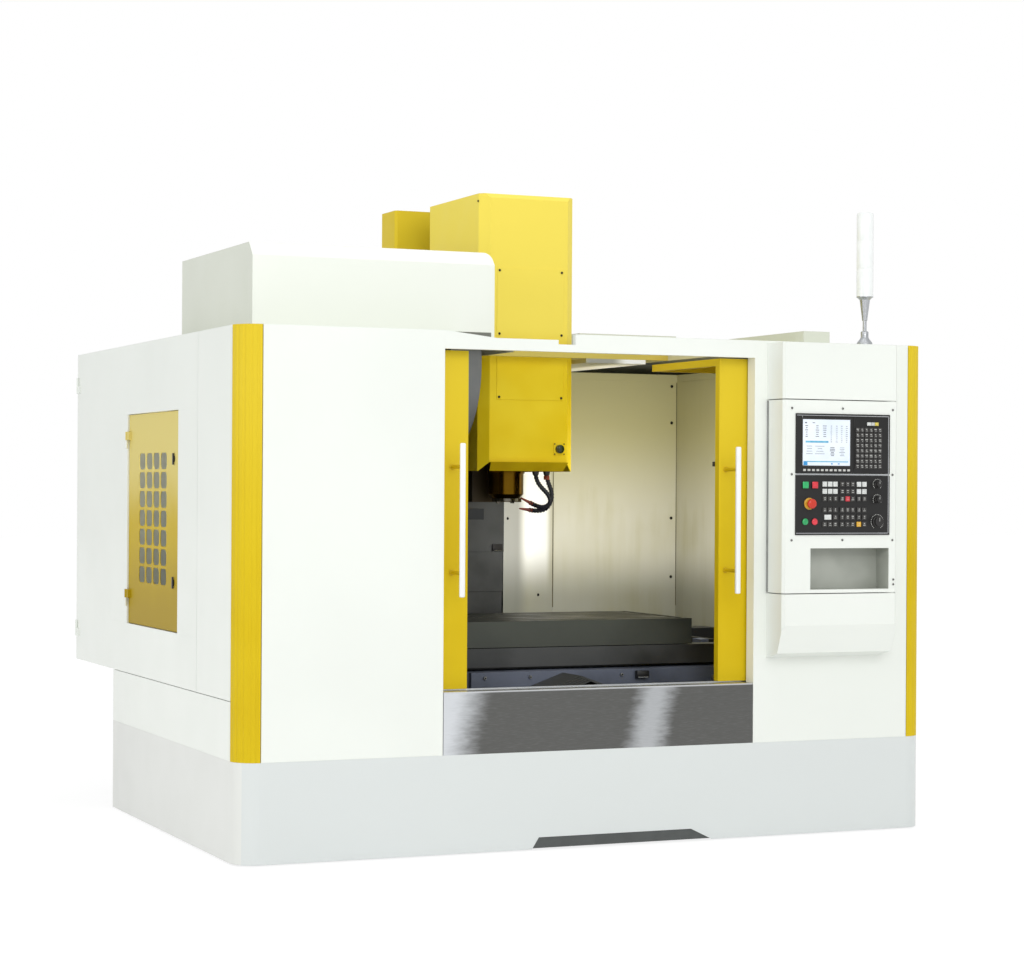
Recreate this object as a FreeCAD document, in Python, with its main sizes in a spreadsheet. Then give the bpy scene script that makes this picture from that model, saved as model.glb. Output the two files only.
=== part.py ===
import FreeCAD, Part
import math
import os
import Sketcher

# A vertical machining centre with a full sheet-metal enclosure, in millimetres.
# Origin: on the floor, straight below the spindle axis. +X to the operator's right,
# +Y to the back of the machine, +Z up. Depths named *_depth, *_front and *_back are
# measured from the enclosure's front face, and front_y() turns them into Y.

SIZES = [
    # enclosure
    ("machine_width", 3340, "outer width of the enclosure"),
    ("front_height", 2250, "floor to the top edge of the front panels"),
    ("spindle_setback", 1090, "front face to the spindle axis"),
    ("panel_depth", 2111, "front face to the back edge of the upper side panels"),
    ("skirt_depth", 2042, "front face to the back edge of the base skirt"),
    ("skirt_height", 430, "floor to the top of the base skirt"),
    ("skirt_clearance", 6, "gap between the skirt and the floor"),
    ("seam_height", 680, "floor to the seam between lower and upper side panels"),
    ("sill_height", 700, "floor to the top of the stainless apron"),
    ("sheet", 3, "thickness of the sheet metal"),
    ("seam", 3, "open seam between neighbouring panels"),
    ("rest_gap", 0.3, "gap where one moving piece rests beside another"),
    ("hinge_radius", 6, "radius of a hinge knuckle"),
    ("hinge_length", 40, "length of a hinge knuckle"),
    ("flange", 26, "folded edge of a panel"),
    ("corner_radius", 100, "radius of the two front corners"),
    ("flute_radius", 14, "radius of the flutes in the corner columns"),
    ("flute_depth", 2.5, "depth of the flutes in the corner columns"),
    ("flute_count", 5, "flutes in each corner column"),
    ("side_seam_depth", 608, "front face to the vertical seam in the side panels"),
    ("opening_width", 1512, "width of the door opening"),
    ("header_height", 79, "height of the header over the door opening"),
    ("reveal", 66, "depth of the front panels at the door opening"),
    ("header_depth", 30, "depth of the header"),
    ("header_dip", 27, "how far the header is lower in front of the head"),
    ("header_step", 19, "further step down in the header"),
    ("header_dip_left", 514, "left end of the dip, from the middle"),
    ("header_step_left", 222, "left end of the step, from the middle"),
    ("header_step_right", 140, "right end of the step, left of the middle"),
    ("apron_depth", 70, "depth of the apron's folded top"),
    ("cutout_left", 339, "left end of the skirt's lower cut-out, from the middle"),
    ("cutout_right", 560, "right end of the skirt's lower cut-out, from the middle"),
    ("cutout_height", 57, "floor to the top of the cut-out"),
    ("cutout_slope_left", 36, "run of the cut-out's left slope"),
    ("cutout_slope_right", 117, "run of the cut-out's right slope"),
    # roof
    ("roof_depth", 60, "depth of the roof's folded edges"),
    ("crane_left", 250, "left end of the crane opening, from the middle"),
    ("crane_right", 700, "right end of the crane opening, from the middle"),
    ("crane_depth", 750, "front face to the back of the crane opening"),
    ("bridge_depth", 20, "depth of the roof's cross bar in front of the head"),
    ("head_passage", 24, "gap round the head cover where it passes the roof"),
    ("ceiling_right", 580, "right edge of the lining under the roof, from the middle"),
    ("ceiling_drop", 20, "height of the lining under the roof"),
    ("duct_left", 1008, "left side of the low roof duct, from the middle"),
    ("duct_width", 137, "width of the low roof duct"),
    ("duct_depth", 1390, "length of the low roof duct"),
    ("duct_height", 50, "height of the low roof duct"),
    ("vent_left", 747, "left end of the roof vent, from the middle"),
    ("vent_width", 566, "width of the roof vent"),
    ("vent_front", 1850, "front face to the roof vent"),
    ("vent_depth", 250, "depth of the roof vent"),
    ("vent_height", 135, "height of the roof vent"),
    ("vent_slots", 12, "slots in the roof vent"),
    ("vent_slot_width", 11, "width of a vent slot"),
    ("vent_slot_height", 42, "height of a vent slot"),
    ("vent_slot_top", 26, "top of the vent down to its slots"),
    ("vent_slot_margin", 28, "end of the vent to its first slot"),
    # tool magazine cover
    ("box_left", 1475, "left side of the magazine cover, from the middle"),
    ("box_right", 335, "right side of the magazine cover, left of the middle"),
    ("box_front", 450, "front face to the magazine cover"),
    ("box_back", 1550, "front face to the back of the magazine cover"),
    ("box_height", 390, "height of the magazine cover above the roof"),
    ("box_slope_run", 52, "run of the sloped strip at its top front"),
    ("box_slope_rise", 60, "rise of the sloped strip"),
    ("box_round", 34, "rounding of its upper right corner"),
    # corner of the electrical cabinet
    ("cabinet_depth", 700, "depth of the electrical cabinet with its door"),
    ("cabinet_width", 1050, "width of the electrical cabinet"),
    ("door_sheet", 22, "thickness of a folded service door"),
    ("mounting_plate_gap", 30, "cabinet wall to its mounting plate"),
    ("drive_count", 5, "drive modules in a row"),
    ("drive_width", 120, "width of a drive module"),
    ("drive_gap", 40, "space between drive modules"),
    ("drive_height", 360, "height of a drive module"),
    ("drive_depth", 230, "depth of a drive module"),
    ("drive_low", 1500, "floor to the drive modules"),
    ("transformer_size", 300, "side of the transformer"),
    ("contactor_row_height", 90, "height of the contactor row"),
    ("contactor_row_low", 1250, "floor to the contactor row"),
    # side access door
    ("hatch_front", 917, "front face to the side door's front edge"),
    ("hatch_back", 1792, "front face to the side door's hinge edge"),
    ("hatch_low", 920, "floor to the side door's lower edge"),
    ("hatch_high", 1914, "floor to the side door's upper edge"),
    ("hatch_inset", 8, "how deep the side door sits in its panel"),
    ("hatch_gap", 3, "gap round the side door"),
    ("louvre_columns", 4, "columns of louvre openings"),
    ("louvre_rows", 7, "rows of louvre openings"),
    ("louvre_front", 1130, "front face to the first louvre opening"),
    ("louvre_low", 1122, "floor to the lowest louvre opening"),
    ("louvre_width", 102, "width of a louvre opening"),
    ("louvre_height", 75, "height of a louvre opening"),
    ("louvre_pitch_y", 124, "pitch of the louvre columns"),
    ("louvre_pitch_z", 88.5, "pitch of the louvre rows"),
    ("louvre_round", 14, "corner radius of a louvre opening"),
    ("latch_front", 1005, "front face to the latches"),
    ("latch_low", 1140, "floor to the lower latch"),
    ("latch_high", 1698, "floor to the upper latch"),
    ("latch_radius", 15, "radius of a latch's boss"),
    ("latch_wing", 52, "length of a latch's wing"),
    ("latch_thickness", 14, "width of a latch's wing"),
    # front doors
    ("door_open", 615, "middle of the machine to each open door's meeting edge"),
    ("door_front", 75, "front face to the doors"),
    ("door_thickness", 38, "thickness of a door"),
    ("door_width", 775, "width of a door"),
    ("door_gap", 6, "gap between the sill and the doors"),
    ("door_head_gap", 36, "top of the door opening down to the door's crane cover"),
    ("stile_width", 155, "width of the door's meeting stile"),
    ("back_stile_width", 60, "width of the door's outer stile"),
    ("rail_height", 150, "height of the door's lower and upper rails"),
    ("crane_cover_height", 37, "height of the rails of the door's crane cover"),
    ("crane_cover_rail", 30, "width of the rails of the door's crane cover"),
    ("glass", 8, "thickness of the door window"),
    ("glass_rebate", 12, "how far the window sits in its frame"),
    ("handle_low", 1107, "floor to the lower end of the door handles"),
    ("handle_length", 660, "length of the door handles"),
    ("handle_width", 32, "width of the handle bar"),
    ("handle_depth", 16, "depth of the handle bar"),
    ("handle_reach", 112, "door to the handle bar's back"),
    ("handle_inset_left", 74, "meeting edge to the left handle's middle"),
    ("handle_inset_right", 34, "meeting edge to the right handle's middle"),
    ("handle_post_radius", 11, "radius of the handle's posts"),
    ("handle_post_inset", 102, "end of the handle to its post"),
    # operator's console
    ("console_inset", 250, "side of the enclosure to the console"),
    ("console_width", 600, "width of the console"),
    ("console_reach", 150, "how far the console stands out from the front face"),
    ("console_drop", 12, "top of the front to the top of the console"),
    ("console_box_top", 1980, "floor to the top of the swinging box"),
    ("console_box_low", 1110, "floor to the bottom of the swinging box"),
    ("console_slope_top", 964, "floor to the edge where the lower housing slopes back"),
    ("console_low", 838, "floor to the bottom of the console"),
    ("console_slope_run", 48, "how far the lower housing slopes back"),
    ("console_gap", 4, "shadow gap round the swinging box"),
    ("console_bevel", 12, "rounding of the console's upright edges"),
    ("unit_left", 61, "console side to the display and operator units"),
    ("unit_width", 493, "width of the display and operator units"),
    ("unit_height", 269, "height of each unit"),
    ("unit_proud", 6, "how far the units stand proud of the box"),
    ("unit_depth", 60, "depth of a unit inside the box"),
    ("display_low", 1650, "floor to the bottom of the display unit"),
    ("operator_low", 1372, "floor to the bottom of the operator unit"),
    ("screen_left", 34, "unit side to the screen"),
    ("screen_low", 35, "unit bottom to the screen"),
    ("screen_width", 247, "width of the screen"),
    ("screen_height", 208, "height of the screen"),
    ("screen_recess", 4, "depth of the screen's recess"),
    ("key_proud", 3, "how far the keys stand proud"),
    ("data_key_left", 318, "unit side to the data keys"),
    ("data_key_low", 24, "unit bottom to the data keys"),
    ("data_key_columns", 6, "columns of data keys"),
    ("data_key_rows", 8, "rows of data keys"),
    ("data_key_pitch", 23.6, "pitch of the data keys"),
    ("data_key_size", 18, "side of a data key"),
    ("mode_key_left", 147, "unit side to the mode keys"),
    ("mode_key_low", 42, "unit bottom to the mode keys"),
    ("mode_key_columns", 8, "columns of mode keys"),
    ("mode_key_rows", 6, "rows of mode keys"),
    ("mode_key_pitch_x", 29, "pitch of the mode keys across"),
    ("mode_key_pitch_z", 34, "pitch of the mode keys upwards"),
    ("mode_key_size", 22, "side of a mode key"),
    ("button_column_left", 47, "unit side to the left column of buttons"),
    ("button_column_right", 96, "unit side to the right column of buttons"),
    ("square_button_height", 225, "unit bottom to the square buttons"),
    ("round_button_height", 60, "unit bottom to the round buttons"),
    ("button_size", 30, "side of a square button"),
    ("button_radius", 15, "radius of a round button"),
    ("button_proud", 9, "how far a button stands proud of its unit"),
    ("button_depth", 16, "depth of a button's stem in its unit"),
    ("button_gap", 0.6, "gap round a button's stem"),
    ("button_travel", 4, "travel of a button"),
    ("stop_across", 70, "unit side to the emergency stop"),
    ("stop_height", 141, "unit bottom to the emergency stop"),
    ("stop_radius", 20, "radius of the emergency stop's head"),
    ("stop_stem_radius", 11, "radius of the emergency stop's stem"),
    ("stop_proud", 34, "how far the emergency stop stands proud"),
    ("stop_head", 16, "thickness of the emergency stop's head"),
    ("stop_travel", 7, "travel of the emergency stop"),
    ("knob_across", 427, "unit side to the three knobs"),
    ("knob_high", 231, "unit bottom to the upper knob"),
    ("knob_mid", 161, "unit bottom to the middle knob"),
    ("knob_low", 60, "unit bottom to the large lower knob"),
    ("knob_radius", 17, "radius of the upper and middle knobs"),
    ("large_knob_radius", 27, "radius of the large lower knob"),
    ("knob_proud", 22, "how far a knob stands proud"),
    ("knob_stem_radius", 6, "radius of a knob's stem"),
    ("knob_skirt", 7, "height of a knob's wider skirt"),
    ("knob_sides", 16, "sides of a knob"),
    ("pocket_left", 142, "console side to the pocket"),
    ("pocket_width", 412, "width of the pocket"),
    ("pocket_low", 1126, "floor to the pocket"),
    ("pocket_height", 186, "height of the pocket"),
    ("pocket_depth", 105, "depth of the pocket"),
    # signal tower
    ("tower_inset", 307, "side of the enclosure to the signal tower"),
    ("tower_depth", 50, "front face to the signal tower"),
    ("tower_lamp_low", 220, "roof to the signal tower's lamp"),
    ("tower_lamp_length", 392, "length of the lamp"),
    ("tower_lamp_radius", 39, "radius of the lamp"),
    ("tower_flange_radius", 36, "radius of the tower's foot"),
    ("tower_flange", 16, "thickness of the tower's foot"),
    ("tower_collar_radius", 18, "radius of the tower's collar"),
    ("tower_collar_top", 62, "roof to the top of the collar"),
    ("tower_neck_radius", 9, "radius of the tower's neck"),
    ("tower_neck_top", 112, "roof to the top of the neck"),
    ("tower_taper_low_radius", 12, "lower radius of the tower's taper"),
    ("tower_taper_high_radius", 24, "upper radius of the tower's taper"),
    # working chamber
    ("chamber_half", 1400, "middle of the machine to the chamber's side walls"),
    ("chamber_front", 125, "front face to the chamber's side walls"),
    ("chamber_back", 2000, "front face to the chamber's rear wall"),
    ("chamber_drop", 40, "underside of the roof to the top of the chamber's walls"),
    ("chamber_round", 60, "rounding of the side wall's upper front corner"),
    ("splay_inner", 300, "inner edge of the splayed rear panels, from the middle"),
    ("splay_outer", 670, "outer edge of the splayed rear panels, from the middle"),
    ("splay_front", 1800, "front face to the inner edge of the splayed panels"),
    ("pan_inner_height", 420, "floor to the chip pans beside the bed"),
    ("pan_outer_height", 620, "floor to the chip pans at the chamber walls"),
    # bed and column
    ("foot_height", 60, "floor to the bed"),
    ("foot_radius", 60, "radius of a levelling pad"),
    ("foot_pad", 26, "thickness of a levelling pad"),
    ("foot_screw_radius", 18, "radius of a levelling screw"),
    ("foot_across", 520, "middle of the machine to the levelling feet"),
    ("foot_rows", 3, "rows of levelling feet"),
    ("foot_first", 400, "front face to the first row of feet"),
    ("foot_pitch", 970, "pitch of the rows of feet"),
    ("bed_half", 600, "half width of the bed"),
    ("bed_front", 260, "front face to the bed"),
    ("bed_back", 2500, "front face to the bed's back"),
    ("bed_top", 470, "floor to the bed's top"),
    ("bed_pocket", 70, "depth of the casting pockets in the bed's sides"),
    ("bed_pocket_length", 560, "length of a casting pocket"),
    ("bed_pocket_rib", 110, "rib between casting pockets"),
    ("bed_pocket_wall", 70, "edge of the bed to a casting pocket"),
    ("guide_across", 390, "middle of the machine to the Y guideways"),
    ("guide_pad", 120, "width of a guideway pad"),
    ("guide_pad_height", 30, "height of a guideway pad"),
    ("guide_front", 290, "front face to the Y guideways"),
    ("guide_back", 1780, "front face to the back end of the Y guideways"),
    ("guide_width", 45, "width of a guide rail"),
    ("guide_height", 34, "height of a guide rail"),
    ("guide_clearance", 0.4, "gap between a guide rail and its block"),
    ("block_width", 90, "width of a guide block"),
    ("block_length", 130, "length of a guide block"),
    ("pedestal_half", 430, "half width of the bed's column seat"),
    ("pedestal_front", 1800, "front face to the column seat"),
    ("pedestal_top", 560, "floor to the column seat"),
    ("column_front", 1860, "front face to the column's front"),
    ("column_base_half", 380, "half width of the column's foot"),
    ("column_top_half", 300, "half width of the column's head"),
    ("column_top", 2450, "floor to the column's head"),
    ("column_wall", 45, "wall of the column"),
    ("z_guide_across", 180, "middle of the machine to the Z guideways"),
    ("z_guide_low", 1020, "floor to the lower end of the Z guideways"),
    ("z_guide_high", 2240, "floor to the upper end of the Z guideways"),
    ("motor_flange", 30, "thickness of the Z motor's bracket"),
    ("motor_side", 130, "side of a servo motor"),
    ("motor_length", 240, "length of a servo motor"),
    ("encoder_side", 90, "side of a servo motor's encoder cap"),
    ("encoder_length", 60, "length of a servo motor's encoder cap"),
    ("drive_cover_half", 332, "half width of the Z drive's cover"),
    ("drive_cover_front", 1720, "front face to the Z drive's cover"),
    ("drive_cover_low", 2262, "floor to the lower edge of the Z drive's cover"),
    ("drive_cover_top", 2958, "floor to the top of the Z drive's cover"),
    ("drive_cover_chamfer", 12, "chamfer of the Z drive's cover"),
    # ball screws
    ("screw_radius", 18, "radius of a ball screw"),
    ("screw_clearance", 0.05, "radial gap of a screw in its bearings"),
    ("bearing_length", 44, "length of a screw bearing"),
    ("bearing_half", 42, "half side of a screw bearing"),
    ("nut_half", 52, "half length of a screw nut's housing"),
    ("nut_clearance", 1.2, "radial gap between a screw and its nut housing"),
    ("y_screw_height", 516, "floor to the Y screw"),
    ("x_screw_height", 806, "floor to the X screw"),
    ("z_screw_gap", 32, "column front to the Z screw"),
    ("z_screw_low", 1130, "floor to the lower end of the Z screw"),
    # saddle
    ("saddle_half", 960, "half length of the saddle"),
    ("saddle_front", 450, "front face to the saddle"),
    ("saddle_back", 1210, "front face to the saddle's back"),
    ("saddle_low", 560, "floor to the saddle's underside"),
    ("saddle_top", 745, "floor to the saddle's top"),
    ("saddle_waist", 120, "how far the saddle's ends are cut up underneath"),
    ("face_plate_half", 450, "half width of the plate on the saddle's front"),
    ("face_plate", 30, "thickness of the plate on the saddle's front"),
    ("x_guide_front", 660, "front face to the front X guideway"),
    ("x_guide_back", 1040, "front face to the rear X guideway"),
    ("x_guide_width", 35, "width of an X guide rail"),
    ("x_guide_height", 27, "height of an X guide rail"),
    ("x_block_width", 66, "width of an X guide block"),
    ("apron_low", 760, "floor to the lower edge of the saddle's way covers"),
    ("apron_width", 100, "depth of the saddle's way covers"),
    ("way_gap", 3, "gap between the saddle's way covers and the table"),
    ("x_drive_length", 280, "length of the X drive's housing"),
    ("x_drive_front", 1215, "front face to the X drive's housing"),
    ("x_drive_width", 160, "depth of the X drive's housing"),
    ("x_drive_low", 690, "floor to the X drive's housing"),
    ("x_drive_top", 876, "floor to the top of the X drive's housing"),
    # table
    ("table_half", 705, "half length of the table"),
    ("table_front", 500, "front face to the table"),
    ("table_width", 700, "width of the table"),
    ("table_low", 850, "floor to the table's underside"),
    ("table_top", 969, "floor to the table's top"),
    ("slot_count", 5, "T-slots in the table"),
    ("slot_pitch", 125, "pitch of the T-slots"),
    ("slot_width", 18, "width of a T-slot"),
    ("slot_neck", 20, "depth of a T-slot's neck"),
    ("slot_foot_width", 32, "width of a T-slot's foot"),
    ("slot_foot_height", 14, "height of a T-slot's foot"),
    ("table_block_across", 240, "middle of the table to its guide blocks"),
    ("gutter_width", 26, "width of the coolant gutter at the table's ends"),
    ("gutter_depth", 16, "depth of the coolant gutter"),
    # Y way covers
    ("gable_half", 300, "half width of the Y way covers"),
    ("gable_ridge", 722, "floor to the ridge of the fixed Y way cover"),
    ("gable_drop", 112, "ridge down to the eaves"),
    ("gable_length", 200, "length of each Y way cover"),
    ("stop_gap", 5, "gap left between way covers that are closed up"),
    ("cover_gap", 0.6, "gap between nested way covers"),
    ("saddle_forward", 100, "saddle travel to the front"),
    # Z way covers
    ("shield_half", 290, "half width of the head's way cover"),
    ("shield_front", 1772, "front face to the head's way cover"),
    ("shield_back", 1855, "front face to the way covers' back edges"),
    ("shield_low", 1250, "floor to the lower edge of the head's way cover"),
    ("shield_notch", 46, "height of the headstock's step over the way covers"),
    ("shield_gap", 6, "gap between the headstock's step and the way covers"),
    ("middle_shield_low", 1047, "floor to the lower edge of the middle way cover"),
    ("middle_shield_height", 250, "height of the middle way cover"),
    ("lower_shield_top", 1100, "floor to the top of the fixed way cover"),
    # head
    ("head_half", 200, "half width of the headstock"),
    ("head_low_half", 130, "half width of the headstock's lower end"),
    ("head_front", 1190, "front face to the headstock's body"),
    ("head_back", 1800, "front face to the headstock's back"),
    ("head_low", 1507, "floor to the headstock's lower end"),
    ("head_step", 1700, "floor to where the headstock gets wider"),
    ("head_shoulder", 2170, "floor to the top of the headstock's back"),
    ("head_shoulder_back", 1600, "front face to the headstock's upper part's back"),
    ("head_top", 2420, "floor to the headstock's top"),
    ("nose_half", 115, "half width of the headstock's nose"),
    ("nose_front", 970, "front face to the headstock's nose"),
    ("cover_half", 242, "half width of the head's cover"),
    ("cover_front", 820, "front face to the head's cover"),
    ("cover_back", 1480, "front face to the cover's back edge"),
    ("cover_low", 1655, "floor to the cover's lower edge"),
    ("cover_top", 2955, "floor to the cover's top"),
    ("cover_chamfer", 43, "chamfer of the cover's front edges"),
    ("bracket_low", 1900, "floor to the brackets that carry the cover"),
    ("bracket_height", 200, "height of the cover's brackets"),
    ("bracket_depth", 60, "depth of the cover's brackets"),
    ("plate_left", 164, "access plate's left side, from the middle"),
    ("plate_right", 180, "access plate's right side, from the middle"),
    ("plate_low", 1990, "floor to the access plate"),
    ("plate_height", 617, "height of the access plate"),
    ("plate_proud", 2, "thickness of the access plate"),
    ("gland_across", 160, "middle of the head to the cable gland"),
    ("gland_height", 1761, "floor to the cable gland"),
    ("gland_radius", 19, "radius of the cable gland"),
    ("gland_proud", 22, "how far the cable gland stands out"),
    ("spindle_motor_radius", 112, "radius of the spindle motor"),
    ("spindle_motor_length", 440, "length of the spindle motor"),
    ("cartridge_radius", 88, "radius of the spindle cartridge"),
    ("cartridge_low", 1546, "floor to the spindle cartridge's lower shoulder"),
    ("cartridge_nose_radius", 72, "radius of the spindle cartridge's nose"),
    ("cartridge_nose_low", 1526, "floor to the spindle cartridge's nose"),
    ("cartridge_ring_radius", 93, "radius of the spindle cartridge's ring"),
    ("cartridge_ring_low", 1645, "floor to the spindle cartridge's ring"),
    ("cartridge_ring_height", 14, "height of the spindle cartridge's ring"),
    ("cartridge_top", 2300, "floor to the top of the spindle cartridge"),
    ("spindle_low", 1510, "floor to the spindle's nose"),
    ("spindle_nose_radius", 62, "radius of the spindle's nose"),
    ("spindle_radius", 45, "radius of the spindle's shaft"),
    ("spindle_top", 2380, "floor to the top of the spindle"),
    ("taper_radius", 22.225, "radius of the spindle taper at the nose"),
    ("taper_depth", 66, "depth of the spindle taper"),
    ("taper_bore", 8.5, "radius of the drawbar's bore"),
    ("key_width", 15.9, "width of a drive key"),
    ("key_height", 8, "height of a drive key"),
    ("key_length", 14, "length of a drive key"),
    ("manifold_left", 92, "left side of the coolant manifold, from the middle"),
    ("manifold_width", 100, "width of the coolant manifold"),
    ("manifold_front", 930, "front face to the coolant manifold"),
    ("manifold_depth", 80, "depth of the coolant manifold"),
    ("manifold_height", 42, "height of the coolant manifold"),
    ("hose_radius", 12, "radius of a coolant hose"),
    ("hose_links", 16, "links of a coolant hose"),
    ("hose_sides", 12, "sides of a hose link"),
    ("nozzle_length", 34, "length of a coolant nozzle"),
    ("nozzle_radius", 4, "radius of a coolant nozzle's mouth"),
    # tool changer
    ("magazine_depth", 970, "front face to the magazine's axis"),
    ("magazine_height", 2140, "floor to the magazine's axis"),
    ("guard_radius", 410, "radius of the magazine's guard"),
    ("guard_right", 350, "right face of the magazine's guard, left of the middle"),
    ("guard_width", 150, "width of the magazine's guard"),
    ("disc_radius", 366, "radius of the tool disc"),
    ("disc_thickness", 16, "thickness of the tool disc"),
    ("disc_right", 600, "right face of the tool disc, left of the middle"),
    ("disc_hub_radius", 60, "radius of the tool disc's hub"),
    ("pot_count", 24, "tool pots on the disc"),
    ("pot_ring", 325, "radius of the ring of pots"),
    ("pot_sides", 12, "sides of a moulded tool pot"),
    ("pot_radius", 32, "radius of a tool pot"),
    ("pot_bore", 23, "radius of a tool pot's bore"),
    ("pot_length", 100, "length of a tool pot"),
    ("axle_radius", 30, "radius of the tool disc's axle"),
    ("arm_across", 345, "tool arm's axis, left of the middle"),
    ("arm_depth", 1030, "front face to the tool arm's axis"),
    ("arm_low", 1430, "floor to the tool arm"),
    ("arm_thickness", 50, "thickness of the tool arm"),
    ("arm_width", 84, "width of the tool arm"),
    ("arm_hub_radius", 60, "radius of the tool arm's hub"),
    ("arm_reach", 350, "tool arm's axis to its gripper"),
    ("arm_tip", 46, "gripper's middle to the arm's end"),
    ("gripper_radius", 31.75, "radius of the gripper's jaws"),
    ("arm_shaft_radius", 28, "radius of the tool arm's shaft"),
    ("arm_shaft_depth", 60, "length of the arm's shaft in its case"),
    ("case_low", 1520, "floor to the tool changer's case"),
    ("case_height", 196, "height of the tool changer's case"),
    ("case_half", 70, "half width of the tool changer's case"),
    ("case_front", 950, "front face to the tool changer's case"),
    ("case_back", 1750, "front face to the back of the tool changer's case"),
    ("post_width", 60, "width of the magazine's post"),
    ("post_depth", 150, "depth of the magazine's post"),
    ("wall_passage", 8, "gap round the case's bracket in the chamber wall"),
]

doc = FreeCAD.newDocument("machining_center")
dims = doc.addObject("Spreadsheet::Sheet", "dims")
for row, (alias, size, meaning) in enumerate(SIZES, 1):
    dims.set(f"A{row}", meaning)
    dims.set(f"B{row}", str(size))
    dims.setAlias(f"B{row}", alias)
doc.recompute()

nodes = []
MIDDLE = "0"
TURN_TO = {
    "x": FreeCAD.Rotation(FreeCAD.Vector(0, 1, 0), 90),
    "y": FreeCAD.Rotation(FreeCAD.Vector(1, 0, 0), -90),
    "z": FreeCAD.Rotation(),
}


def size(alias):
    return float(dims.get(alias))


def value(expression):
    return float(dims.evalExpression(str(expression)))


def front_y(depth):
    return f"({depth}) - dims.spindle_setback"


def node(name, shape):
    shape.Label = name
    nodes.append(shape)
    return shape


def place(solid, x, y, z):
    for axis, where in zip("xyz", (x, y, z)):
        solid.setExpression(f"Placement.Base.{axis}", str(where))


# A block between pairs of planes, each pair given as (low, high).
def block(name, x, y, z):
    solid = doc.addObject("Part::Box", name)
    for side, (low, high) in zip(("Length", "Width", "Height"), (x, y, z)):
        solid.setExpression(side, f"({high}) - ({low})")
    place(solid, x[0], y[0], z[0])
    return solid


# A cylinder along an axis, from one plane to another, round a centre line.
def rod(name, axis, radius, low, high, centre):
    solid = doc.addObject("Part::Cylinder", name)
    solid.Placement = FreeCAD.Placement(FreeCAD.Vector(), TURN_TO[axis])
    solid.setExpression("Radius", str(radius))
    solid.setExpression("Height", f"({high}) - ({low})")
    where = list(centre)
    where.insert("xyz".index(axis), low)
    place(solid, *where)
    return solid


# A many-sided post along an axis, for small round pieces that repeat.
def many_sided(name, axis, sides, radius, low, high, centre):
    solid = doc.addObject("Part::Prism", name)
    solid.Placement = FreeCAD.Placement(FreeCAD.Vector(), TURN_TO[axis])
    solid.Polygon = int(size(sides))
    solid.setExpression("Circumradius", str(radius))
    solid.setExpression("Height", f"({high}) - ({low})")
    where = list(centre)
    where.insert("xyz".index(axis), low)
    place(solid, *where)
    return solid


def cut(name, base, *tools):
    result = doc.addObject("Part::Cut", name)
    result.Base = base
    result.Tool = tools[0] if len(tools) == 1 else join(name + "_tools", *tools)
    return result


def join(name, *solids):
    result = doc.addObject("Part::MultiFuse", name)
    result.Shapes = list(solids)
    result.Refine = True
    return result


def overlap_of(name, *solids):
    result = doc.addObject("Part::MultiCommon", name)
    result.Shapes = list(solids)
    return result


def group(name, *solids):
    result = doc.addObject("Part::Compound", name)
    result.Links = list(solids)
    return result


def mirrored(name, solid):
    result = doc.addObject("Part::Mirroring", name)
    result.Source = solid
    result.Normal = (1, 0, 0)
    return result


# A body whose closed outline has its corners bound to expressions.
def outline_sketch(body, plane, points):
    origin = [f for f in body.Origin.OriginFeatures if f.Role == plane][0]
    sketch = body.newObject("Sketcher::SketchObject", body.Name + "_outline")
    sketch.AttachmentSupport = [(origin, "")]
    sketch.MapMode = "FlatFace"
    corners = [FreeCAD.Vector(value(u), value(v), 0) for u, v in points]
    for start, end in zip(corners, corners[1:] + corners[:1]):
        sketch.addGeometry(Part.LineSegment(start, end), False)
    for i in range(len(points)):
        after = (i + 1) % len(points)
        sketch.addConstraint(Sketcher.Constraint("Coincident", i, 2, after, 1))
    for i, (point, corner) in enumerate(zip(points, corners)):
        for kind, want, now in zip(("DistanceX", "DistanceY"), point, corner):
            number = sketch.addConstraint(Sketcher.Constraint(kind, -1, 1, i, 1, now))
            sketch.setExpression(f"Constraints[{number}]", str(want))
    return sketch


# A padded outline. The outline lies in XY, XZ or YZ, and the pad runs from low to high
# along the third axis.
def prism(name, plane, points, low, high):
    body = doc.addObject("PartDesign::Body", name)
    sketch = outline_sketch(body, plane + "_Plane", points)
    start = f"-({high})" if plane == "XZ" else low
    sketch.setExpression(".AttachmentOffset.Base.z", str(start))
    pad = body.newObject("PartDesign::Pad", name + "_pad")
    pad.Profile = sketch
    pad.setExpression("Length", f"({high}) - ({low})")
    body.Tip = pad
    return body


# A turned piece: the outline is given as (radius, height) and spun round the body's Z.
def turned(name, axis, points, x, y, z):
    body = doc.addObject("PartDesign::Body", name)
    sketch = outline_sketch(body, "XZ_Plane", points)
    spin = body.newObject("PartDesign::Revolution", name + "_spin")
    spin.Profile = sketch
    spin.ReferenceAxis = (sketch, ["V_Axis"])
    spin.Angle = 360
    body.Tip = spin
    body.Placement = FreeCAD.Placement(FreeCAD.Vector(), TURN_TO[axis])
    place(body, x, y, z)
    return body


# A folded sheet tray: a block hollowed from its open side.
def tray(name, x, y, z, open_side):
    outer = block(name + "_outer", x, y, z)
    inner = []
    for axis, (low, high) in zip("xyz", (x, y, z)):
        start = f"{low} - 1" if open_side == "-" + axis else f"{low} + dims.sheet"
        end = f"{high} + 1" if open_side == "+" + axis else f"{high} - dims.sheet"
        inner.append((start, end))
    return cut(name, outer, block(name + "_inner", *inner))


# A block whose two front upright edges are rounded.
def round_fronted(name, half, y, z, radius):
    back = block(name + "_back", (f"-({half})", half), (f"{y[0]} + {radius}", y[1]), z)
    inner = f"{half} - ({radius})"
    front = block(name + "_front", (f"-({inner})", inner), y, z)
    depth = f"{y[0]} + {radius}"
    left = rod(name + "_left", "z", radius, z[0], z[1], (f"-({inner})", depth))
    right = rod(name + "_right", "z", radius, z[0], z[1], (inner, depth))
    return join(name, back, front, left, right)


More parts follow.
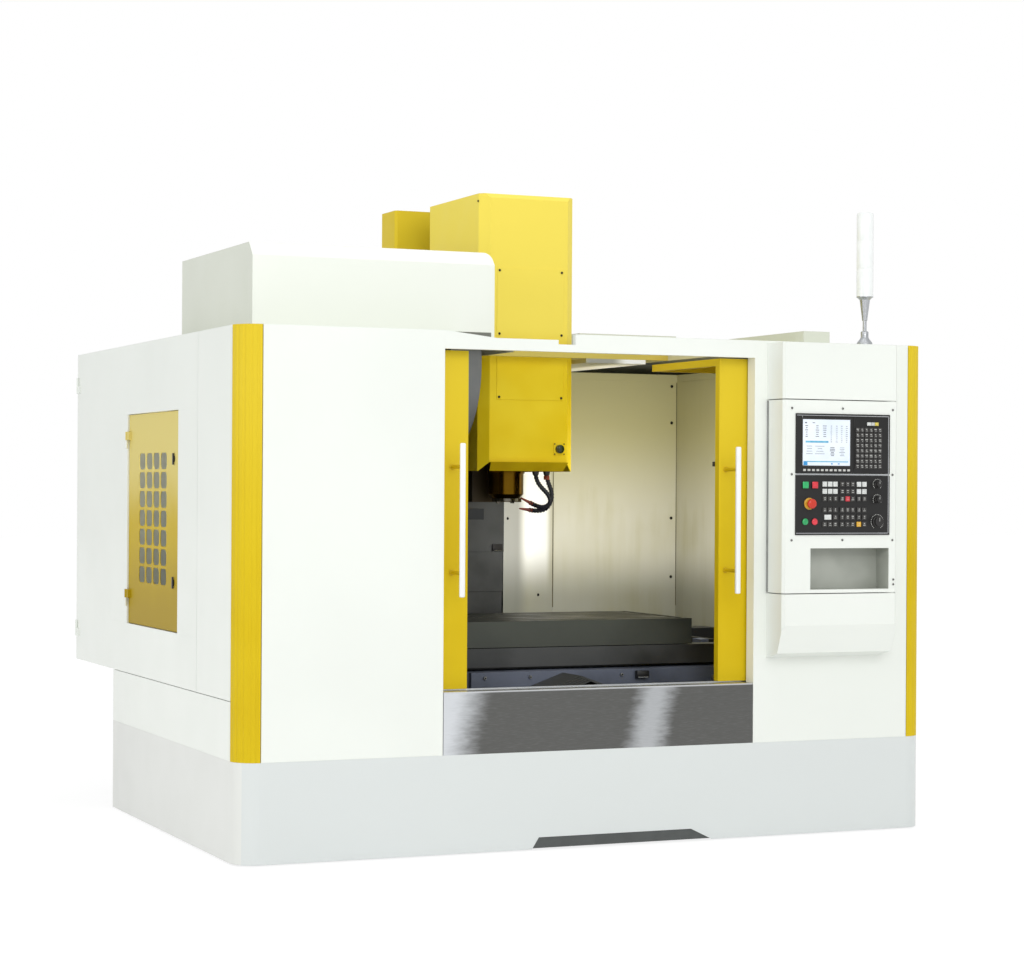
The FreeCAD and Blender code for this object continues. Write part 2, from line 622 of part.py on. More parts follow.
# Two knuckles on one upright pin line: the lower one stays, the upper one swings.
def knuckle_pair(name, centre, low):
    high = f"{low} + dims.hinge_length + dims.rest_gap"
    fixed = rod(name + "_fixed_knuckle", "z", "dims.hinge_radius", low,
                f"{low} + dims.hinge_length", centre)
    moving = rod(name + "_moving_knuckle", "z", "dims.hinge_radius", high,
                 f"{high} + dims.hinge_length", centre)
    return fixed, moving


half_width = "dims.machine_width / 2"
half_opening = "dims.opening_width / 2"
opening_top = "dims.front_height - dims.header_height"
roof_low = "dims.front_height - dims.roof_depth"


# ---- enclosure ----

def make_base_skirt():
    z = ("dims.skirt_clearance", "dims.skirt_height")
    y = (front_y(0), front_y("dims.skirt_depth"))
    outer = round_fronted("skirt_outer", half_width, y, z, "dims.corner_radius")
    inner_y = (front_y("dims.sheet"), front_y("dims.skirt_depth + 1"))
    inner_z = ("dims.skirt_clearance - 1", "dims.skirt_height + 1")
    inner = round_fronted("skirt_inner", f"{half_width} - dims.sheet", inner_y, inner_z,
                          "(dims.corner_radius - dims.sheet)")
    notch = prism("skirt_notch", "XZ", [
        ("-dims.cutout_left", "0"),
        ("dims.cutout_right", "0"),
        ("dims.cutout_right - dims.cutout_slope_right", "dims.cutout_height"),
        ("-dims.cutout_left + dims.cutout_slope_left", "dims.cutout_height"),
    ], front_y(-1), front_y("dims.sheet + 1"))
    node("base_skirt", cut("base_skirt", outer, inner, notch))


def make_corner_columns():
    z = ("dims.skirt_height", "dims.front_height")
    depth = front_y("dims.corner_radius")
    across = f"{half_width} - dims.corner_radius"
    quarter = block("corner_quarter", (across, half_width), (front_y(0), depth), z)
    disc = rod("corner_disc", "z", "dims.corner_radius", *z, (across, depth))
    tools = [rod("corner_hollow", "z", "dims.corner_radius - dims.flange",
                 f"{z[0]} - 1", f"{z[1]} - dims.sheet", (across, depth))]
    reach = "(dims.corner_radius + dims.flute_radius - dims.flute_depth)"
    count = int(size("flute_count"))
    for i in range(count):
        angle = math.pi / 2 * (i + 0.5) / count
        tools.append(rod(
            f"corner_flute_{i}", "z", "dims.flute_radius", f"{z[0]} - 1", f"{z[1]} + 1",
            (f"{across} + {reach} * {math.sin(angle):.6f}",
             f"{depth} - {reach} * {math.cos(angle):.6f}")))
    right = cut("corner_right", overlap_of("corner_round", quarter, disc), *tools)
    node("corner_columns", group("corner_columns", right, mirrored("corner_left", right)))


def make_front_panels():
    z = ("dims.skirt_height", "dims.front_height")
    y = (front_y(0), front_y("dims.reveal"))
    inner_edge = half_opening
    outer_edge = f"{half_width} - dims.corner_radius - dims.seam"
    right = tray("front_right", (inner_edge, outer_edge), y, z, "+y")
    left = tray("front_left", (f"-({outer_edge})", f"-({inner_edge})"), y, z, "+y")
    top = "dims.front_height"
    dip = f"{top} - dims.header_dip"
    step = f"{dip} - dims.header_step"
    header = prism("header_outer", "XZ", [
        (f"-({inner_edge})", opening_top),
        (inner_edge, opening_top),
        (inner_edge, top),
        ("-dims.header_step_right", top),
        ("-dims.header_step_right", step),
        ("-dims.header_step_left", step),
        ("-dims.header_step_left", dip),
        ("-dims.header_dip_left", dip),
        (f"-({inner_edge})", top),
    ], front_y(0), front_y("dims.header_depth"))
    hollow = block("header_hollow",
                   (f"-({inner_edge}) + dims.sheet", f"{inner_edge} - dims.sheet"),
                   (front_y("dims.sheet"), front_y("dims.header_depth + 1")),
                   (f"{opening_top} + dims.sheet", f"{step} - dims.sheet"))
    header = cut("header", header, hollow)
    node("front_panels", group("front_panels", left, right, header))


def make_front_apron():
    edge = f"{half_opening} - dims.seam"
    sill = tray("apron_sill", (f"-({edge})", edge),
                (front_y(0), front_y("dims.apron_depth")),
                ("dims.skirt_height", "dims.sill_height"), "+y")
    reach = "dims.door_open + dims.door_width"
    bed = block("door_rail_bed", (f"-({reach})", reach),
                (front_y("dims.apron_depth"),
                 front_y("dims.door_front + dims.door_thickness")),
                ("dims.sill_height - dims.door_gap", "dims.sill_height"))
    middle = "dims.door_front + dims.door_thickness / 2"
    bead = block("door_rail_bead", (f"-({reach})", reach),
                 (front_y(f"{middle} - dims.door_gap"), front_y(f"{middle} + dims.door_gap")),
                 ("dims.sill_height", "dims.sill_height + dims.door_gap - dims.rest_gap"))
    node("front_apron", group("front_apron", sill, join("door_rail", bed, bead)))


# four folded sheets that butt against each other round the side door
def make_hatch_surround(x, y, z):
    gap = "dims.hatch_gap"
    window_y = (front_y(f"dims.hatch_front - {gap}"), front_y(f"dims.hatch_back + {gap}"))
    window_z = (f"dims.hatch_low - {gap}", f"dims.hatch_high + {gap}")
    return [
        tray("hatch_surround_low", x, y, (z[0], window_z[0]), "+x"),
        tray("hatch_surround_high", x, y, (window_z[1], z[1]), "+x"),
        tray("hatch_surround_front", x, (y[0], window_y[0]), window_z, "+x"),
        tray("hatch_surround_back", x, (window_y[1], y[1]), window_z, "+x"),
    ]


def make_enclosure_panels():
    outer = half_width
    inner = f"{half_width} - dims.flange"
    start = front_y("dims.corner_radius + dims.seam")
    seam = "dims.side_seam_depth"
    top = "dims.front_height"
    panels = []
    for side, x, open_side in (("left", (f"-({outer})", f"-({inner})"), "+x"),
                               ("right", (inner, outer), "-x")):
        lower = tray(f"{side}_lower", x, (start, front_y("dims.skirt_depth")),
                     ("dims.skirt_height", "dims.seam_height - dims.seam"), open_side)
        front = tray(f"{side}_front", x, (start, front_y(f"{seam} - dims.seam")),
                     ("dims.seam_height", top), open_side)
        panels += [lower, front]
        if side == "left":
            panels += make_hatch_surround(x, (front_y(seam), front_y("dims.panel_depth")),
                                          ("dims.seam_height", top))
        else:
            panels.append(tray("right_back", x, (front_y(seam), front_y("dims.panel_depth")),
                               ("dims.seam_height", top), open_side))
    # the rear panels stop beside the column, and the lower ones beside the bed
    column_gap = "dims.column_base_half + dims.head_passage"
    bed_gap = "dims.bed_half + dims.wall_passage"
    for side, sign in (("left", -1), ("right", 1)):
        for level, gap, back, z in (
                ("lower", bed_gap, "dims.skirt_depth",
                 ("dims.skirt_height", "dims.seam_height - dims.seam")),
                ("upper", column_gap, "dims.panel_depth", ("dims.seam_height", roof_low))):
            x = (gap, inner) if sign > 0 else (f"-({inner})", f"-({gap})")
            panels.append(block(f"rear_{side}_{level}", x,
                                (front_y(f"{back} - dims.sheet"), front_y(back)), z))
    node("enclosure_panels", group("enclosure_panels", *panels, *make_hatch_knuckles()))


def make_roof_panels():
    z = (roof_low, "dims.front_height")
    side = f"{half_width} - dims.flange"
    y = (front_y("dims.reveal"), front_y("dims.panel_depth"))
    left = tray("roof_left_tray", (f"-({side})", "-dims.crane_left"), y, z, "-z")
    passage = block("roof_magazine_passage",
                    ("-dims.box_left + dims.flange", "-dims.box_right - dims.sheet"),
                    (front_y("dims.box_front + dims.flange"),
                     front_y("dims.box_back - dims.flange")),
                    (f"{z[0]} - 1", f"{z[1]} + 1"))
    column_side = "dims.column_base_half + dims.head_passage"
    column_passage = block("roof_column_passage_left", (f"-({column_side})", "0"),
                           (front_y("dims.splay_front"), f"{y[1]} + 1"),
                           (f"{z[0]} - 1", f"{z[1]} + 1"))
    # the two front corners belong to the corner columns
    corner = "dims.corner_radius + dims.seam"
    corner_y = (f"{y[0]} - 1", front_y(corner))
    corner_z = (f"{z[0]} - 1", f"{z[1]} + 1")
    left_corner = block("roof_corner_left", (f"-({side}) - 1", f"-({half_width}) + {corner}"),
                        corner_y, corner_z)
    right_corner = block("roof_corner_right", (f"{half_width} - ({corner})", f"{side} + 1"),
                         corner_y, corner_z)
    # the roof stays behind the dip in the header
    dip = block("roof_dip", ("-dims.header_dip_left", "-dims.crane_left + 1"),
                (f"{y[0]} - 1", front_y("dims.box_front - dims.header_depth")),
                (f"{z[0]} - 1", f"{z[1]} + 1"))
    left = cut("roof_left", left, passage, column_passage, left_corner, dip)
    right = cut("roof_right", tray("roof_right_tray", ("dims.crane_right", side), y, z, "-z"),
                right_corner)
    head_side = "dims.cover_half + dims.head_passage"
    back_y = (front_y("dims.crane_depth"), front_y("dims.panel_depth"))
    middle = tray("roof_middle_tray", (head_side, "dims.crane_right"), back_y, z, "-z")
    column_passage = block("roof_column_passage_right", ("0", column_side),
                           (front_y("dims.splay_front"), f"{y[1]} + 1"),
                           (f"{z[0]} - 1", f"{z[1]} + 1"))
    middle = cut("roof_middle", middle, column_passage)
    bridge = tray("roof_bridge", ("-dims.crane_left", head_side),
                  (front_y("dims.crane_depth"),
                   front_y("dims.crane_depth + dims.bridge_depth")), z, "-z")
    duct = block("roof_duct", ("dims.duct_left", "dims.duct_left + dims.duct_width"),
                 (front_y(0), front_y("dims.duct_depth")),
                 ("dims.front_height", "dims.front_height + dims.duct_height"))
    node("roof_panels", group("roof_panels", left, right, middle, bridge, duct,
                              make_roof_vent()))


def make_roof_vent():
    top = "dims.front_height + dims.vent_height"
    x = ("dims.vent_left", "dims.vent_left + dims.vent_width")
    hood = tray("vent_hood", x,
                (front_y("dims.vent_front"), front_y("dims.vent_front + dims.vent_depth")),
                ("dims.front_height", top), "-z")
    count = int(size("vent_slots"))
    span = "(dims.vent_width - 2 * dims.vent_slot_margin - dims.vent_slot_width)"
    slots = []
    for i in range(count):
        low = f"{x[0]} + dims.vent_slot_margin + {span} * {i} / (dims.vent_slots - 1)"
        slots.append(block(f"vent_slot_{i}", (low, f"{low} + dims.vent_slot_width"),
                           (front_y("dims.vent_front - 1"),
                            front_y("dims.vent_front + dims.sheet + 1")),
                           (f"{top} - dims.vent_slot_top - dims.vent_slot_height",
                            f"{top} - dims.vent_slot_top")))
    return cut("roof_vent", hood, *slots)


def make_magazine_cover():
    low = "dims.front_height"
    high = "dims.front_height + dims.box_height"
    x = ("-dims.box_left", "-dims.box_right")

    def hood(name, wall):
        front = front_y(f"dims.box_front + {wall}")
        back = front_y(f"dims.box_back - {wall}")
        top = f"{high} - {wall}"
        floor = f"{low} - {wall} / 2"
        side = prism(name + "_side", "YZ", [
            (front, floor),
            (back, floor),
            (back, top),
            (f"{front} + dims.box_slope_run", top),
            (front, f"{top} - dims.box_slope_rise"),
        ], f"{x[0]} + {wall}", f"{x[1]} - {wall}")
        right = f"{x[1]} - {wall} - dims.box_round"
        round_end = rod(name + "_round", "y", "dims.box_round",
                        f"{front} - 1", f"{back} + 1", (right, f"{top} - dims.box_round"))
        body = block(name + "_body", (f"{x[0]} - 1", right),
                     (f"{front} - 1", f"{back} + 1"), (f"{floor} - 1", f"{top} + 1"))
        under = block(name + "_under", (right, f"{x[1]} - {wall} + 1"),
                      (f"{front} - 1", f"{back} + 1"),
                      (f"{floor} - 1", f"{top} - dims.box_round"))
        return overlap_of(name, side, join(name + "_ends", body, under, round_end))

    node("magazine_cover", cut("magazine_cover", hood("box_outer", "0"),
                               hood("box_inner", "dims.sheet")))


def make_electrical_cabinet():
    x = (f"-({half_width})", f"-({half_width}) + dims.cabinet_width")
    y = (front_y("dims.panel_depth"),
         front_y("dims.panel_depth + dims.cabinet_depth - dims.door_sheet"))
    shell = tray("cabinet_shell", x, y, ("dims.seam_height", "dims.front_height"), "+y")
    plate_y = f"{y[0]} + dims.sheet + dims.mounting_plate_gap"
    plate = block("mounting_plate",
                  (f"{x[0]} + dims.sheet", f"{x[1]} - dims.sheet"),
                  (f"{plate_y} - dims.sheet", plate_y),
                  ("dims.seam_height + dims.sheet", "dims.front_height - dims.sheet"))
    inside = [shell, plate]
    row = "(dims.drive_count * (dims.drive_width + dims.drive_gap) - dims.drive_gap)"
    first = f"({x[0]} + {x[1]}) / 2 - {row} / 2"
    for i in range(int(size("drive_count"))):
        low = f"{first} + {i} * (dims.drive_width + dims.drive_gap)"
        inside.append(block(f"drive_module_{i}", (low, f"{low} + dims.drive_width"),
                            (plate_y, f"{plate_y} + dims.drive_depth"),
                            ("dims.drive_low", "dims.drive_low + dims.drive_height")))
    inside.append(block("contactor_row", (first, f"{first} + {row}"),
                        (plate_y, f"{plate_y} + dims.contactor_row_height"),
                        ("dims.contactor_row_low",
                         "dims.contactor_row_low + dims.contactor_row_height")))
    inside.append(block("transformer", (first, f"{first} + dims.transformer_size"),
                        (plate_y, f"{plate_y} + dims.transformer_size"),
                        ("dims.seam_height + dims.sheet",
                         "dims.seam_height + dims.sheet + dims.transformer_size")))
    door_knuckles = []
    for end, low in (("low", "dims.seam_height + 3 * dims.hinge_length"),
                     ("high", "dims.front_height - 5 * dims.hinge_length")):
        centre = (f"{x[0]} - dims.hinge_radius", y[1])
        fixed, moving = knuckle_pair(f"cabinet_hinge_{end}", centre, low)
        inside.append(join(f"cabinet_hinge_{end}_fixed", fixed, block(
            f"cabinet_hinge_{end}_leaf", (centre[0], x[0]),
            (f"{y[1]} - dims.hinge_length", y[1]), (low, f"{low} + dims.hinge_length"))))
        high = f"{low} + dims.hinge_length + dims.rest_gap"
        door_knuckles.append(moving)
        door_knuckles.append(block(
            f"cabinet_hinge_{end}_strap", (centre[0], x[0]),
            (f"{y[1]} + dims.rest_gap", f"{y[1]} + dims.door_sheet"),
            (high, f"{high} + dims.hinge_length")))
    node("electrical_cabinet", group("electrical_cabinet", *inside))
    back = front_y("dims.panel_depth + dims.cabinet_depth")
    parting = f"{back} - dims.door_sheet"
    door = tray("cabinet_door_tray", x, (f"{parting} + dims.rest_gap", back),
                ("dims.seam_height", "dims.front_height"), "-y")
    grip_x = f"{x[1]} - 2 * dims.flange"
    middle = "(dims.seam_height + dims.front_height) / 2"
    grip = block("cabinet_grip", (f"{grip_x} - dims.flange", grip_x),
                 (back, f"{back} + dims.flange"),
                 (f"{middle} - 2 * dims.flange", f"{middle} + 2 * dims.flange"))
    node("cabinet_door", join("cabinet_door", door, grip, *door_knuckles))


hatch_hinge = (f"-({half_width}) - dims.hinge_radius",
               front_y("dims.hatch_back + dims.hatch_gap / 2"))
HATCH_HINGES = (("low", "dims.hatch_low + 2 * dims.hinge_length"),
                ("high", "dims.hatch_high - 4 * dims.hinge_length"))


def make_hatch_knuckles():
    fixed_knuckles = []
    for end, low in HATCH_HINGES:
        fixed, moving = knuckle_pair(f"hatch_hinge_{end}", hatch_hinge, low)
        leaf = block(f"hatch_hinge_{end}_leaf", (hatch_hinge[0], f"-({half_width})"),
                     (hatch_hinge[1], f"{hatch_hinge[1]} + dims.hinge_length"),
                     (low, f"{low} + dims.hinge_length"))
        fixed_knuckles.append(join(f"hatch_hinge_{end}_fixed", fixed, leaf))
    return fixed_knuckles


def make_side_access_door():
    outer = f"-({half_width}) + dims.hatch_inset"
    x = (outer, f"{outer} + dims.door_sheet")
    leaf = tray("hatch_tray", x, (front_y("dims.hatch_front"), front_y("dims.hatch_back")),
                ("dims.hatch_low", "dims.hatch_high"), "+x")
    tools = []
    through = (f"{x[0]} - 1", f"{x[0]} + dims.sheet + 1")
    for column in range(int(size("louvre_columns"))):
        low_y = front_y(f"dims.louvre_front + {column} * dims.louvre_pitch_y")
        high_y = f"{low_y} + dims.louvre_width"
        for row in range(int(size("louvre_rows"))):
            low_z = f"dims.louvre_low + {row} * dims.louvre_pitch_z"
            high_z = f"{low_z} + dims.louvre_height"
            bevel = "dims.louvre_round"
            tools.append(prism(f"louvre_{column}_{row}", "YZ", [
                (f"{low_y} + {bevel}", low_z),
                (f"{high_y} - {bevel}", low_z),
                (high_y, f"{low_z} + {bevel}"),
                (high_y, f"{high_z} - {bevel}"),
                (f"{high_y} - {bevel}", high_z),
                (f"{low_y} + {bevel}", high_z),
                (low_y, f"{high_z} - {bevel}"),
                (low_y, f"{low_z} + {bevel}"),
            ], *through))
    for name, height in (("low", "dims.latch_low"), ("high", "dims.latch_high")):
        tools.append(rod(f"latch_hole_{name}", "x", "dims.latch_radius + dims.button_gap / 2",
                         *through, (front_y("dims.latch_front"), height)))
    straps = []
    for end, low in HATCH_HINGES:
        fixed, moving = knuckle_pair(f"hatch_door_hinge_{end}", hatch_hinge, low)
        high = f"{low} + dims.hinge_length + dims.rest_gap"
        straps.append(moving)
        straps.append(block(f"hatch_strap_{end}", (hatch_hinge[0], outer),
                            (f"{hatch_hinge[1]} - dims.hinge_length",
                             f"{hatch_hinge[1]} - dims.hatch_gap"),
                            (high, f"{high} + dims.hinge_length")))
        straps.append(block(f"hatch_strap_bridge_{end}",
                            (hatch_hinge[0], f"-({half_width}) - dims.rest_gap"),
                            (f"{hatch_hinge[1]} - dims.hinge_length", hatch_hinge[1]),
                            (high, f"{high} + dims.hinge_length")))
    leaf = cut("side_access_leaf", leaf, *tools)
    node("side_access_door", join("side_access_door", leaf, *straps))
    for name, height in (("lower", "dims.latch_low"), ("upper", "dims.latch_high")):
        centre = (front_y("dims.latch_front"), height)
        boss = rod(f"latch_boss_{name}", "x", "dims.latch_radius",
                   f"{x[0]} - dims.sheet", f"{x[0]} + 2 * dims.sheet", centre)
        wing = block(f"latch_wing_{name}",
                     (f"{x[0]} - dims.hatch_inset", f"{x[0]} - dims.sheet"),
                     (f"{centre[0]} - dims.latch_thickness / 2",
                      f"{centre[0]} + dims.latch_thickness / 2"),
                     (f"{height} - dims.latch_wing / 2", f"{height} + dims.latch_wing / 2"))
        catch = block(f"latch_catch_{name}",
                      (f"{x[0]} + 2 * dims.sheet", f"{x[0]} + 3 * dims.sheet"),
                      (f"{centre[0]} - dims.latch_radius", f"{centre[0]} + dims.latch_radius"),
                      (f"{height} - dims.latch_radius", f"{height} + dims.latch_radius * 2"))
        name = f"side_latch_{name}"
        node(name, join(name, boss, wing, catch))


# ---- front doors ----

def make_front_door(side):
    sign = -1 if side == "left" else 1

    # x from the door's meeting edge outwards, in machine coordinates
    def across(low, high):
        pair = [f"{sign} * (dims.door_open + ({low}))", f"{sign} * (dims.door_open + ({high}))"]
        return tuple(pair if sign > 0 else reversed(pair))

    y = (front_y("dims.door_front"), front_y("dims.door_front + dims.door_thickness"))
    cover_top = f"{opening_top} + dims.seam"
    z = ("dims.sill_height + dims.door_gap", f"{opening_top} - dims.seam")
    leaf = block(f"{side}_door_leaf", across("0", "dims.door_width"), y, z)
    window = ("dims.stile_width", "dims.door_width - dims.back_stile_width")
    window_z = (f"{z[0]} + dims.rail_height", f"{z[1]} - dims.rail_height")
    sight = block(f"{side}_door_sight", across(*window), (f"{y[0]} - 1", f"{y[1]} + 1"),
                  window_z)
    pane_x = (f"{window[0]} - dims.glass_rebate", f"{window[1]} + dims.glass_rebate")
    pane_z = (f"{window_z[0]} - dims.glass_rebate", f"{window_z[1]} + dims.glass_rebate")
    pane_y = f"({y[0]} + {y[1]} - dims.glass) / 2"
    rebate = block(f"{side}_door_rebate", across(*pane_x),
                   (pane_y, f"{pane_y} + dims.glass"), pane_z)
    leaf = cut(f"{side}_door_frame_leaf", leaf, sight, rebate)
    # the crane cover: a shallow roof that the door carries over the front of the chamber
    roof_z = (f"{opening_top} - dims.door_head_gap", f"{opening_top} - dims.seam")
    # the left one stops short of the tool magazine's guard
    depth = ("dims.crane_depth" if side == "right"
             else "dims.magazine_depth - dims.guard_radius - dims.bridge_depth")
    back = front_y(depth)
    cover = block(f"{side}_door_cover", across("0", "dims.door_width"), (y[1], back), roof_z)
    hollow = block(f"{side}_door_cover_hollow",
                   across("dims.crane_cover_rail", "dims.door_width - dims.crane_cover_rail"),
                   (y[1], f"{back} - dims.crane_cover_rail"),
                   (f"{roof_z[0]} - 1", f"{roof_z[1]} - dims.sheet"))
    cover = cut(f"{side}_door_crane_cover", cover, hollow)
    node(f"{side}_door_frame", join(f"{side}_door_frame", leaf, cover))
    node(f"{side}_door_window", block(f"{side}_door_window", across(*pane_x),
                                      (pane_y, f"{pane_y} + dims.glass"), pane_z))
    inset = f"dims.handle_inset_{side}"
    bar_back = f"{y[0]} - dims.handle_reach"
    bar = block(f"{side}_handle_bar",
                across(f"{inset} - dims.handle_width / 2", f"{inset} + dims.handle_width / 2"),
                (f"{bar_back} - dims.handle_depth", bar_back),
                ("dims.handle_low", "dims.handle_low + dims.handle_length"))
    posts = []
    for name, height in (("low", "dims.handle_low + dims.handle_post_inset"),
                         ("high", "dims.handle_low + dims.handle_length - dims.handle_post_inset")):
        posts.append(rod(f"{side}_handle_post_{name}", "y", "dims.handle_post_radius",
                         bar_back, y[0], (across(inset, inset)[0], height)))
    node(f"{side}_door_handle", join(f"{side}_door_handle", bar, *posts))


# ---- operator's console ----

console_x = (f"{half_width} - dims.console_inset - dims.console_width",
             f"{half_width} - dims.console_inset")
console_y = (front_y("-dims.console_reach"), front_y(0))
panel_y = f"{console_y[0]} - dims.unit_proud"
unit_x = f"{console_x[0]} + dims.unit_left"
console_hinge = (console_x[1], f"{console_y[0]} + dims.console_bevel + dims.hinge_radius")


# A housing whose two front upright edges are bevelled.
def bevelled_plan(name, z, y_front, y_back, x):
    bevel = "dims.console_bevel"
    return prism(name, "XY", [
        (x[0], y_back),
        (x[0], f"{y_front} + {bevel}"),
        (f"{x[0]} + {bevel}", y_front),
        (f"{x[1]} - {bevel}", y_front),
        (x[1], f"{y_front} + {bevel}"),
        (x[1], y_back),
    ], *z)


def make_console_housings():
    upper = bevelled_plan("console_upper", ("dims.console_box_top + dims.console_gap",
                                            "dims.front_height - dims.console_drop"), *console_y, console_x)
    lower = prism("console_lower_side", "YZ", [
        (console_y[1], "dims.console_low - dims.console_slope_run / 2"),
        (f"{console_y[0]} + dims.console_slope_run", "dims.console_low"),
        (console_y[0], "dims.console_slope_top"),
        (console_y[0], "dims.console_box_low - dims.console_gap"),
        (console_y[1], "dims.console_box_low - dims.console_gap"),
    ], *console_x)
    plan = bevelled_plan("console_lower_plan", ("0", "dims.console_box_low"),
                         *console_y, console_x)
    lower = overlap_of("console_lower", lower, plan)
    low_knuckle = rod("console_knuckle_low", "z", "dims.hinge_radius",
                      "dims.console_box_low - dims.hinge_length",
                      "dims.console_box_low - dims.rest_gap", console_hinge)
    high_knuckle = rod("console_knuckle_high", "z", "dims.hinge_radius",
                       "dims.console_box_top + dims.rest_gap",
                       "dims.console_box_top + dims.hinge_length", console_hinge)
    node("console_housings", group("console_housings", join("console_top", upper, high_knuckle),
                                   join("console_bottom", lower, low_knuckle)))


def make_console_box():
    z = ("dims.console_box_low", "dims.console_box_top")
    back = f"{console_y[1]} - dims.console_gap"
    shell = bevelled_plan("console_box_shell", z, console_y[0], back, console_x)
    unit = (unit_x, f"{unit_x} + dims.unit_width")
    bay_y = (f"{console_y[0]} - 1", f"{console_y[0]} + dims.unit_depth")
    bays = [block(f"{name}_bay", unit, bay_y, (f"dims.{name}_low",
                                               f"dims.{name}_low + dims.unit_height"))
            for name in ("display", "operator")]
    pocket_x = f"{console_x[0]} + dims.pocket_left"
    pocket = block("console_pocket", (pocket_x, f"{pocket_x} + dims.pocket_width"),
                   (f"{console_y[0]} - 1", f"{console_y[0]} + dims.pocket_depth"),
                   ("dims.pocket_low", "dims.pocket_low + dims.pocket_height"))
    low_knuckle = rod("console_box_knuckle_low", "z", "dims.hinge_radius", z[0],
                      f"{z[0]} + dims.hinge_length", console_hinge)
    high_knuckle = rod("console_box_knuckle_high", "z", "dims.hinge_radius",
                       f"{z[1]} - dims.hinge_length", z[1], console_hinge)
    shell = join("console_box_body", shell, low_knuckle, high_knuckle)
    node("console_box", cut("console_box", shell, *bays, pocket))


def keys(name, origin, low, left, bottom, columns, rows, pitch_x, pitch_z, key):
    found = []
    for column in range(int(size(columns))):
        for row in range(int(size(rows))):
            x = f"{origin} + dims.{left} + {column} * dims.{pitch_x}"
            z = f"{low} + dims.{bottom} + {row} * dims.{pitch_z}"
            found.append(block(f"{name}_{column}_{row}", (x, f"{x} + dims.{key}"),
                               (f"{panel_y} - dims.key_proud", panel_y),
                               (z, f"{z} + dims.{key}")))
    return found


def make_display_unit():
    x = (unit_x, f"{unit_x} + dims.unit_width")
    y = (panel_y, f"{console_y[0]} + dims.unit_depth")
    low = "dims.display_low"
    case = block("display_case", x, y, (low, f"{low} + dims.unit_height"))
    screen_x = (f"{unit_x} + dims.screen_left",
                f"{unit_x} + dims.screen_left + dims.screen_width")
    screen_z = (f"{low} + dims.screen_low", f"{low} + dims.screen_low + dims.screen_height")
    recess = block("screen_recess", screen_x, (f"{panel_y} - 1",
                                               f"{panel_y} + dims.screen_recess"), screen_z)
    data_keys = keys("data_key", unit_x, low, "data_key_left", "data_key_low",
                     "data_key_columns", "data_key_rows", "data_key_pitch",
                     "data_key_pitch", "data_key_size")
    housing = join("display_housing", cut("display_body", case, recess), *data_keys)
    screen = block("display_screen", screen_x,
                   (f"{panel_y} + dims.screen_recess / 2",
                    f"{panel_y} + dims.screen_recess"), screen_z)
    node("display_unit", group("display_unit", housing, screen))


button_column = {
    "left": f"{unit_x} + dims.button_column_left",
    "right": f"{unit_x} + dims.button_column_right",
}
BUTTONS = (
    ("square_button_left", "left", "square"),
    ("square_button_right", "right", "square"),
    ("round_button_left", "left", "round"),
    ("round_button_right", "right", "round"),
)
KNOBS = (
    ("feed_knob", "dims.knob_high", "dims.knob_radius"),
    ("spindle_knob", "dims.knob_mid", "dims.knob_radius"),
    ("mode_knob", "dims.knob_low", "dims.large_knob_radius"),
)


def make_operator_unit():
    x = (unit_x, f"{unit_x} + dims.unit_width")
    y = (panel_y, f"{console_y[0]} + dims.unit_depth")
    low = "dims.operator_low"
    case = block("operator_case", x, y, (low, f"{low} + dims.unit_height"))
    tools = []
    for name, column, form in BUTTONS:
        height = f"{low} + dims.{form}_button_height"
        tools.append(rod(f"{name}_bore", "y",
                         "dims.button_radius * 2 / 3 + dims.button_gap", f"{panel_y} - 1",
                         f"{panel_y} + dims.button_depth + dims.button_travel + 1",
                         (button_column[column], height)))
    tools.append(rod("stop_bore", "y", "dims.stop_stem_radius + dims.button_gap",
                     f"{panel_y} - 1", f"{panel_y} + dims.button_depth + dims.stop_travel + 1",
                     (f"{unit_x} + dims.stop_across", f"{low} + dims.stop_height")))
    for name, height, radius in KNOBS:
        tools.append(rod(f"{name}_bore", "y", "dims.knob_stem_radius + dims.screw_clearance",
                         f"{panel_y} - 1", f"{panel_y} + dims.button_depth + 1",
                         (f"{unit_x} + dims.knob_across", f"{low} + {height}")))
    mode_keys = keys("mode_key", unit_x, low, "mode_key_left", "mode_key_low",
                     "mode_key_columns", "mode_key_rows", "mode_key_pitch_x",
                     "mode_key_pitch_z", "mode_key_size")
    node("operator_unit", join("operator_unit", cut("operator_body", case, *tools),
                               *mode_keys))


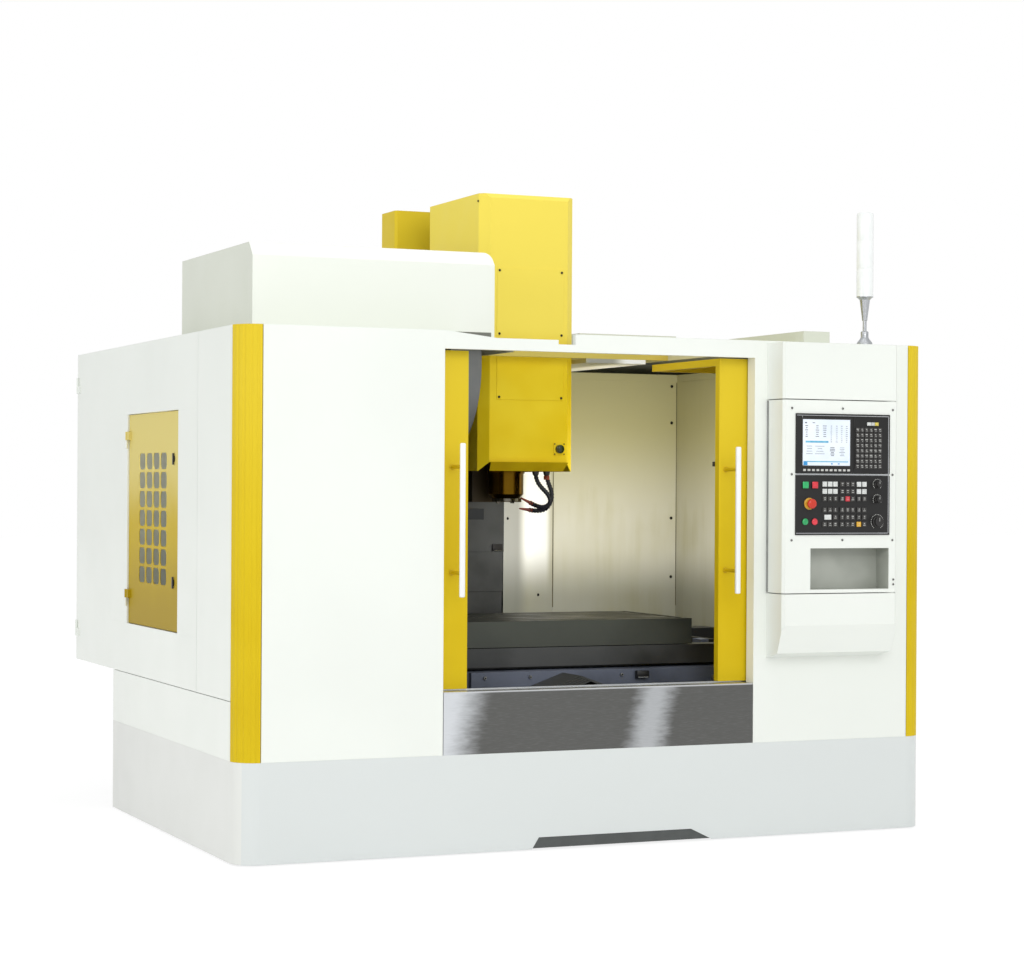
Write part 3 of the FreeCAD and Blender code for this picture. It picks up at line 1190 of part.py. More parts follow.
def make_buttons():
    low = "dims.operator_low"
    for name, column, form in BUTTONS:
        centre = (button_column[column], f"{low} + dims.{form}_button_height")
        face = (f"{panel_y} - dims.button_proud", f"{panel_y} - dims.button_travel - 1")
        if form == "square":
            half = "dims.button_size / 2"
            cap = block(name + "_cap", (f"{centre[0]} - {half}", f"{centre[0]} + {half}"),
                        face, (f"{centre[1]} - {half}", f"{centre[1]} + {half}"))
        else:
            cap = rod(name + "_cap", "y", "dims.button_radius", *face, centre)
        stem = rod(name + "_stem", "y", "dims.button_radius * 2 / 3", face[1],
                   f"{panel_y} + dims.button_depth", centre)
        node(name, join(name, cap, stem))
    centre = (f"{unit_x} + dims.stop_across", f"{low} + dims.stop_height")
    face = f"{panel_y} - dims.stop_proud"
    node("emergency_stop", turned("emergency_stop", "y", [
        ("0", "0"),
        ("dims.stop_radius * 0.7", "0"),
        ("dims.stop_radius", "dims.stop_head * 0.4"),
        ("dims.stop_radius", "dims.stop_head"),
        ("dims.stop_stem_radius", "dims.stop_head"),
        ("dims.stop_stem_radius", "dims.stop_proud + dims.button_depth"),
        ("0", "dims.stop_proud + dims.button_depth"),
    ], centre[0], face, centre[1]))
    for name, height, radius in KNOBS:
        centre = (f"{unit_x} + dims.knob_across", f"{low} + {height}")
        shoulder = f"{panel_y} - dims.knob_skirt"
        grip = many_sided(name + "_grip", "y", "knob_sides", f"{radius} * 0.84",
                          f"{panel_y} - dims.knob_proud", shoulder, centre)
        skirt = many_sided(name + "_skirt", "y", "knob_sides", radius, shoulder,
                           f"{panel_y} - 1", centre)
        stem = rod(name + "_stem", "y", "dims.knob_stem_radius", f"{panel_y} - 1",
                   f"{panel_y} + dims.button_depth", centre)
        node(name, join(name, grip, skirt, stem))


def make_signal_tower():
    lamp_low = "dims.tower_lamp_low"
    lamp_top = f"{lamp_low} + dims.tower_lamp_length"
    node("signal_tower", turned("signal_tower", "z", [
        ("0", "0"),
        ("dims.tower_flange_radius", "0"),
        ("dims.tower_flange_radius", "dims.tower_flange"),
        ("dims.tower_collar_radius", "dims.tower_flange * 2"),
        ("dims.tower_collar_radius", "dims.tower_collar_top"),
        ("dims.tower_neck_radius", "dims.tower_collar_top"),
        ("dims.tower_neck_radius", "dims.tower_neck_top"),
        ("dims.tower_taper_low_radius", "dims.tower_neck_top"),
        ("dims.tower_taper_high_radius", lamp_low),
        ("dims.tower_lamp_radius", lamp_low),
        ("dims.tower_lamp_radius", lamp_top),
        ("0", lamp_top),
    ], f"{half_width} - dims.tower_inset", front_y("dims.tower_depth"), "dims.front_height"))


# ---- working chamber ----

def make_chamber():
    top = f"{roof_low} - dims.chamber_drop"
    bottom = "dims.pan_outer_height + dims.sheet"
    back = front_y("dims.chamber_back")
    inner = front_y("dims.splay_front")
    sheet = "dims.sheet"
    rear = block("chamber_rear", ("dims.splay_outer", "dims.chamber_half"),
                 (back, f"{back} + {sheet}"), (bottom, top))
    splay = prism("chamber_splay", "XY", [
        ("dims.splay_inner", inner),
        ("dims.splay_outer", back),
        ("dims.splay_outer", f"{back} + {sheet}"),
        ("dims.splay_inner", f"{inner} + {sheet}"),
    ], bottom, top)
    case_x = (f"-dims.arm_across - dims.case_half - dims.wall_passage", "0")
    passage = block("bracket_passage", case_x,
                    (f"{inner} - 1", f"{back} + dims.sheet + 1"),
                    ("dims.case_low - dims.wall_passage",
                     "dims.case_low + dims.case_height + dims.wall_passage"))
    splay_left = cut("chamber_splay_left", mirrored("chamber_splay_mirror", splay), passage)
    front = front_y("dims.chamber_front")
    bevel = "dims.chamber_round"
    side = prism("chamber_side", "YZ", [
        (front, bottom),
        (back, bottom),
        (back, top),
        (f"{front} + {bevel}", top),
        (f"{front} + {bevel} * 0.29", f"{top} - {bevel} * 0.29"),
        (front, f"{top} - {bevel}"),
    ], "dims.chamber_half - dims.sheet", "dims.chamber_half")
    # the lining under the roof, right of the head
    lining = block("chamber_lining",
                   ("dims.cover_half + dims.head_passage", "dims.ceiling_right"),
                   (front_y("dims.crane_depth"), inner),
                   (f"{roof_low} - dims.ceiling_drop", roof_low))
    node("chamber_walls", group("chamber_walls", rear, mirrored("chamber_rear_left", rear),
                                splay, splay_left, side,
                                mirrored("chamber_side_left", side), lining))


def make_chip_pans():
    y = (front_y("dims.apron_depth"), front_y("dims.chamber_back"))
    right = prism("pan_right", "XZ", [
        ("dims.bed_half", "dims.pan_inner_height"),
        ("dims.chamber_half", "dims.pan_outer_height"),
        ("dims.chamber_half", "dims.pan_outer_height + dims.sheet"),
        ("dims.bed_half", "dims.pan_inner_height + dims.sheet"),
    ], *y)
    front = block("pan_front", ("-dims.bed_half", "dims.bed_half"),
                  (y[0], front_y("dims.bed_front")),
                  ("dims.pan_inner_height", "dims.pan_inner_height + dims.sheet"))
    node("chip_pans", group("chip_pans", right, mirrored("pan_left", right), front))


# ---- bed, column and drives ----

y_guide_z = ("dims.bed_top + dims.guide_pad_height",
             "dims.bed_top + dims.guide_pad_height + dims.guide_height")
z_screw_y = front_y("dims.column_front - dims.z_screw_gap")


def make_machine_bed():
    base = block("bed_base", ("-dims.bed_half", "dims.bed_half"),
                 (front_y("dims.bed_front"), front_y("dims.bed_back")),
                 ("dims.foot_height", "dims.bed_top"))
    seat = block("column_seat", ("-dims.pedestal_half", "dims.pedestal_half"),
                 (front_y("dims.pedestal_front"), front_y("dims.bed_back")),
                 ("dims.bed_top", "dims.pedestal_top"))
    solids = [base, seat]
    for name, sign in (("left", "-1"), ("right", "1")):
        middle = f"{sign} * dims.guide_across"
        solids.append(block(f"guide_pad_{name}",
                            (f"{middle} - dims.guide_pad / 2", f"{middle} + dims.guide_pad / 2"),
                            (front_y("dims.guide_front"), front_y("dims.guide_back")),
                            ("dims.bed_top", y_guide_z[0])))
    tools = []
    for name, start in (("front", "dims.guide_front"),
                        ("back", "dims.guide_back - dims.bearing_length")):
        solids.append(block(f"y_bearing_{name}", ("-dims.bearing_half", "dims.bearing_half"),
                            (front_y(start), front_y(f"{start} + dims.bearing_length")),
                            ("dims.bed_top", "dims.y_screw_height + dims.bearing_half")))
    tools.append(rod("y_screw_bore", "y", "dims.screw_radius + dims.screw_clearance",
                     front_y("dims.guide_front - 1"), front_y("dims.guide_back + 1"),
                     (MIDDLE, "dims.y_screw_height")))
    for side in (-1, 1):
        for i in range(3):
            start = (f"dims.bed_front + dims.bed_pocket_wall"
                     f" + {i} * (dims.bed_pocket_length + dims.bed_pocket_rib)")
            x = ((f"dims.bed_half - dims.bed_pocket", "dims.bed_half + 1") if side > 0
                 else ("-dims.bed_half - 1", "-dims.bed_half + dims.bed_pocket"))
            tools.append(block(f"bed_pocket_{side + 1}_{i}", x,
                               (front_y(start), front_y(f"{start} + dims.bed_pocket_length")),
                               ("dims.foot_height + dims.bed_pocket_wall",
                                "dims.bed_top - 2 * dims.bed_pocket_wall")))
    node("machine_bed", cut("machine_bed", join("bed_solid", *solids), *tools))


def make_levelling_feet():
    feet = []
    for side in ("-1", "1"):
        for i in range(int(size("foot_rows"))):
            centre = (f"{side} * dims.foot_across",
                      front_y(f"dims.foot_first + {i} * dims.foot_pitch"))
            pad = rod(f"foot_pad_{side}_{i}", "z", "dims.foot_radius", "0", "dims.foot_pad",
                      centre)
            screw = rod(f"foot_screw_{side}_{i}", "z", "dims.foot_screw_radius",
                        "dims.foot_pad", "dims.foot_height", centre)
            feet.append(join(f"foot_{side}_{i}", pad, screw))
    node("levelling_feet", group("levelling_feet", *feet))


def make_column():
    y = (front_y("dims.column_front"), front_y("dims.bed_back"))

    def casting(name, wall, low, high, y_pair):
        return prism(name, "XZ", [
            (f"-dims.column_base_half + {wall}", low),
            (f"dims.column_base_half - {wall}", low),
            (f"dims.column_top_half - {wall}", high),
            (f"-dims.column_top_half + {wall}", high),
        ], *y_pair)

    outer = casting("column_outer", "0", "dims.pedestal_top", "dims.column_top", y)
    inner = casting("column_inner", "dims.column_wall",
                    "dims.pedestal_top + dims.column_wall",
                    "dims.column_top + 1",
                    (f"{y[0]} + dims.column_wall", f"{y[1]} - dims.column_wall"))
    bearings = []
    for name, low in (("low", "dims.z_screw_low"),
                      ("high", "dims.z_guide_high")):
        bearings.append(block(f"z_bearing_{name}",
                              ("-dims.bearing_half", "dims.bearing_half"),
                              (f"{z_screw_y} - dims.z_screw_gap / 1.2", y[0]),
                              (low, f"{low} + dims.bearing_length")))
    shelf = block("motor_shelf", ("-dims.motor_side", "dims.motor_side"),
                  (f"{z_screw_y} - dims.motor_side / 2", f"{y[0]} + dims.column_wall"),
                  ("dims.column_top", "dims.column_top + dims.motor_flange"))
    bore = rod("z_screw_bore", "z", "dims.screw_radius + dims.screw_clearance",
               "dims.z_screw_low - 1", "dims.column_top + dims.motor_flange + 1",
               (MIDDLE, z_screw_y))
    body = cut("column_casting", outer, inner)
    node("column", cut("column", join("column_solid", body, *bearings, shelf), bore))


def make_guideways():
    rails = []
    for name, sign in (("left", "-1"), ("right", "1")):
        middle = f"{sign} * dims.guide_across"
        rails.append(block(f"y_rail_{name}",
                           (f"{middle} - dims.guide_width / 2",
                            f"{middle} + dims.guide_width / 2"),
                           (front_y("dims.guide_front"), front_y("dims.guide_back")),
                           y_guide_z))
        middle = f"{sign} * dims.z_guide_across"
        rails.append(block(f"z_rail_{name}",
                           (f"{middle} - dims.guide_width / 2",
                            f"{middle} + dims.guide_width / 2"),
                           (front_y("dims.column_front - dims.guide_height"),
                            front_y("dims.column_front")),
                           ("dims.z_guide_low", "dims.z_guide_high")))
    node("guideways", group("guideways", *rails))


# A servo motor: a square body with a smaller encoder cap behind it.
def servo(name, axis, start, direction, centre):
    body_end = f"{start} + {direction} * dims.motor_length"
    cap_end = f"{body_end} + {direction} * dims.encoder_length"

    def part(suffix, side, low, high):
        pairs = [(f"{c} - {side} / 2", f"{c} + {side} / 2") for c in centre]
        pairs.insert("xyz".index(axis), (low, high) if direction > 0 else (high, low))
        return block(name + suffix, *pairs)

    return join(name, part("_body", "dims.motor_side", start, body_end),
                part("_cap", "dims.encoder_side", body_end, cap_end))


def make_servo_motors():
    y_start = front_y("dims.bed_front")
    y_centre = (MIDDLE, "dims.y_screw_height")
    half = "dims.motor_side / 2"
    y_motor = join("y_motor",
                   block("y_motor_body", (f"-{half}", half),
                         (front_y("dims.apron_depth + dims.flange"), y_start),
                         (f"{y_centre[1]} - {half}", f"{y_centre[1]} + {half}")),
                   block("y_motor_flange", (f"-{half}", half),
                         (y_start, front_y("dims.guide_front")),
                         ("dims.bed_top", f"{y_centre[1]} + {half}")))
    z_motor = servo("z_motor", "z", "dims.column_top + dims.motor_flange", 1,
                    (MIDDLE, z_screw_y))
    node("servo_motors", group("servo_motors", y_motor, z_motor))


def make_ball_screws():
    node("y_ball_screw", rod("y_ball_screw", "y", "dims.screw_radius",
                             front_y("dims.guide_front + dims.screw_clearance"),
                             front_y("dims.guide_back"),
                             (MIDDLE, "dims.y_screw_height")))
    node("z_ball_screw", rod("z_ball_screw", "z", "dims.screw_radius", "dims.z_screw_low",
                             "dims.column_top + dims.motor_flange - dims.screw_clearance",
                             (MIDDLE, z_screw_y)))
    node("x_ball_screw", rod("x_ball_screw", "x", "dims.screw_radius",
                             "-dims.saddle_half", "dims.saddle_half",
                             (front_y("(dims.x_guide_front + dims.x_guide_back) / 2"),
                              "dims.x_screw_height")))


def chamfered_cover(name, half, front, back, low, high, chamfer):
    plan = prism(name + "_plan", "XY", [
        (f"-({half})", back),
        (f"-({half})", f"{front} + {chamfer}"),
        (f"-({half}) + {chamfer}", front),
        (f"({half}) - {chamfer}", front),
        (half, f"{front} + {chamfer}"),
        (half, back),
    ], low, high)
    return plan


def make_z_drive_cover():
    front = front_y("dims.drive_cover_front")
    back = front_y("dims.column_front + dims.column_wall + 2 * dims.sheet")
    outer = chamfered_cover("drive_cover_outer", "dims.drive_cover_half", front, back,
                            "dims.drive_cover_low", "dims.drive_cover_top",
                            "dims.drive_cover_chamfer")
    inner = chamfered_cover("drive_cover_inner", "dims.drive_cover_half - dims.sheet",
                            f"{front} + dims.sheet", f"{back} - dims.sheet",
                            "dims.drive_cover_low - 1",
                            "dims.drive_cover_top - dims.sheet",
                            "dims.drive_cover_chamfer - dims.sheet / 2")
    # its back stops above the column
    notch = block("drive_cover_notch",
                  ("-dims.drive_cover_half + dims.sheet", "dims.drive_cover_half - dims.sheet"),
                  (f"{back} - dims.sheet - 1", f"{back} + 1"),
                  ("dims.drive_cover_low - 1", "dims.column_top + dims.rest_gap"))
    solids = [cut("drive_cover_shell", outer, inner, notch)]
    y = front_y("dims.column_front")
    inner_x = "dims.column_top_half - dims.column_wall"
    for side, x in (("left", ("-dims.drive_cover_half + dims.sheet", f"-({inner_x})")),
                    ("right", (inner_x, "dims.drive_cover_half - dims.sheet"))):
        solids.append(block(f"drive_cover_bracket_{side}", x, (y, f"{y} + dims.column_wall"),
                            ("dims.column_top", "dims.column_top + dims.flange")))
    node("z_drive_cover", join("z_drive_cover", *solids))


# ---- saddle and table ----

x_screw_y = front_y("(dims.x_guide_front + dims.x_guide_back) / 2")


# A guide block that straddles a rail. The rail runs along the given axis.
def guide_block(name, axis, rail_middle, low, z, rail_width, rail_top, width):
    gap = "dims.guide_clearance"
    across = (f"{rail_middle} - {width} / 2", f"{rail_middle} + {width} / 2")
    groove = (f"{rail_middle} - {rail_width} / 2 - {gap}",
              f"{rail_middle} + {rail_width} / 2 + {gap}")
    along = (low, f"{low} + dims.block_length")
    longer = (f"{low} - 1", f"{low} + dims.block_length + 1")
    sides = (across, along) if axis == "y" else (along, across)
    cuts = (groove, longer) if axis == "y" else (longer, groove)
    return cut(name, block(name + "_body", *sides, z),
               block(name + "_groove", *cuts, (f"{z[0]} - 1", f"{rail_top} + {gap}")))


def make_saddle():
    front = front_y("dims.saddle_front")
    back = front_y("dims.saddle_back")
    casting = prism("saddle_casting", "XZ", [
        ("-dims.saddle_half", "dims.saddle_low + dims.saddle_waist"),
        ("-dims.guide_across - dims.guide_pad", "dims.saddle_low"),
        ("dims.guide_across + dims.guide_pad", "dims.saddle_low"),
        ("dims.saddle_half", "dims.saddle_low + dims.saddle_waist"),
        ("dims.saddle_half", "dims.saddle_top"),
        ("-dims.saddle_half", "dims.saddle_top"),
    ], front, back)
    plate = block("saddle_face_plate", ("-dims.face_plate_half", "dims.face_plate_half"),
                  (f"{front} - dims.face_plate", front),
                  ("dims.saddle_low", "dims.saddle_top"))
    solids = [casting, plate]
    for side in ("-1", "1"):
        for end, start in (("front", "dims.saddle_front"),
                           ("back", "dims.saddle_back - dims.block_length")):
            solids.append(guide_block(
                f"saddle_block_{side}_{end}", "y", f"{side} * dims.guide_across",
                front_y(start), (f"{y_guide_z[0]} + dims.guide_clearance * 5",
                                 "dims.saddle_low"),
                "dims.guide_width", y_guide_z[1], "dims.block_width"))
    middle = front_y("(dims.saddle_front + dims.saddle_back) / 2")
    solids.append(block("y_nut", ("-dims.bearing_half", "dims.bearing_half"),
                        (f"{middle} - dims.nut_half", f"{middle} + dims.nut_half"),
                        ("dims.bed_top + dims.guide_pad_height / 3", "dims.saddle_low")))
    for side, x in (("left", ("-dims.saddle_half", "-dims.saddle_half + dims.bearing_length")),
                    ("right", ("dims.saddle_half - dims.bearing_length", "dims.saddle_half"))):
        solids.append(block(f"x_bearing_{side}", x,
                            (f"{x_screw_y} - dims.bearing_half", f"{x_screw_y} + dims.bearing_half"),
                            ("dims.saddle_top", "dims.table_low - dims.way_gap")))
    tools = [
        rod("y_nut_bore", "y", "dims.screw_radius + dims.nut_clearance",
            f"{middle} - dims.nut_half - 1", f"{middle} + dims.nut_half + 1",
            (MIDDLE, "dims.y_screw_height")),
        rod("x_bearing_bore", "x", "dims.screw_radius + dims.screw_clearance",
            "-dims.saddle_half - 1", "dims.saddle_half + 1",
            (x_screw_y, "dims.x_screw_height")),
    ]
    casting = cut("saddle_body", join("saddle_solid", *solids), *tools)
    rails = [block(f"x_rail_{name}", ("-dims.saddle_half", "dims.saddle_half"),
                   (front_y(f"dims.x_guide_{name} - dims.x_guide_width / 2"),
                    front_y(f"dims.x_guide_{name} + dims.x_guide_width / 2")),
                   ("dims.saddle_top", "dims.saddle_top + dims.x_guide_height"))
             for name in ("front", "back")]
    node("saddle", group("saddle", casting, *rails))


def gable(name, lift, low, high):
    ridge = f"dims.gable_ridge + {lift}"
    eaves = f"dims.gable_ridge - dims.gable_drop + {lift}"
    half = f"dims.gable_half + {lift}"
    foot = "dims.bed_top"
    sheet = "dims.sheet"
    return prism(name, "XZ", [
        (f"-({half})", foot),
        (f"-({half}) + {sheet}", foot),
        (f"-({half}) + {sheet}", f"{eaves} - {sheet}"),
        (MIDDLE, f"{ridge} - {sheet}"),
        (f"{half} - {sheet}", f"{eaves} - {sheet}"),
        (f"{half} - {sheet}", foot),
        (half, foot),
        (half, eaves),
        (MIDDLE, ridge),
        (f"-({half})", eaves),
    ], low, high)


# Each nested cover lies one sheet and one gap outside the one before it.
def nest(step):
    return f"{step} * (dims.sheet + dims.cover_gap)"


Y_COVERS = ("y_way_cover_front", "y_way_cover_middle", "y_way_cover_rear")


# Where the covers' front edges are with the saddle at rest: they close up together
# when the saddle is at the front end of its travel.
def gable_start(step):
    closed = "dims.saddle_front - dims.face_plate - dims.saddle_forward - dims.gable_length"
    return front_y(f"{closed} + dims.saddle_forward * {step} / {len(Y_COVERS) + 1}")


def make_way_covers():
    start = gable_start(0)
    y_fixed = gable("y_cover_fixed", "0", start,
                    f"{start} + dims.gable_length - dims.stop_gap")
    for step, name in enumerate(Y_COVERS, 1):
        low = gable_start(step)
        lift = nest(step)
        body = gable(name + "_gable", lift, low,
                     f"{low} + dims.gable_length - dims.stop_gap")
        trim = block(name + "_trim", ("-dims.gable_half * 2", "dims.gable_half * 2"),
                     (f"{low} - 1", f"{low} + dims.gable_length + 1"),
                     ("0", "dims.saddle_low + dims.flange"))
        node(name, cut(name, body, trim))
    last = len(Y_COVERS) + 1
    low = gable_start(last)
    body = gable("y_cover_saddle_gable", nest(last), low, f"{low} + dims.gable_length")
    trim = block("y_cover_saddle_trim", ("-dims.gable_half * 2", "dims.gable_half * 2"),
                 (f"{low} - 1", f"{low} + dims.gable_length + 1"),
                 ("0", "dims.saddle_low + dims.flange"))
    y_saddle = cut("y_cover_saddle", body, trim)
    # channel covers along both long edges of the saddle, under the table
    top = "dims.table_low - dims.way_gap"
    front = front_y("dims.table_front")
    channel = prism("x_cover_front", "YZ", [
        (front, "dims.apron_low"),
        (f"{front} + dims.sheet", "dims.apron_low"),
        (f"{front} + dims.sheet", f"{top} - dims.sheet"),
        (f"{front} + dims.apron_width - dims.sheet", f"{top} - dims.sheet"),
        (f"{front} + dims.apron_width - dims.sheet", "dims.saddle_top"),
        (f"{front} + dims.apron_width", "dims.saddle_top"),
        (f"{front} + dims.apron_width", top),
        (front, top),
    ], "-dims.saddle_half", "dims.saddle_half")
    rear = front_y("dims.table_front + dims.table_width")
    channel_rear = prism("x_cover_rear", "YZ", [
        (rear, "dims.apron_low"),
        (rear, top),
        (f"{rear} - dims.apron_width", top),
        (f"{rear} - dims.apron_width", "dims.saddle_top"),
        (f"{rear} - dims.apron_width + dims.sheet", "dims.saddle_top"),
        (f"{rear} - dims.apron_width + dims.sheet", f"{top} - dims.sheet"),
        (f"{rear} - dims.sheet", f"{top} - dims.sheet"),
        (f"{rear} - dims.sheet", "dims.apron_low"),
    ], "-dims.saddle_half", "dims.saddle_half")
    node("saddle_way_covers", group("saddle_way_covers", y_saddle, channel, channel_rear))

    # upright shields in front of the Z guideways
    def shield(name, step, low, high):
        inset = nest(step)
        half = f"dims.shield_half - {inset}"
        front = front_y(f"dims.shield_front + {inset}")
        return prism(name, "XY", [
            (f"-({half})", front),
            (half, front),
            (half, front_y("dims.shield_back")),
            (f"{half} - dims.sheet", front_y("dims.shield_back")),
            (f"{half} - dims.sheet", f"{front} + dims.sheet"),
            (f"-({half}) + dims.sheet", f"{front} + dims.sheet"),
            (f"-({half}) + dims.sheet", front_y("dims.shield_back")),
            (f"-({half})", front_y("dims.shield_back")),
        ], low, high)

    node("z_way_cover_upper", shield("z_way_cover_upper", "0", "dims.shield_low",
                                     "dims.head_low + dims.shield_notch"))
    node("z_way_cover_middle", shield("z_way_cover_middle", "1", "dims.middle_shield_low",
                                      "dims.middle_shield_low + dims.middle_shield_height"))
    z_fixed = shield("z_cover_fixed", "2", "dims.pedestal_top", "dims.lower_shield_top")
    node("fixed_way_covers", group("fixed_way_covers", y_fixed, z_fixed))


def make_x_drive():
    x = ("dims.saddle_half", "dims.saddle_half + dims.x_drive_length")
    y = front_y("dims.x_drive_front")
    box = block("x_drive_box", x, (y, f"{y} + dims.x_drive_width"),
                ("dims.x_drive_low", "dims.x_drive_top"))
    arm = block("x_drive_arm", (x[0], f"{x[0]} + dims.bearing_length"),
                (f"{x_screw_y} - dims.bearing_half", y),
                ("dims.x_drive_low", "dims.table_low - dims.way_gap"))
    node("x_drive_housing", join("x_drive_housing", box, arm))


def make_table():
    front = front_y("dims.table_front")
    middle = f"{front} + dims.table_width / 2"
    back = f"{front} + dims.table_width"
    top = "dims.table_top"
    count = int(size("slot_count"))
    neck = "dims.slot_width / 2"
    foot = "dims.slot_foot_width / 2"
    neck_low = f"{top} - dims.slot_neck"
    foot_low = f"{neck_low} - dims.slot_foot_height"
    length = ("-dims.table_half", "dims.table_half")
    slab = block("table_slab", length, (front, back), ("dims.table_low", foot_low))
    gutters = []
    for side, x in (("left", ("-dims.table_half + dims.gutter_width",
                              "-dims.table_half + 2 * dims.gutter_width")),
                    ("right", ("dims.table_half - 2 * dims.gutter_width",
                               "dims.table_half - dims.gutter_width"))):
        gutters.append(block(f"gutter_{side}", x,
                             (f"{front} + dims.gutter_width", f"{back} - dims.gutter_width"),
                             (f"{top} - dims.gutter_depth", f"{top} + 1")))
    gutters = group("table_gutters", *gutters)
    slots = [f"{middle} + ({i} - (dims.slot_count - 1) / 2) * dims.slot_pitch"
             for i in range(count)]
    # the ribs between the T-slots stand on the slab and overhang the slots' feet
    ribs = []
    for i in range(count + 1):
        low_foot = front if i == 0 else f"{slots[i - 1]} + {foot}"
        low_neck = front if i == 0 else f"{slots[i - 1]} + {neck}"
        high_foot = back if i == count else f"{slots[i]} - {foot}"
        high_neck = back if i == count else f"{slots[i]} - {neck}"
        outline = [(low_foot, foot_low), (high_foot, foot_low)]
        if i < count:
            outline += [(high_foot, neck_low), (high_neck, neck_low)]
        outline += [(high_neck, top), (low_neck, top)]
        if i > 0:
            outline += [(low_neck, neck_low), (low_foot, neck_low)]
        rib = prism(f"table_rib_{i}", "YZ", outline, *length)
        ribs.append(cut(f"table_rib_{i}_cut", rib, gutters))
    nut = block("x_nut", ("-dims.nut_half", "dims.nut_half"),
                (f"{x_screw_y} - dims.bearing_half", f"{x_screw_y} + dims.bearing_half"),
                ("dims.x_screw_height - dims.bearing_half", "dims.table_low"))
    bore = rod("x_nut_bore", "x", "dims.screw_radius + dims.nut_clearance",
               "-dims.nut_half - 1", "dims.nut_half + 1", (x_screw_y, "dims.x_screw_height"))
    body = cut("table_casting", join("table_solid", slab, nut), bore)
    blocks = []
    for end, start in (("left", "-dims.table_block_across - dims.block_length / 2"),
                       ("right", "dims.table_block_across - dims.block_length / 2")):
        for name in ("front", "back"):
            blocks.append(guide_block(
                f"table_block_{end}_{name}", "x", front_y(f"dims.x_guide_{name}"), start,
                ("dims.saddle_top + dims.guide_clearance * 5", "dims.table_low"),
                "dims.x_guide_width", "dims.saddle_top + dims.x_guide_height",
                "dims.x_block_width"))
    node("table", group("table", body, *ribs, *blocks))


# ---- head ----

def make_headstock():
    back = front_y("dims.head_back")
    # the lower end is stepped, so that it passes in front of the fixed way cover
    notch = front_y("dims.shield_front - dims.shield_gap")
    lower = prism("head_lower", "YZ", [
        (front_y("dims.head_front"), "dims.head_low"),
        (notch, "dims.head_low"),
        (notch, "dims.head_low + dims.shield_notch"),
        (back, "dims.head_low + dims.shield_notch"),
        (back, "dims.head_step"),
        (front_y("dims.head_front"), "dims.head_step"),
    ], "-dims.head_low_half", "dims.head_low_half")
    upper = prism("head_upper", "YZ", [
        (front_y("dims.head_front"), "dims.head_step"),
        (back, "dims.head_step"),
        (back, "dims.head_shoulder"),
        (front_y("dims.head_shoulder_back"), "dims.head_shoulder"),
        (front_y("dims.head_shoulder_back"), "dims.head_top"),
        (front_y("dims.head_front"), "dims.head_top"),
    ], "-dims.head_half", "dims.head_half")
    nose = block("head_nose", ("-dims.nose_half", "dims.nose_half"),
                 (front_y("dims.nose_front"), front_y("dims.head_front")),
                 ("dims.head_step", "dims.head_top"))
    solids = [lower, upper, nose]
    middle = front_y("(dims.head_front + dims.cover_back) / 2")
    for side, x in (("left", ("-dims.cover_half + dims.sheet", "-dims.head_half")),
                    ("right", ("dims.head_half", "dims.cover_half - dims.sheet"))):
        solids.append(block(f"cover_bracket_{side}", x,
                            (middle, f"{middle} + dims.bracket_depth"),
                            ("dims.bracket_low", "dims.bracket_low + dims.bracket_height")))
    rail_front = front_y("dims.column_front - dims.guide_height")
    for side in ("-1", "1"):
        for end, low in (("low", "dims.head_step"),
                         ("high", "dims.head_shoulder - dims.block_length")):
            name = f"head_block_{side}_{end}"
            rail = f"{side} * dims.z_guide_across"
            body = block(name + "_body",
                         (f"{rail} - dims.block_width / 2", f"{rail} + dims.block_width / 2"),
                         (back, front_y("dims.column_front - dims.guide_clearance * 5")),
                         (low, f"{low} + dims.block_length"))
            groove = block(name + "_groove",
                           (f"{rail} - dims.guide_width / 2 - dims.guide_clearance",
                            f"{rail} + dims.guide_width / 2 + dims.guide_clearance"),
                           (f"{rail_front} - dims.guide_clearance",
                            front_y("dims.column_front + 1")),
                           (f"{low} - 1", f"{low} + dims.block_length + 1"))
            solids.append(cut(name, body, groove))
    nut_low = "(dims.head_step + dims.head_shoulder) / 2"
    solids.append(block("z_nut", ("-dims.bearing_half", "dims.bearing_half"),
                        (back, front_y("dims.column_front - dims.guide_clearance * 5")),
                        (nut_low, f"{nut_low} + 2 * dims.nut_half")))
    tools = [
        rod("cartridge_bore", "z", "dims.cartridge_radius", "dims.head_low - 1",
            "dims.cartridge_top", (MIDDLE, MIDDLE)),
        rod("spindle_bore", "z", "dims.spindle_radius + dims.nut_clearance",
            "dims.cartridge_top - 1", "dims.head_top + 1", (MIDDLE, MIDDLE)),
        rod("z_nut_bore", "z", "dims.screw_radius + dims.nut_clearance",
            "dims.head_low - 1", "dims.head_top + 1", (MIDDLE, z_screw_y)),
    ]
    casting = cut("headstock_casting", join("headstock_solid", *solids), *tools)
    top = "dims.head_top"
    motor = turned("spindle_motor", "z", [
        ("0", top),
        ("dims.spindle_motor_radius", top),
        ("dims.spindle_motor_radius", f"{top} + dims.motor_flange"),
        ("dims.spindle_motor_radius * 0.92", f"{top} + dims.motor_flange"),
        ("dims.spindle_motor_radius * 0.92", f"{top} + dims.spindle_motor_length"),
        ("0", f"{top} + dims.spindle_motor_length"),
    ], MIDDLE, MIDDLE, MIDDLE)
    node("headstock", group("headstock", casting, motor))


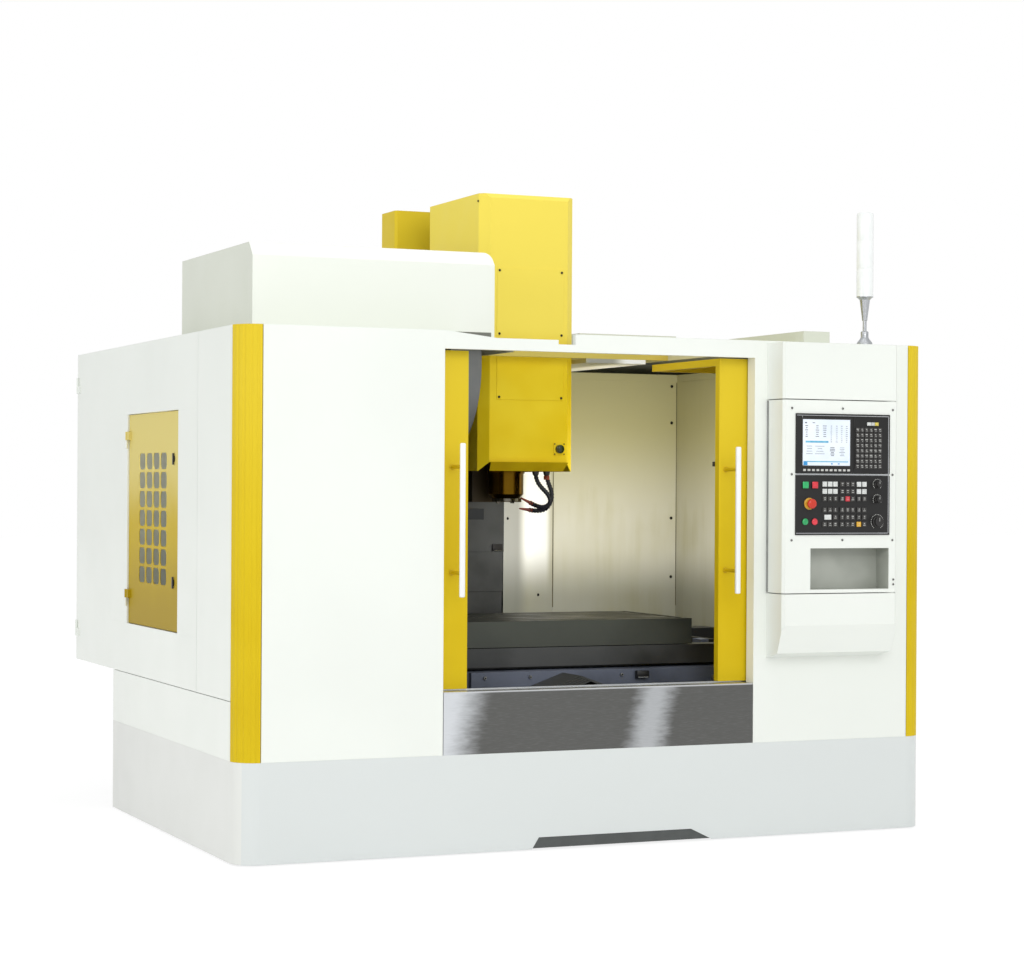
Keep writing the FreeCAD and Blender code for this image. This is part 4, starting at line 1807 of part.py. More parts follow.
def make_head_cover():
    front = front_y("dims.cover_front")
    back = front_y("dims.cover_back")

    def shell(name, wall):
        chamfer = f"(dims.cover_chamfer - {wall} / 2)"
        plan = chamfered_cover(name, f"dims.cover_half - {wall}", f"{front} + {wall}",
                               f"{back} + {wall} * 2", "dims.cover_low - 1",
                               "dims.cover_top + 1", chamfer)
        low = f"dims.cover_low - {wall} / 2"
        top = f"dims.cover_top - {wall}"
        profile = prism(name + "_profile", "YZ", [
            (f"{back} + {wall} * 2", low),
            (f"{front} + {wall} + {chamfer}", low),
            (f"{front} + {wall}", f"{low} + {chamfer}"),
            (f"{front} + {wall}", f"{top} - {chamfer} / 2"),
            (f"{front} + {wall} + {chamfer} / 2", top),
            (f"{back} + {wall} * 2", top),
        ], "-dims.cover_half - 1", "dims.cover_half + 1")
        return overlap_of(name, plan, profile)

    cover = cut("head_cover_shell", shell("cover_outer", "0"),
                shell("cover_inner", "dims.sheet"))
    plate = block("head_access_plate", ("-dims.plate_left", "dims.plate_right"),
                  (f"{front} - dims.plate_proud", front),
                  ("dims.plate_low", "dims.plate_low + dims.plate_height"))
    gland = turned("cable_gland", "y", [
        ("0", "0"),
        ("dims.gland_radius * 0.55", "0"),
        ("dims.gland_radius * 0.9", "dims.gland_proud * 0.35"),
        ("dims.gland_radius", "dims.gland_proud * 0.6"),
        ("dims.gland_radius", "dims.gland_proud"),
        ("0", "dims.gland_proud"),
    ], "dims.gland_across", f"{front} - dims.gland_proud", "dims.gland_height")
    node("head_cover", group("head_cover", cover, plate, gland))


def make_spindle():
    node("spindle_cartridge", turned("spindle_cartridge", "z", [
        ("dims.spindle_radius + dims.screw_clearance", "dims.cartridge_nose_low"),
        ("dims.cartridge_nose_radius", "dims.cartridge_nose_low"),
        ("dims.cartridge_radius", "dims.cartridge_low"),
        ("dims.cartridge_radius", "dims.cartridge_ring_low"),
        ("dims.cartridge_ring_radius", "dims.cartridge_ring_low"),
        ("dims.cartridge_ring_radius", "dims.cartridge_ring_low + dims.cartridge_ring_height"),
        ("dims.cartridge_radius", "dims.cartridge_ring_low + dims.cartridge_ring_height"),
        ("dims.cartridge_radius", "dims.cartridge_top"),
        ("dims.spindle_radius + dims.screw_clearance", "dims.cartridge_top"),
    ], MIDDLE, MIDDLE, MIDDLE))
    collar = "dims.cartridge_nose_low - dims.screw_clearance * 4"
    taper_end = "dims.spindle_low + dims.taper_depth"
    # the nose with its taper is one ring, and the shaft stands on it
    nose = turned("spindle_nose", "z", [
        ("dims.taper_radius", "dims.spindle_low"),
        ("dims.spindle_nose_radius", "dims.spindle_low"),
        ("dims.spindle_nose_radius", collar),
        ("dims.spindle_radius", collar),
        ("dims.spindle_radius", taper_end),
        ("dims.taper_radius - dims.taper_depth * 7 / 48", taper_end),
    ], MIDDLE, MIDDLE, MIDDLE)
    shaft = turned("spindle_shaft", "z", [
        ("dims.taper_bore", taper_end),
        ("dims.spindle_radius", taper_end),
        ("dims.spindle_radius", "dims.spindle_top"),
        ("dims.taper_bore", "dims.spindle_top"),
    ], MIDDLE, MIDDLE, MIDDLE)
    drive_keys = []
    for side, low in (("left", "-dims.spindle_nose_radius / 2 - dims.key_length"),
                      ("right", "dims.spindle_nose_radius / 2")):
        drive_keys.append(block(f"drive_key_{side}", (low, f"{low} + dims.key_length"),
                                ("-dims.key_width / 2", "dims.key_width / 2"),
                                ("dims.spindle_low - dims.key_height", "dims.spindle_low")))
    node("spindle", group("spindle", join("spindle_front", nose, *drive_keys), shaft))


# The two coolant hoses, bent by hand: (across, down from the manifold) from its underside.
HOSE_ROUTES = (
    [(14, 0), (14, 36), (36, 74), (78, 106), (98, 142), (78, 182), (32, 194), (-8, 188)],
    [(72, 0), (72, 40), (96, 82), (104, 128), (84, 172), (38, 178), (-6, 156)],
)


def rounded_route(points):
    edges = []
    start = points[0]
    for before, here, after in zip(points, points[1:], points[2:]):
        into = here - before
        out = after - here
        turn = into.getAngle(out)
        radius = 0.45 * min(into.Length, out.Length) / math.tan(turn / 2)
        setback = radius * math.tan(turn / 2)
        one = here - into.normalize() * setback
        two = here + out.normalize() * setback
        inward = (two - here).normalize() + (one - here).normalize()
        middle = here + inward.normalize() * (radius / math.cos(turn / 2) - radius)
        edges.append(Part.LineSegment(start, one).toShape())
        edges.append(Part.Arc(one, middle, two).toShape())
        start = two
    edges.append(Part.LineSegment(start, points[-1]).toShape())
    return Part.Wire(edges)


def make_coolant_hoses():
    top = "dims.head_step"
    x = ("dims.manifold_left", "dims.manifold_left + dims.manifold_width")
    y = (front_y("dims.manifold_front"), front_y("dims.manifold_front + dims.manifold_depth"))
    manifold = block("coolant_manifold", x, y, (f"{top} - dims.manifold_height", top))
    radius = size("hose_radius")
    left = value(x[0])
    depth = value(f"({y[0]} + {y[1]}) / 2")
    under = value(f"{top} - dims.manifold_height")
    shapes = []
    for number, route in enumerate(HOSE_ROUTES):
        points = [FreeCAD.Vector(left + u, depth, under - w) for u, w in route]
        path = rounded_route(points)
        # rigid links, mitred where one seats in the next
        links = Part.makePolygon(path.discretize(Number=int(size("hose_links")) + 1))
        sides = int(size("hose_sides"))
        corners = [points[0] + FreeCAD.Vector(radius * math.cos(2 * math.pi * i / sides),
                                              radius * math.sin(2 * math.pi * i / sides), 0)
                   for i in range(sides + 1)]
        hose = links.makePipeShell([Part.makePolygon(corners)], True, False, 1)
        along = (points[-1] - points[-2]).normalize()
        tip = Part.makeCone(radius, size("nozzle_radius"), size("nozzle_length"),
                            points[-1], along)
        print(f"coolant hose {number}: {path.Length:.0f} mm, volume {hose.Volume:.0f}, "
              f"valid {hose.isValid()}")
        shapes += [hose, tip]
    hoses = doc.addObject("Part::Feature", "coolant_hose_tubes")
    hoses.Shape = Part.makeCompound(shapes)
    node("coolant_hoses", group("coolant_hoses", manifold, hoses))


# ---- tool changer ----

def make_tool_changer():
    axis_y = front_y("dims.magazine_depth")
    axis_z = "dims.magazine_height"
    right = "-dims.guard_right"
    left = f"{right} - dims.guard_width"
    guard = rod("guard_drum", "x", "dims.guard_radius", left, right, (axis_y, axis_z))
    hollow = rod("guard_hollow", "x", "dims.guard_radius - dims.sheet", f"{left} - 1",
                 f"{right} - dims.sheet", (axis_y, axis_z))
    # the guard is open below, where the tools leave it
    mouth = block("guard_mouth", (f"{left} - 1", f"{right} - dims.sheet - 1"),
                  (f"{axis_y} - dims.guard_radius * 0.55", f"{axis_y} + dims.guard_radius * 0.55"),
                  (f"{axis_z} - dims.guard_radius - 1", f"{axis_z} - dims.guard_radius * 0.75"))
    guard = cut("magazine_guard", guard, hollow, mouth)
    x = ("-dims.arm_across - dims.case_half", "-dims.arm_across + dims.case_half")
    z = ("dims.case_low", "dims.case_low + dims.case_height")
    case = block("case_body", x, (front_y("dims.case_front"), front_y("dims.case_back")), z)
    bracket = block("case_bracket", (f"{x[0]} + dims.case_half / 4", "-dims.splay_inner"),
                    (front_y("dims.case_back"), front_y("dims.column_front")), z)
    post_y = (f"{axis_y} + dims.guard_radius * 0.2",
              f"{axis_y} + dims.guard_radius * 0.2 + dims.post_depth")
    # a post carries the disc's axle between the guard and the disc
    post_x = (f"{left} + dims.post_width / 2", f"{left} + dims.post_width * 1.5")
    post = block("magazine_post", post_x, (f"{axis_y} - dims.post_depth / 2",
                                           f"{axis_y} + dims.post_depth / 2"),
                 (z[1], f"{axis_z} + dims.post_depth / 2"))
    foot = block("magazine_foot", (post_x[0], x[0]),
                 (f"{axis_y} - dims.post_depth / 2", f"{axis_y} + dims.post_depth / 2"),
                 (f"{z[1]} - dims.post_width", z[1]))
    axle = rod("disc_axle", "x", "dims.axle_radius", "-dims.disc_right - dims.disc_thickness",
               f"{right} - dims.sheet", (axis_y, axis_z))
    shaft_bore = rod("arm_shaft_bore", "z", "dims.arm_shaft_radius + dims.screw_clearance",
                     f"{z[0]} - 1", f"{z[0]} + dims.arm_shaft_depth + 1",
                     ("-dims.arm_across", front_y("dims.arm_depth")))
    frame = cut("tool_changer_case",
                join("tool_changer_solid", case, bracket, post, foot, axle), shaft_bore)
    node("tool_changer", group("tool_changer", frame, guard))

    disc_x = ("-dims.disc_right - dims.disc_thickness", "-dims.disc_right")
    disc = rod("disc_plate", "x", "dims.disc_radius", *disc_x, (axis_y, axis_z))
    hub = rod("disc_hub", "x", "dims.disc_hub_radius",
              f"{disc_x[0]} - dims.pot_length / 2", disc_x[0], (axis_y, axis_z))
    disc_bore = rod("disc_bore", "x", "dims.axle_radius + dims.screw_clearance",
                    f"{disc_x[0]} - dims.pot_length / 2 + dims.sheet * 2", f"{disc_x[1]} + 1",
                    (axis_y, axis_z))
    # the pots are seated on the disc
    pots = []
    for i in range(int(size("pot_count"))):
        angle = 2 * math.pi * i / int(size("pot_count"))
        centre = (f"{axis_y} + dims.pot_ring * {math.sin(angle):.6f}",
                  f"{axis_z} - dims.pot_ring * {math.cos(angle):.6f}")
        pot = many_sided(f"pot_outer_{i}", "x", "pot_sides", "dims.pot_radius",
                         f"{disc_x[0]} - dims.pot_length", disc_x[0], centre)
        bore = many_sided(f"pot_bore_{i}", "x", "pot_sides", "dims.pot_bore",
                          f"{disc_x[0]} - dims.pot_length - 1",
                          f"{disc_x[0]} - dims.pot_length / 4", centre)
        pots.append(cut(f"pot_{i}", pot, bore))
    disc = cut("disc_casting", join("disc_solid", disc, hub), disc_bore)
    node("tool_disc", group("tool_disc", disc, *pots))

    arm_x = "-dims.arm_across"
    arm_y = front_y("dims.arm_depth")
    arm_z = ("dims.arm_low", "dims.arm_low + dims.arm_thickness")
    reach = "dims.arm_reach + dims.arm_tip"
    beam = block("arm_beam", (f"{arm_x} - dims.arm_width / 2", f"{arm_x} + dims.arm_width / 2"),
                 (f"{arm_y} - ({reach})", f"{arm_y} + {reach}"), arm_z)
    hub = rod("arm_hub", "z", "dims.arm_hub_radius", *arm_z, (arm_x, arm_y))
    shaft = rod("arm_shaft", "z", "dims.arm_shaft_radius", arm_z[1],
                f"{z[0]} + dims.arm_shaft_depth", (arm_x, arm_y))
    tools = []
    for name, sign in (("front", "-1"), ("back", "1")):
        jaw_y = f"{arm_y} + {sign} * dims.arm_reach"
        tools.append(rod(f"jaw_{name}", "z", "dims.gripper_radius", f"{arm_z[0]} - 1",
                         f"{arm_z[1]} + 1", (arm_x, jaw_y)))
        mouth_x = ((arm_x, f"{arm_x} + dims.arm_width") if sign == "1"
                   else (f"{arm_x} - dims.arm_width", arm_x))
        tools.append(block(f"jaw_mouth_{name}", mouth_x,
                           (f"{jaw_y} - dims.gripper_radius * 0.9",
                            f"{jaw_y} + dims.gripper_radius * 0.9"),
                           (f"{arm_z[0]} - 1", f"{arm_z[1]} + 1")))
    node("tool_arm", cut("tool_arm", join("tool_arm_solid", beam, hub, shaft), *tools))


make_base_skirt()
make_corner_columns()
make_front_panels()
make_front_apron()
make_enclosure_panels()
make_roof_panels()
make_magazine_cover()
make_electrical_cabinet()
make_side_access_door()
make_front_door("left")
make_front_door("right")
make_console_housings()
make_console_box()
make_display_unit()
make_operator_unit()
make_buttons()
make_signal_tower()
make_chamber()
make_chip_pans()
make_machine_bed()
make_levelling_feet()
make_column()
make_guideways()
make_servo_motors()
make_ball_screws()
make_z_drive_cover()
make_saddle()
make_way_covers()
make_x_drive()
make_table()
make_headstock()
make_head_cover()
make_spindle()
make_coolant_hoses()
make_tool_changer()

doc.recompute()

failed = [o.Name for o in doc.Objects if "Invalid" in o.State or "Error" in o.State]
for part in nodes:
    if part.Shape.isNull() or not part.Shape.isValid() or not part.Shape.Solids:
        failed.append(part.Label)
if failed:
    raise RuntimeError("failed objects: " + ", ".join(failed))

os.makedirs("parts", exist_ok=True)
for part in nodes:
    part.Shape.exportStep(f"parts/{part.Label}.step")
print(f"{len(nodes)} sub-parts written")
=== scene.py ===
import math

import bmesh
import bpy
from mathutils import Matrix, Vector


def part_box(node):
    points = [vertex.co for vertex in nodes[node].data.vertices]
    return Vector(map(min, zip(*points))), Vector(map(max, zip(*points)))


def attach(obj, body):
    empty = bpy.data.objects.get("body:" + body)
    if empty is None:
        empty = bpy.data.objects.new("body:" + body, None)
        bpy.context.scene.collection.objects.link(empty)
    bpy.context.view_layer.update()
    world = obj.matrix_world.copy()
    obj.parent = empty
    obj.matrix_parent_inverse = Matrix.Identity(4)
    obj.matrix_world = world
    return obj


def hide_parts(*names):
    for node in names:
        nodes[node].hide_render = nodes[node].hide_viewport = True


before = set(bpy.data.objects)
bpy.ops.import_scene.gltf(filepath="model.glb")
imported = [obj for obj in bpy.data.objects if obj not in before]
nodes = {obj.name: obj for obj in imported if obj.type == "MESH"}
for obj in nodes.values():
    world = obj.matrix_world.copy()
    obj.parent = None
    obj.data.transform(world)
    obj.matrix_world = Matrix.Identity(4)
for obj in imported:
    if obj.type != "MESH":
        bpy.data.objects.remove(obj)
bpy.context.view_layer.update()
print("frame loaded:", len(nodes), "nodes")

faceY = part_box("front_panels")[0].y      # the machine's front face


def atDepth(depth):
    return faceY + depth


# camera

cameraSizes = {
    "place": (-4.668, -10.767, 1.578),
    "lens": 85.8,
    "yaw": 0.4119,
    "roll": 0.0059,
}


def makeCamera(sizes):
    yaw, roll = sizes["yaw"], sizes["roll"]
    ahead = Vector((math.sin(yaw), math.cos(yaw), 0))
    right = Vector((math.cos(yaw), -math.sin(yaw), 0))
    up = Vector((0, 0, 1))
    across = right * math.cos(roll) + up * math.sin(roll)
    upward = up * math.cos(roll) - right * math.sin(roll)
    turn = Matrix((across, upward, -ahead)).transposed()
    data = bpy.data.cameras.new("camera")
    data.lens = sizes["lens"]
    data.sensor_width = 36
    data.clip_end = 200
    camera = bpy.data.objects.new("camera", data)
    bpy.context.collection.objects.link(camera)
    camera.matrix_world = Matrix.Translation(Vector(sizes["place"])) @ turn.to_4x4()
    bpy.context.scene.camera = camera


makeCamera(cameraSizes)


# shader helpers

# a tone written as it shows on a screen, 0 to 255
def tone(red, green, blue):
    def linear(level):
        level /= 255
        return level / 12.92 if level <= 0.04045 else ((level + 0.055) / 1.055) ** 2.4
    return (linear(red), linear(green), linear(blue), 1.0)


def startFinish(name, roughness, metallic=0.0, coat=0.0):
    finish = bpy.data.materials.new(name)
    finish.use_nodes = True
    tree = finish.node_tree
    shader = tree.nodes["Principled BSDF"]
    shader.inputs["Roughness"].default_value = roughness
    shader.inputs["Metallic"].default_value = metallic
    shader.inputs["Coat Weight"].default_value = coat
    shader.inputs["Coat Roughness"].default_value = 0.12
    place = tree.nodes.new("ShaderNodeTexCoord").outputs["Object"]
    return finish, tree, shader, place


def feed(tree, socket, value):
    if isinstance(value, bpy.types.NodeSocket):
        tree.links.new(value, socket)
    else:
        socket.default_value = value


def grain(tree, place, scale, stretch=(1, 1, 1), detail=3.0, offset=(0, 0, 0)):
    mapping = tree.nodes.new("ShaderNodeMapping")
    mapping.inputs["Scale"].default_value = stretch
    mapping.inputs["Location"].default_value = offset
    noise = tree.nodes.new("ShaderNodeTexNoise")
    noise.inputs["Scale"].default_value = scale
    noise.inputs["Detail"].default_value = detail
    tree.links.new(place, mapping.inputs["Vector"])
    tree.links.new(mapping.outputs["Vector"], noise.inputs["Vector"])
    return noise.outputs["Fac"]


def remap(tree, value, fromLow, fromHigh, toLow, toHigh):
    node = tree.nodes.new("ShaderNodeMapRange")
    node.interpolation_type = "SMOOTHSTEP"
    for key, number in (("From Min", fromLow), ("From Max", fromHigh),
                        ("To Min", toLow), ("To Max", toHigh)):
        node.inputs[key].default_value = number
    tree.links.new(value, node.inputs["Value"])
    return node.outputs["Result"]


def blendTones(tree, factor, first, second):
    node = tree.nodes.new("ShaderNodeMix")
    node.data_type = "RGBA"
    feed(tree, node.inputs[0], factor)
    feed(tree, node.inputs[6], first)
    feed(tree, node.inputs[7], second)
    return node.outputs[2]


def work(tree, operation, first, second):
    node = tree.nodes.new("ShaderNodeMath")
    node.operation = operation
    feed(tree, node.inputs[0], first)
    feed(tree, node.inputs[1], second)
    return node.outputs[0]


def along(tree, place, axis):
    split = tree.nodes.new("ShaderNodeSeparateXYZ")
    tree.links.new(place, split.inputs[0])
    return split.outputs["XYZ".index(axis)]


def towards(tree, axis):    # how far the surface faces along an axis, -1 to 1
    return along(tree, tree.nodes.new("ShaderNodeNewGeometry").outputs["Normal"], axis)


def paint(tree, shader, colour):
    tree.links.new(colour, shader.inputs["Base Color"])


def roughen(tree, shader, value, low, high):
    tree.links.new(remap(tree, value, 0.3, 0.7, low, high), shader.inputs["Roughness"])


def relief(tree, shader, height, strength, distance, rounded=0.0):
    bump = tree.nodes.new("ShaderNodeBump")
    bump.inputs["Strength"].default_value = strength
    bump.inputs["Distance"].default_value = distance
    tree.links.new(height, bump.inputs["Height"])
    if rounded:
        edge = tree.nodes.new("ShaderNodeBevel")
        edge.samples = 4
        edge.inputs["Radius"].default_value = rounded
        tree.links.new(edge.outputs["Normal"], bump.inputs["Normal"])
    tree.links.new(bump.outputs["Normal"], shader.inputs["Normal"])


# finishes

# fine unevenness of baked paint
def orangePeel(tree, shader, place):
    relief(tree, shader, grain(tree, place, 420, detail=1.5), 0.08, 0.0006, 0.002)


# sprayed and baked paint: soft cloudiness, fine orange peel, and optional painted light and shade:
# paler towards the top, and a tone of its own on front faces
def sprayedPaint(name, main, other, roughness=0.38, coat=0.25, cloud=0.9, gloss=0.5,
                 paintedTopLight=None, front=None):
    finish, tree, shader, place = startFinish(name, roughness, coat=coat)
    shader.inputs["Specular IOR Level"].default_value = gloss
    clouds = remap(tree, grain(tree, place, cloud, detail=2.5), 0.35, 0.68, 0, 1)
    colour = blendTones(tree, clouds, main, other)
    # painted light: a paler tone towards the top
    if paintedTopLight:    # paler towards the top: height it starts at, height it ends at, tone
        colour = blendTones(tree, remap(tree, along(tree, place, "Z"), paintedTopLight[0], paintedTopLight[1], 0, 1),
                            colour, paintedTopLight[2])
    # painted light and shade by orientation: faces that look to the front take their own tone
    if front:
        ahead = work(tree, "LESS_THAN", towards(tree, "Y"), -0.7)
        colour = blendTones(tree, ahead, colour, front)
    paint(tree, shader, colour)
    roughen(tree, shader, grain(tree, place, 7, detail=4), roughness - 0.05, roughness + 0.07)
    orangePeel(tree, shader, place)
    return finish


def brushedSteel(name, main, other, roughness=0.34, stretch=(2, 60, 220), rounded=0.0015):
    finish, tree, shader, place = startFinish(name, roughness, metallic=1.0)
    lines = grain(tree, place, 6, stretch=stretch, detail=5)
    bands = grain(tree, place, 1.6, stretch=(1, 1, 0.35), detail=3, offset=(3, 1, 0))
    mixed = work(tree, "ADD", work(tree, "MULTIPLY", lines, 0.45),
                 work(tree, "MULTIPLY", bands, 0.75))
    colour = blendTones(tree, remap(tree, mixed, 0.4, 0.8, 0, 1), main, other)
    paint(tree, shader, colour)
    roughen(tree, shader, bands, roughness - 0.06, roughness + 0.1)
    relief(tree, shader, lines, 0.12, 0.0004, rounded)
    return finish


# liner sheet of the working space: coolant stains, olive higher up, painted shade near the table, a
# painted grey shadow of the column and a painted bright patch of light on the angled sheets
def liningWithStainsAndPaintedLight(name, main, stain, pale, sizes):
    finish, tree, shader, place = startFinish(name, 0.36, coat=0.1)
    across, height = along(tree, place, "X"), along(tree, place, "Z")
    blots = grain(tree, place, 2.1, stretch=(1, 1, 0.8), detail=4)
    runs = grain(tree, place, 5.5, stretch=(3.2, 3.2, 0.28), detail=4, offset=(0, 2, 0))
    dirt = work(tree, "ADD", work(tree, "MULTIPLY", blots, 0.6),
                work(tree, "MULTIPLY", runs, 0.4))
    high = remap(tree, height, sizes["oliveLow"], sizes["oliveHigh"], 0, 0.8)
    soiled = work(tree, "MAXIMUM", remap(tree, dirt, 0.38, 0.70, 0, 0.5), high)
    colour = blendTones(tree, soiled, main, stain)
    colour = blendTones(tree, remap(tree, grain(tree, place, 1.1, offset=(5, 5, 1)),
                                    0.5, 0.66, 0, 0.45), colour, pale)
    # painted grey shadow of the column on the angled sheet
    shade = work(tree, "MULTIPLY",
                 remap(tree, across, sizes["shadeLeft"], sizes["shadeLeft"] + 0.05, 0, 1),
                 remap(tree, across, sizes["litPatchLeft"], sizes["litPatchLeft"] + 0.10, 1, 0))
    colour = blendTones(tree, work(tree, "MULTIPLY", shade, 0.8), colour, tone(150, 151, 149))
    # painted light: a near-white lit patch on the angled sheets beside the column
    paintedLitPatch = work(tree, "MULTIPLY",
                  remap(tree, across, sizes["litPatchLeft"], sizes["litPatchLeft"] + 0.09, 0, 1),
                  remap(tree, across, sizes["litPatchRight"] - 0.05, sizes["litPatchRight"], 1, 0))
    low = remap(tree, height, sizes["tableShadeLow"], sizes["tableShadeHigh"], 0, 1)
    paintedLitPatch = work(tree, "MULTIPLY", paintedLitPatch, low)
    colour = blendTones(tree, paintedLitPatch, colour, tone(252, 253, 250))
    # painted shade: the lining is darker near the table
    colour = blendTones(tree, low, blendTones(tree, 0.6, colour, tone(86, 88, 74)), colour)
    paint(tree, shader, colour)
    roughen(tree, shader, dirt, 0.28, 0.5)
    relief(tree, shader, blots, 0.06, 0.004, 0.002)
    return finish


def castIron(name, main, other, roughness=0.55, metallic=0.25, scale=60, upper=None):
    finish, tree, shader, place = startFinish(name, roughness, metallic=metallic)
    pits = grain(tree, place, scale, detail=4)
    wear = grain(tree, place, 3.2, detail=5)
    colour = blendTones(tree, remap(tree, wear, 0.36, 0.68, 0, 1), main, other)
    if upper:   # faces that look up take a darker tone
        colour = blendTones(tree, remap(tree, towards(tree, "Z"), 0.6, 0.9, 0, 0.85),
                            colour, upper)
    paint(tree, shader, colour)
    roughen(tree, shader, wear, roughness + 0.1, roughness - 0.12)
    relief(tree, shader, pits, 0.16, 0.0012, 0.002)
    return finish


def mouldedPlastic(name, main, other, roughness=0.42, scale=700, strength=0.12):
    finish, tree, shader, place = startFinish(name, roughness)
    texture = grain(tree, place, scale, detail=2)
    rubbed = grain(tree, place, 14, detail=3)
    colour = blendTones(tree, remap(tree, rubbed, 0.35, 0.7, 0, 1), main, other)
    paint(tree, shader, colour)
    roughen(tree, shader, rubbed, roughness + 0.06, roughness - 0.08)
    relief(tree, shader, texture, strength, 0.0002, 0.0006)
    return finish


# roof sheets: pale outside; underneath, olive yellow in the middle and a painted shade grey elsewhere
def makeRoofPaint(sizes):
    finish, tree, shader, place = startFinish("roofPaint", 0.42, coat=0.15)
    clouds = remap(tree, grain(tree, place, 0.9, detail=2.5), 0.35, 0.68, 0, 1)
    outside = blendTones(tree, clouds, sizes["pale"], sizes["paler"])
    across = along(tree, place, "X")
    middle = work(tree, "MULTIPLY", work(tree, "GREATER_THAN", across, sizes["yellowLeft"]),
                  work(tree, "LESS_THAN", across, sizes["yellowRight"]))
    inside = blendTones(tree, middle, sizes["paintedShadeGrey"], sizes["olive"])
    under = work(tree, "LESS_THAN", towards(tree, "Z"), -0.5)
    # the rim of the crane opening shows the inside's tone as well
    rim = work(tree, "MULTIPLY", work(tree, "LESS_THAN", towards(tree, "Y"), -0.5),
               work(tree, "LESS_THAN", along(tree, place, "Z"), sizes["rimHigh"]))
    under = work(tree, "MAXIMUM", under, rim)
    paint(tree, shader, blendTones(tree, under, outside, inside))
    orangePeel(tree, shader, place)
    return finish


# the side door: yellow that deepens towards the floor
def makeHatchPaint(sizes):
    finish, tree, shader, place = startFinish("hatchPaint", 0.5)
    shader.inputs["Specular IOR Level"].default_value = 0.22
    height = along(tree, place, "Z")
    cloud = work(tree, "MULTIPLY", grain(tree, place, 2.4, detail=3), 0.24)
    rise = remap(tree, work(tree, "ADD", height, cloud), sizes["low"], sizes["high"], 0, 1)
    half = remap(tree, rise, 0.0, 0.55, 0, 1)
    colour = blendTones(tree, half, tone(172, 144, 0), tone(204, 175, 20))
    colour = blendTones(tree, remap(tree, rise, 0.5, 1.0, 0, 1), colour, tone(226, 208, 122))
    paint(tree, shader, colour)
    orangePeel(tree, shader, place)
    return finish


# the sheet below the doors: dark brushed steel with two painted bright reflections, a slanted band
# and the left end, and a painted highlight along the top fold
def makeApronSteel(sizes):
    finish, tree, shader, place = startFinish("apronSteel", 0.34, metallic=1.0)
    across, height = along(tree, place, "X"), along(tree, place, "Z")
    fine = grain(tree, place, 5, stretch=(6, 6, 90), detail=6)
    clumps = grain(tree, place, 9, stretch=(2, 2, 7), detail=4)
    ripple = work(tree, "MULTIPLY", work(tree, "SUBTRACT", clumps, 0.5), sizes["ripple"])
    lean = work(tree, "MULTIPLY", work(tree, "SUBTRACT", height, 0.55), sizes["lean"])
    wavy = work(tree, "ADD", work(tree, "SUBTRACT", across, lean), ripple)
    # painted reflection: a slanted bright band and the bright left end
    away = work(tree, "ABSOLUTE", work(tree, "SUBTRACT", wavy, sizes["band"]), 0.0)
    band = remap(tree, away, sizes["bandWide"], 0.015, 0, 0.6)
    left = remap(tree, wavy, sizes["leftEnd"], sizes["left"], 0, 1)
    paintedReflection = work(tree, "MAXIMUM", band, left)
    grainy = work(tree, "ADD", paintedReflection, work(tree, "MULTIPLY",
                                            work(tree, "SUBTRACT", fine, 0.5), 0.22))
    colour = blendTones(tree, grainy, tone(102, 102, 100), tone(220, 223, 227))
    # painted highlight along the top fold
    top = remap(tree, height, sizes["rim"] - 0.008, sizes["rim"] - 0.004, 0, 0.85)
    paint(tree, shader, blendTones(tree, top, colour, tone(212, 214, 216)))
    roughen(tree, shader, clumps, 0.3, 0.42)
    relief(tree, shader, fine, 0.1, 0.0004, 0.0015)
    return finish


whitePaint = sprayedPaint("whitePaint", tone(244, 247, 241), tone(240, 243, 237))
roofPaint = makeRoofPaint({"pale": tone(218, 221, 206), "paler": tone(213, 216, 201),
                           "yellowLeft": -0.30, "yellowRight": 0.703, "rimHigh": 2.249,
                           "olive": tone(206, 186, 84), "paintedShadeGrey": tone(116, 118, 108)})
# the magazine cover's brighter front tone is painted light
boxPaint = sprayedPaint("boxPaint", tone(224, 227, 214), tone(218, 221, 208),
                        front=tone(242, 245, 237))
# the skirt's darker front tone is painted shade
skirtPaint = sprayedPaint("skirtPaint", tone(231, 232, 228), tone(226, 227, 223),
                          front=tone(222, 226, 225))
# the yellows grow paler upwards as painted light
yellowPaint = sprayedPaint("yellowPaint", tone(222, 192, 14), tone(216, 184, 6), cloud=2.2,
                           roughness=0.5, coat=0.0, gloss=0.22,
                           paintedTopLight=(1.15, 2.10, tone(229, 200, 40)))
hoodYellow = sprayedPaint("hoodYellow", tone(242, 208, 14), tone(248, 218, 38), cloud=3.4,
                          roughness=0.5, coat=0.0, gloss=0.22,
                          paintedTopLight=(2.15, 2.32, tone(248, 226, 92)))
hatchPaint = makeHatchPaint({"low": 0.98, "high": 1.98})
apronSteel = makeApronSteel({"band": 0.24, "bandWide": 0.13, "lean": 0.22, "left": -0.74,
                             "leftEnd": -0.54, "ripple": 0.07, "rim": 0.700})
liningPaint = liningWithStainsAndPaintedLight("liningPaint", tone(203, 201, 184), tone(172, 166, 112),
                           tone(220, 220, 212),
                           {"oliveLow": 1.35, "oliveHigh": 1.95, "shadeLeft": 0.24,
                            "litPatchLeft": 0.40, "litPatchRight": 0.66, "tableShadeLow": 0.98,
                            "tableShadeHigh": 1.28})
bedIron = castIron("bedIron", tone(104, 108, 108), tone(80, 84, 84))
saddleBlue = castIron("saddleBlue", tone(112, 118, 134), tone(92, 98, 112))
darkIron = castIron("darkIron", tone(40, 42, 42), tone(28, 29, 30))
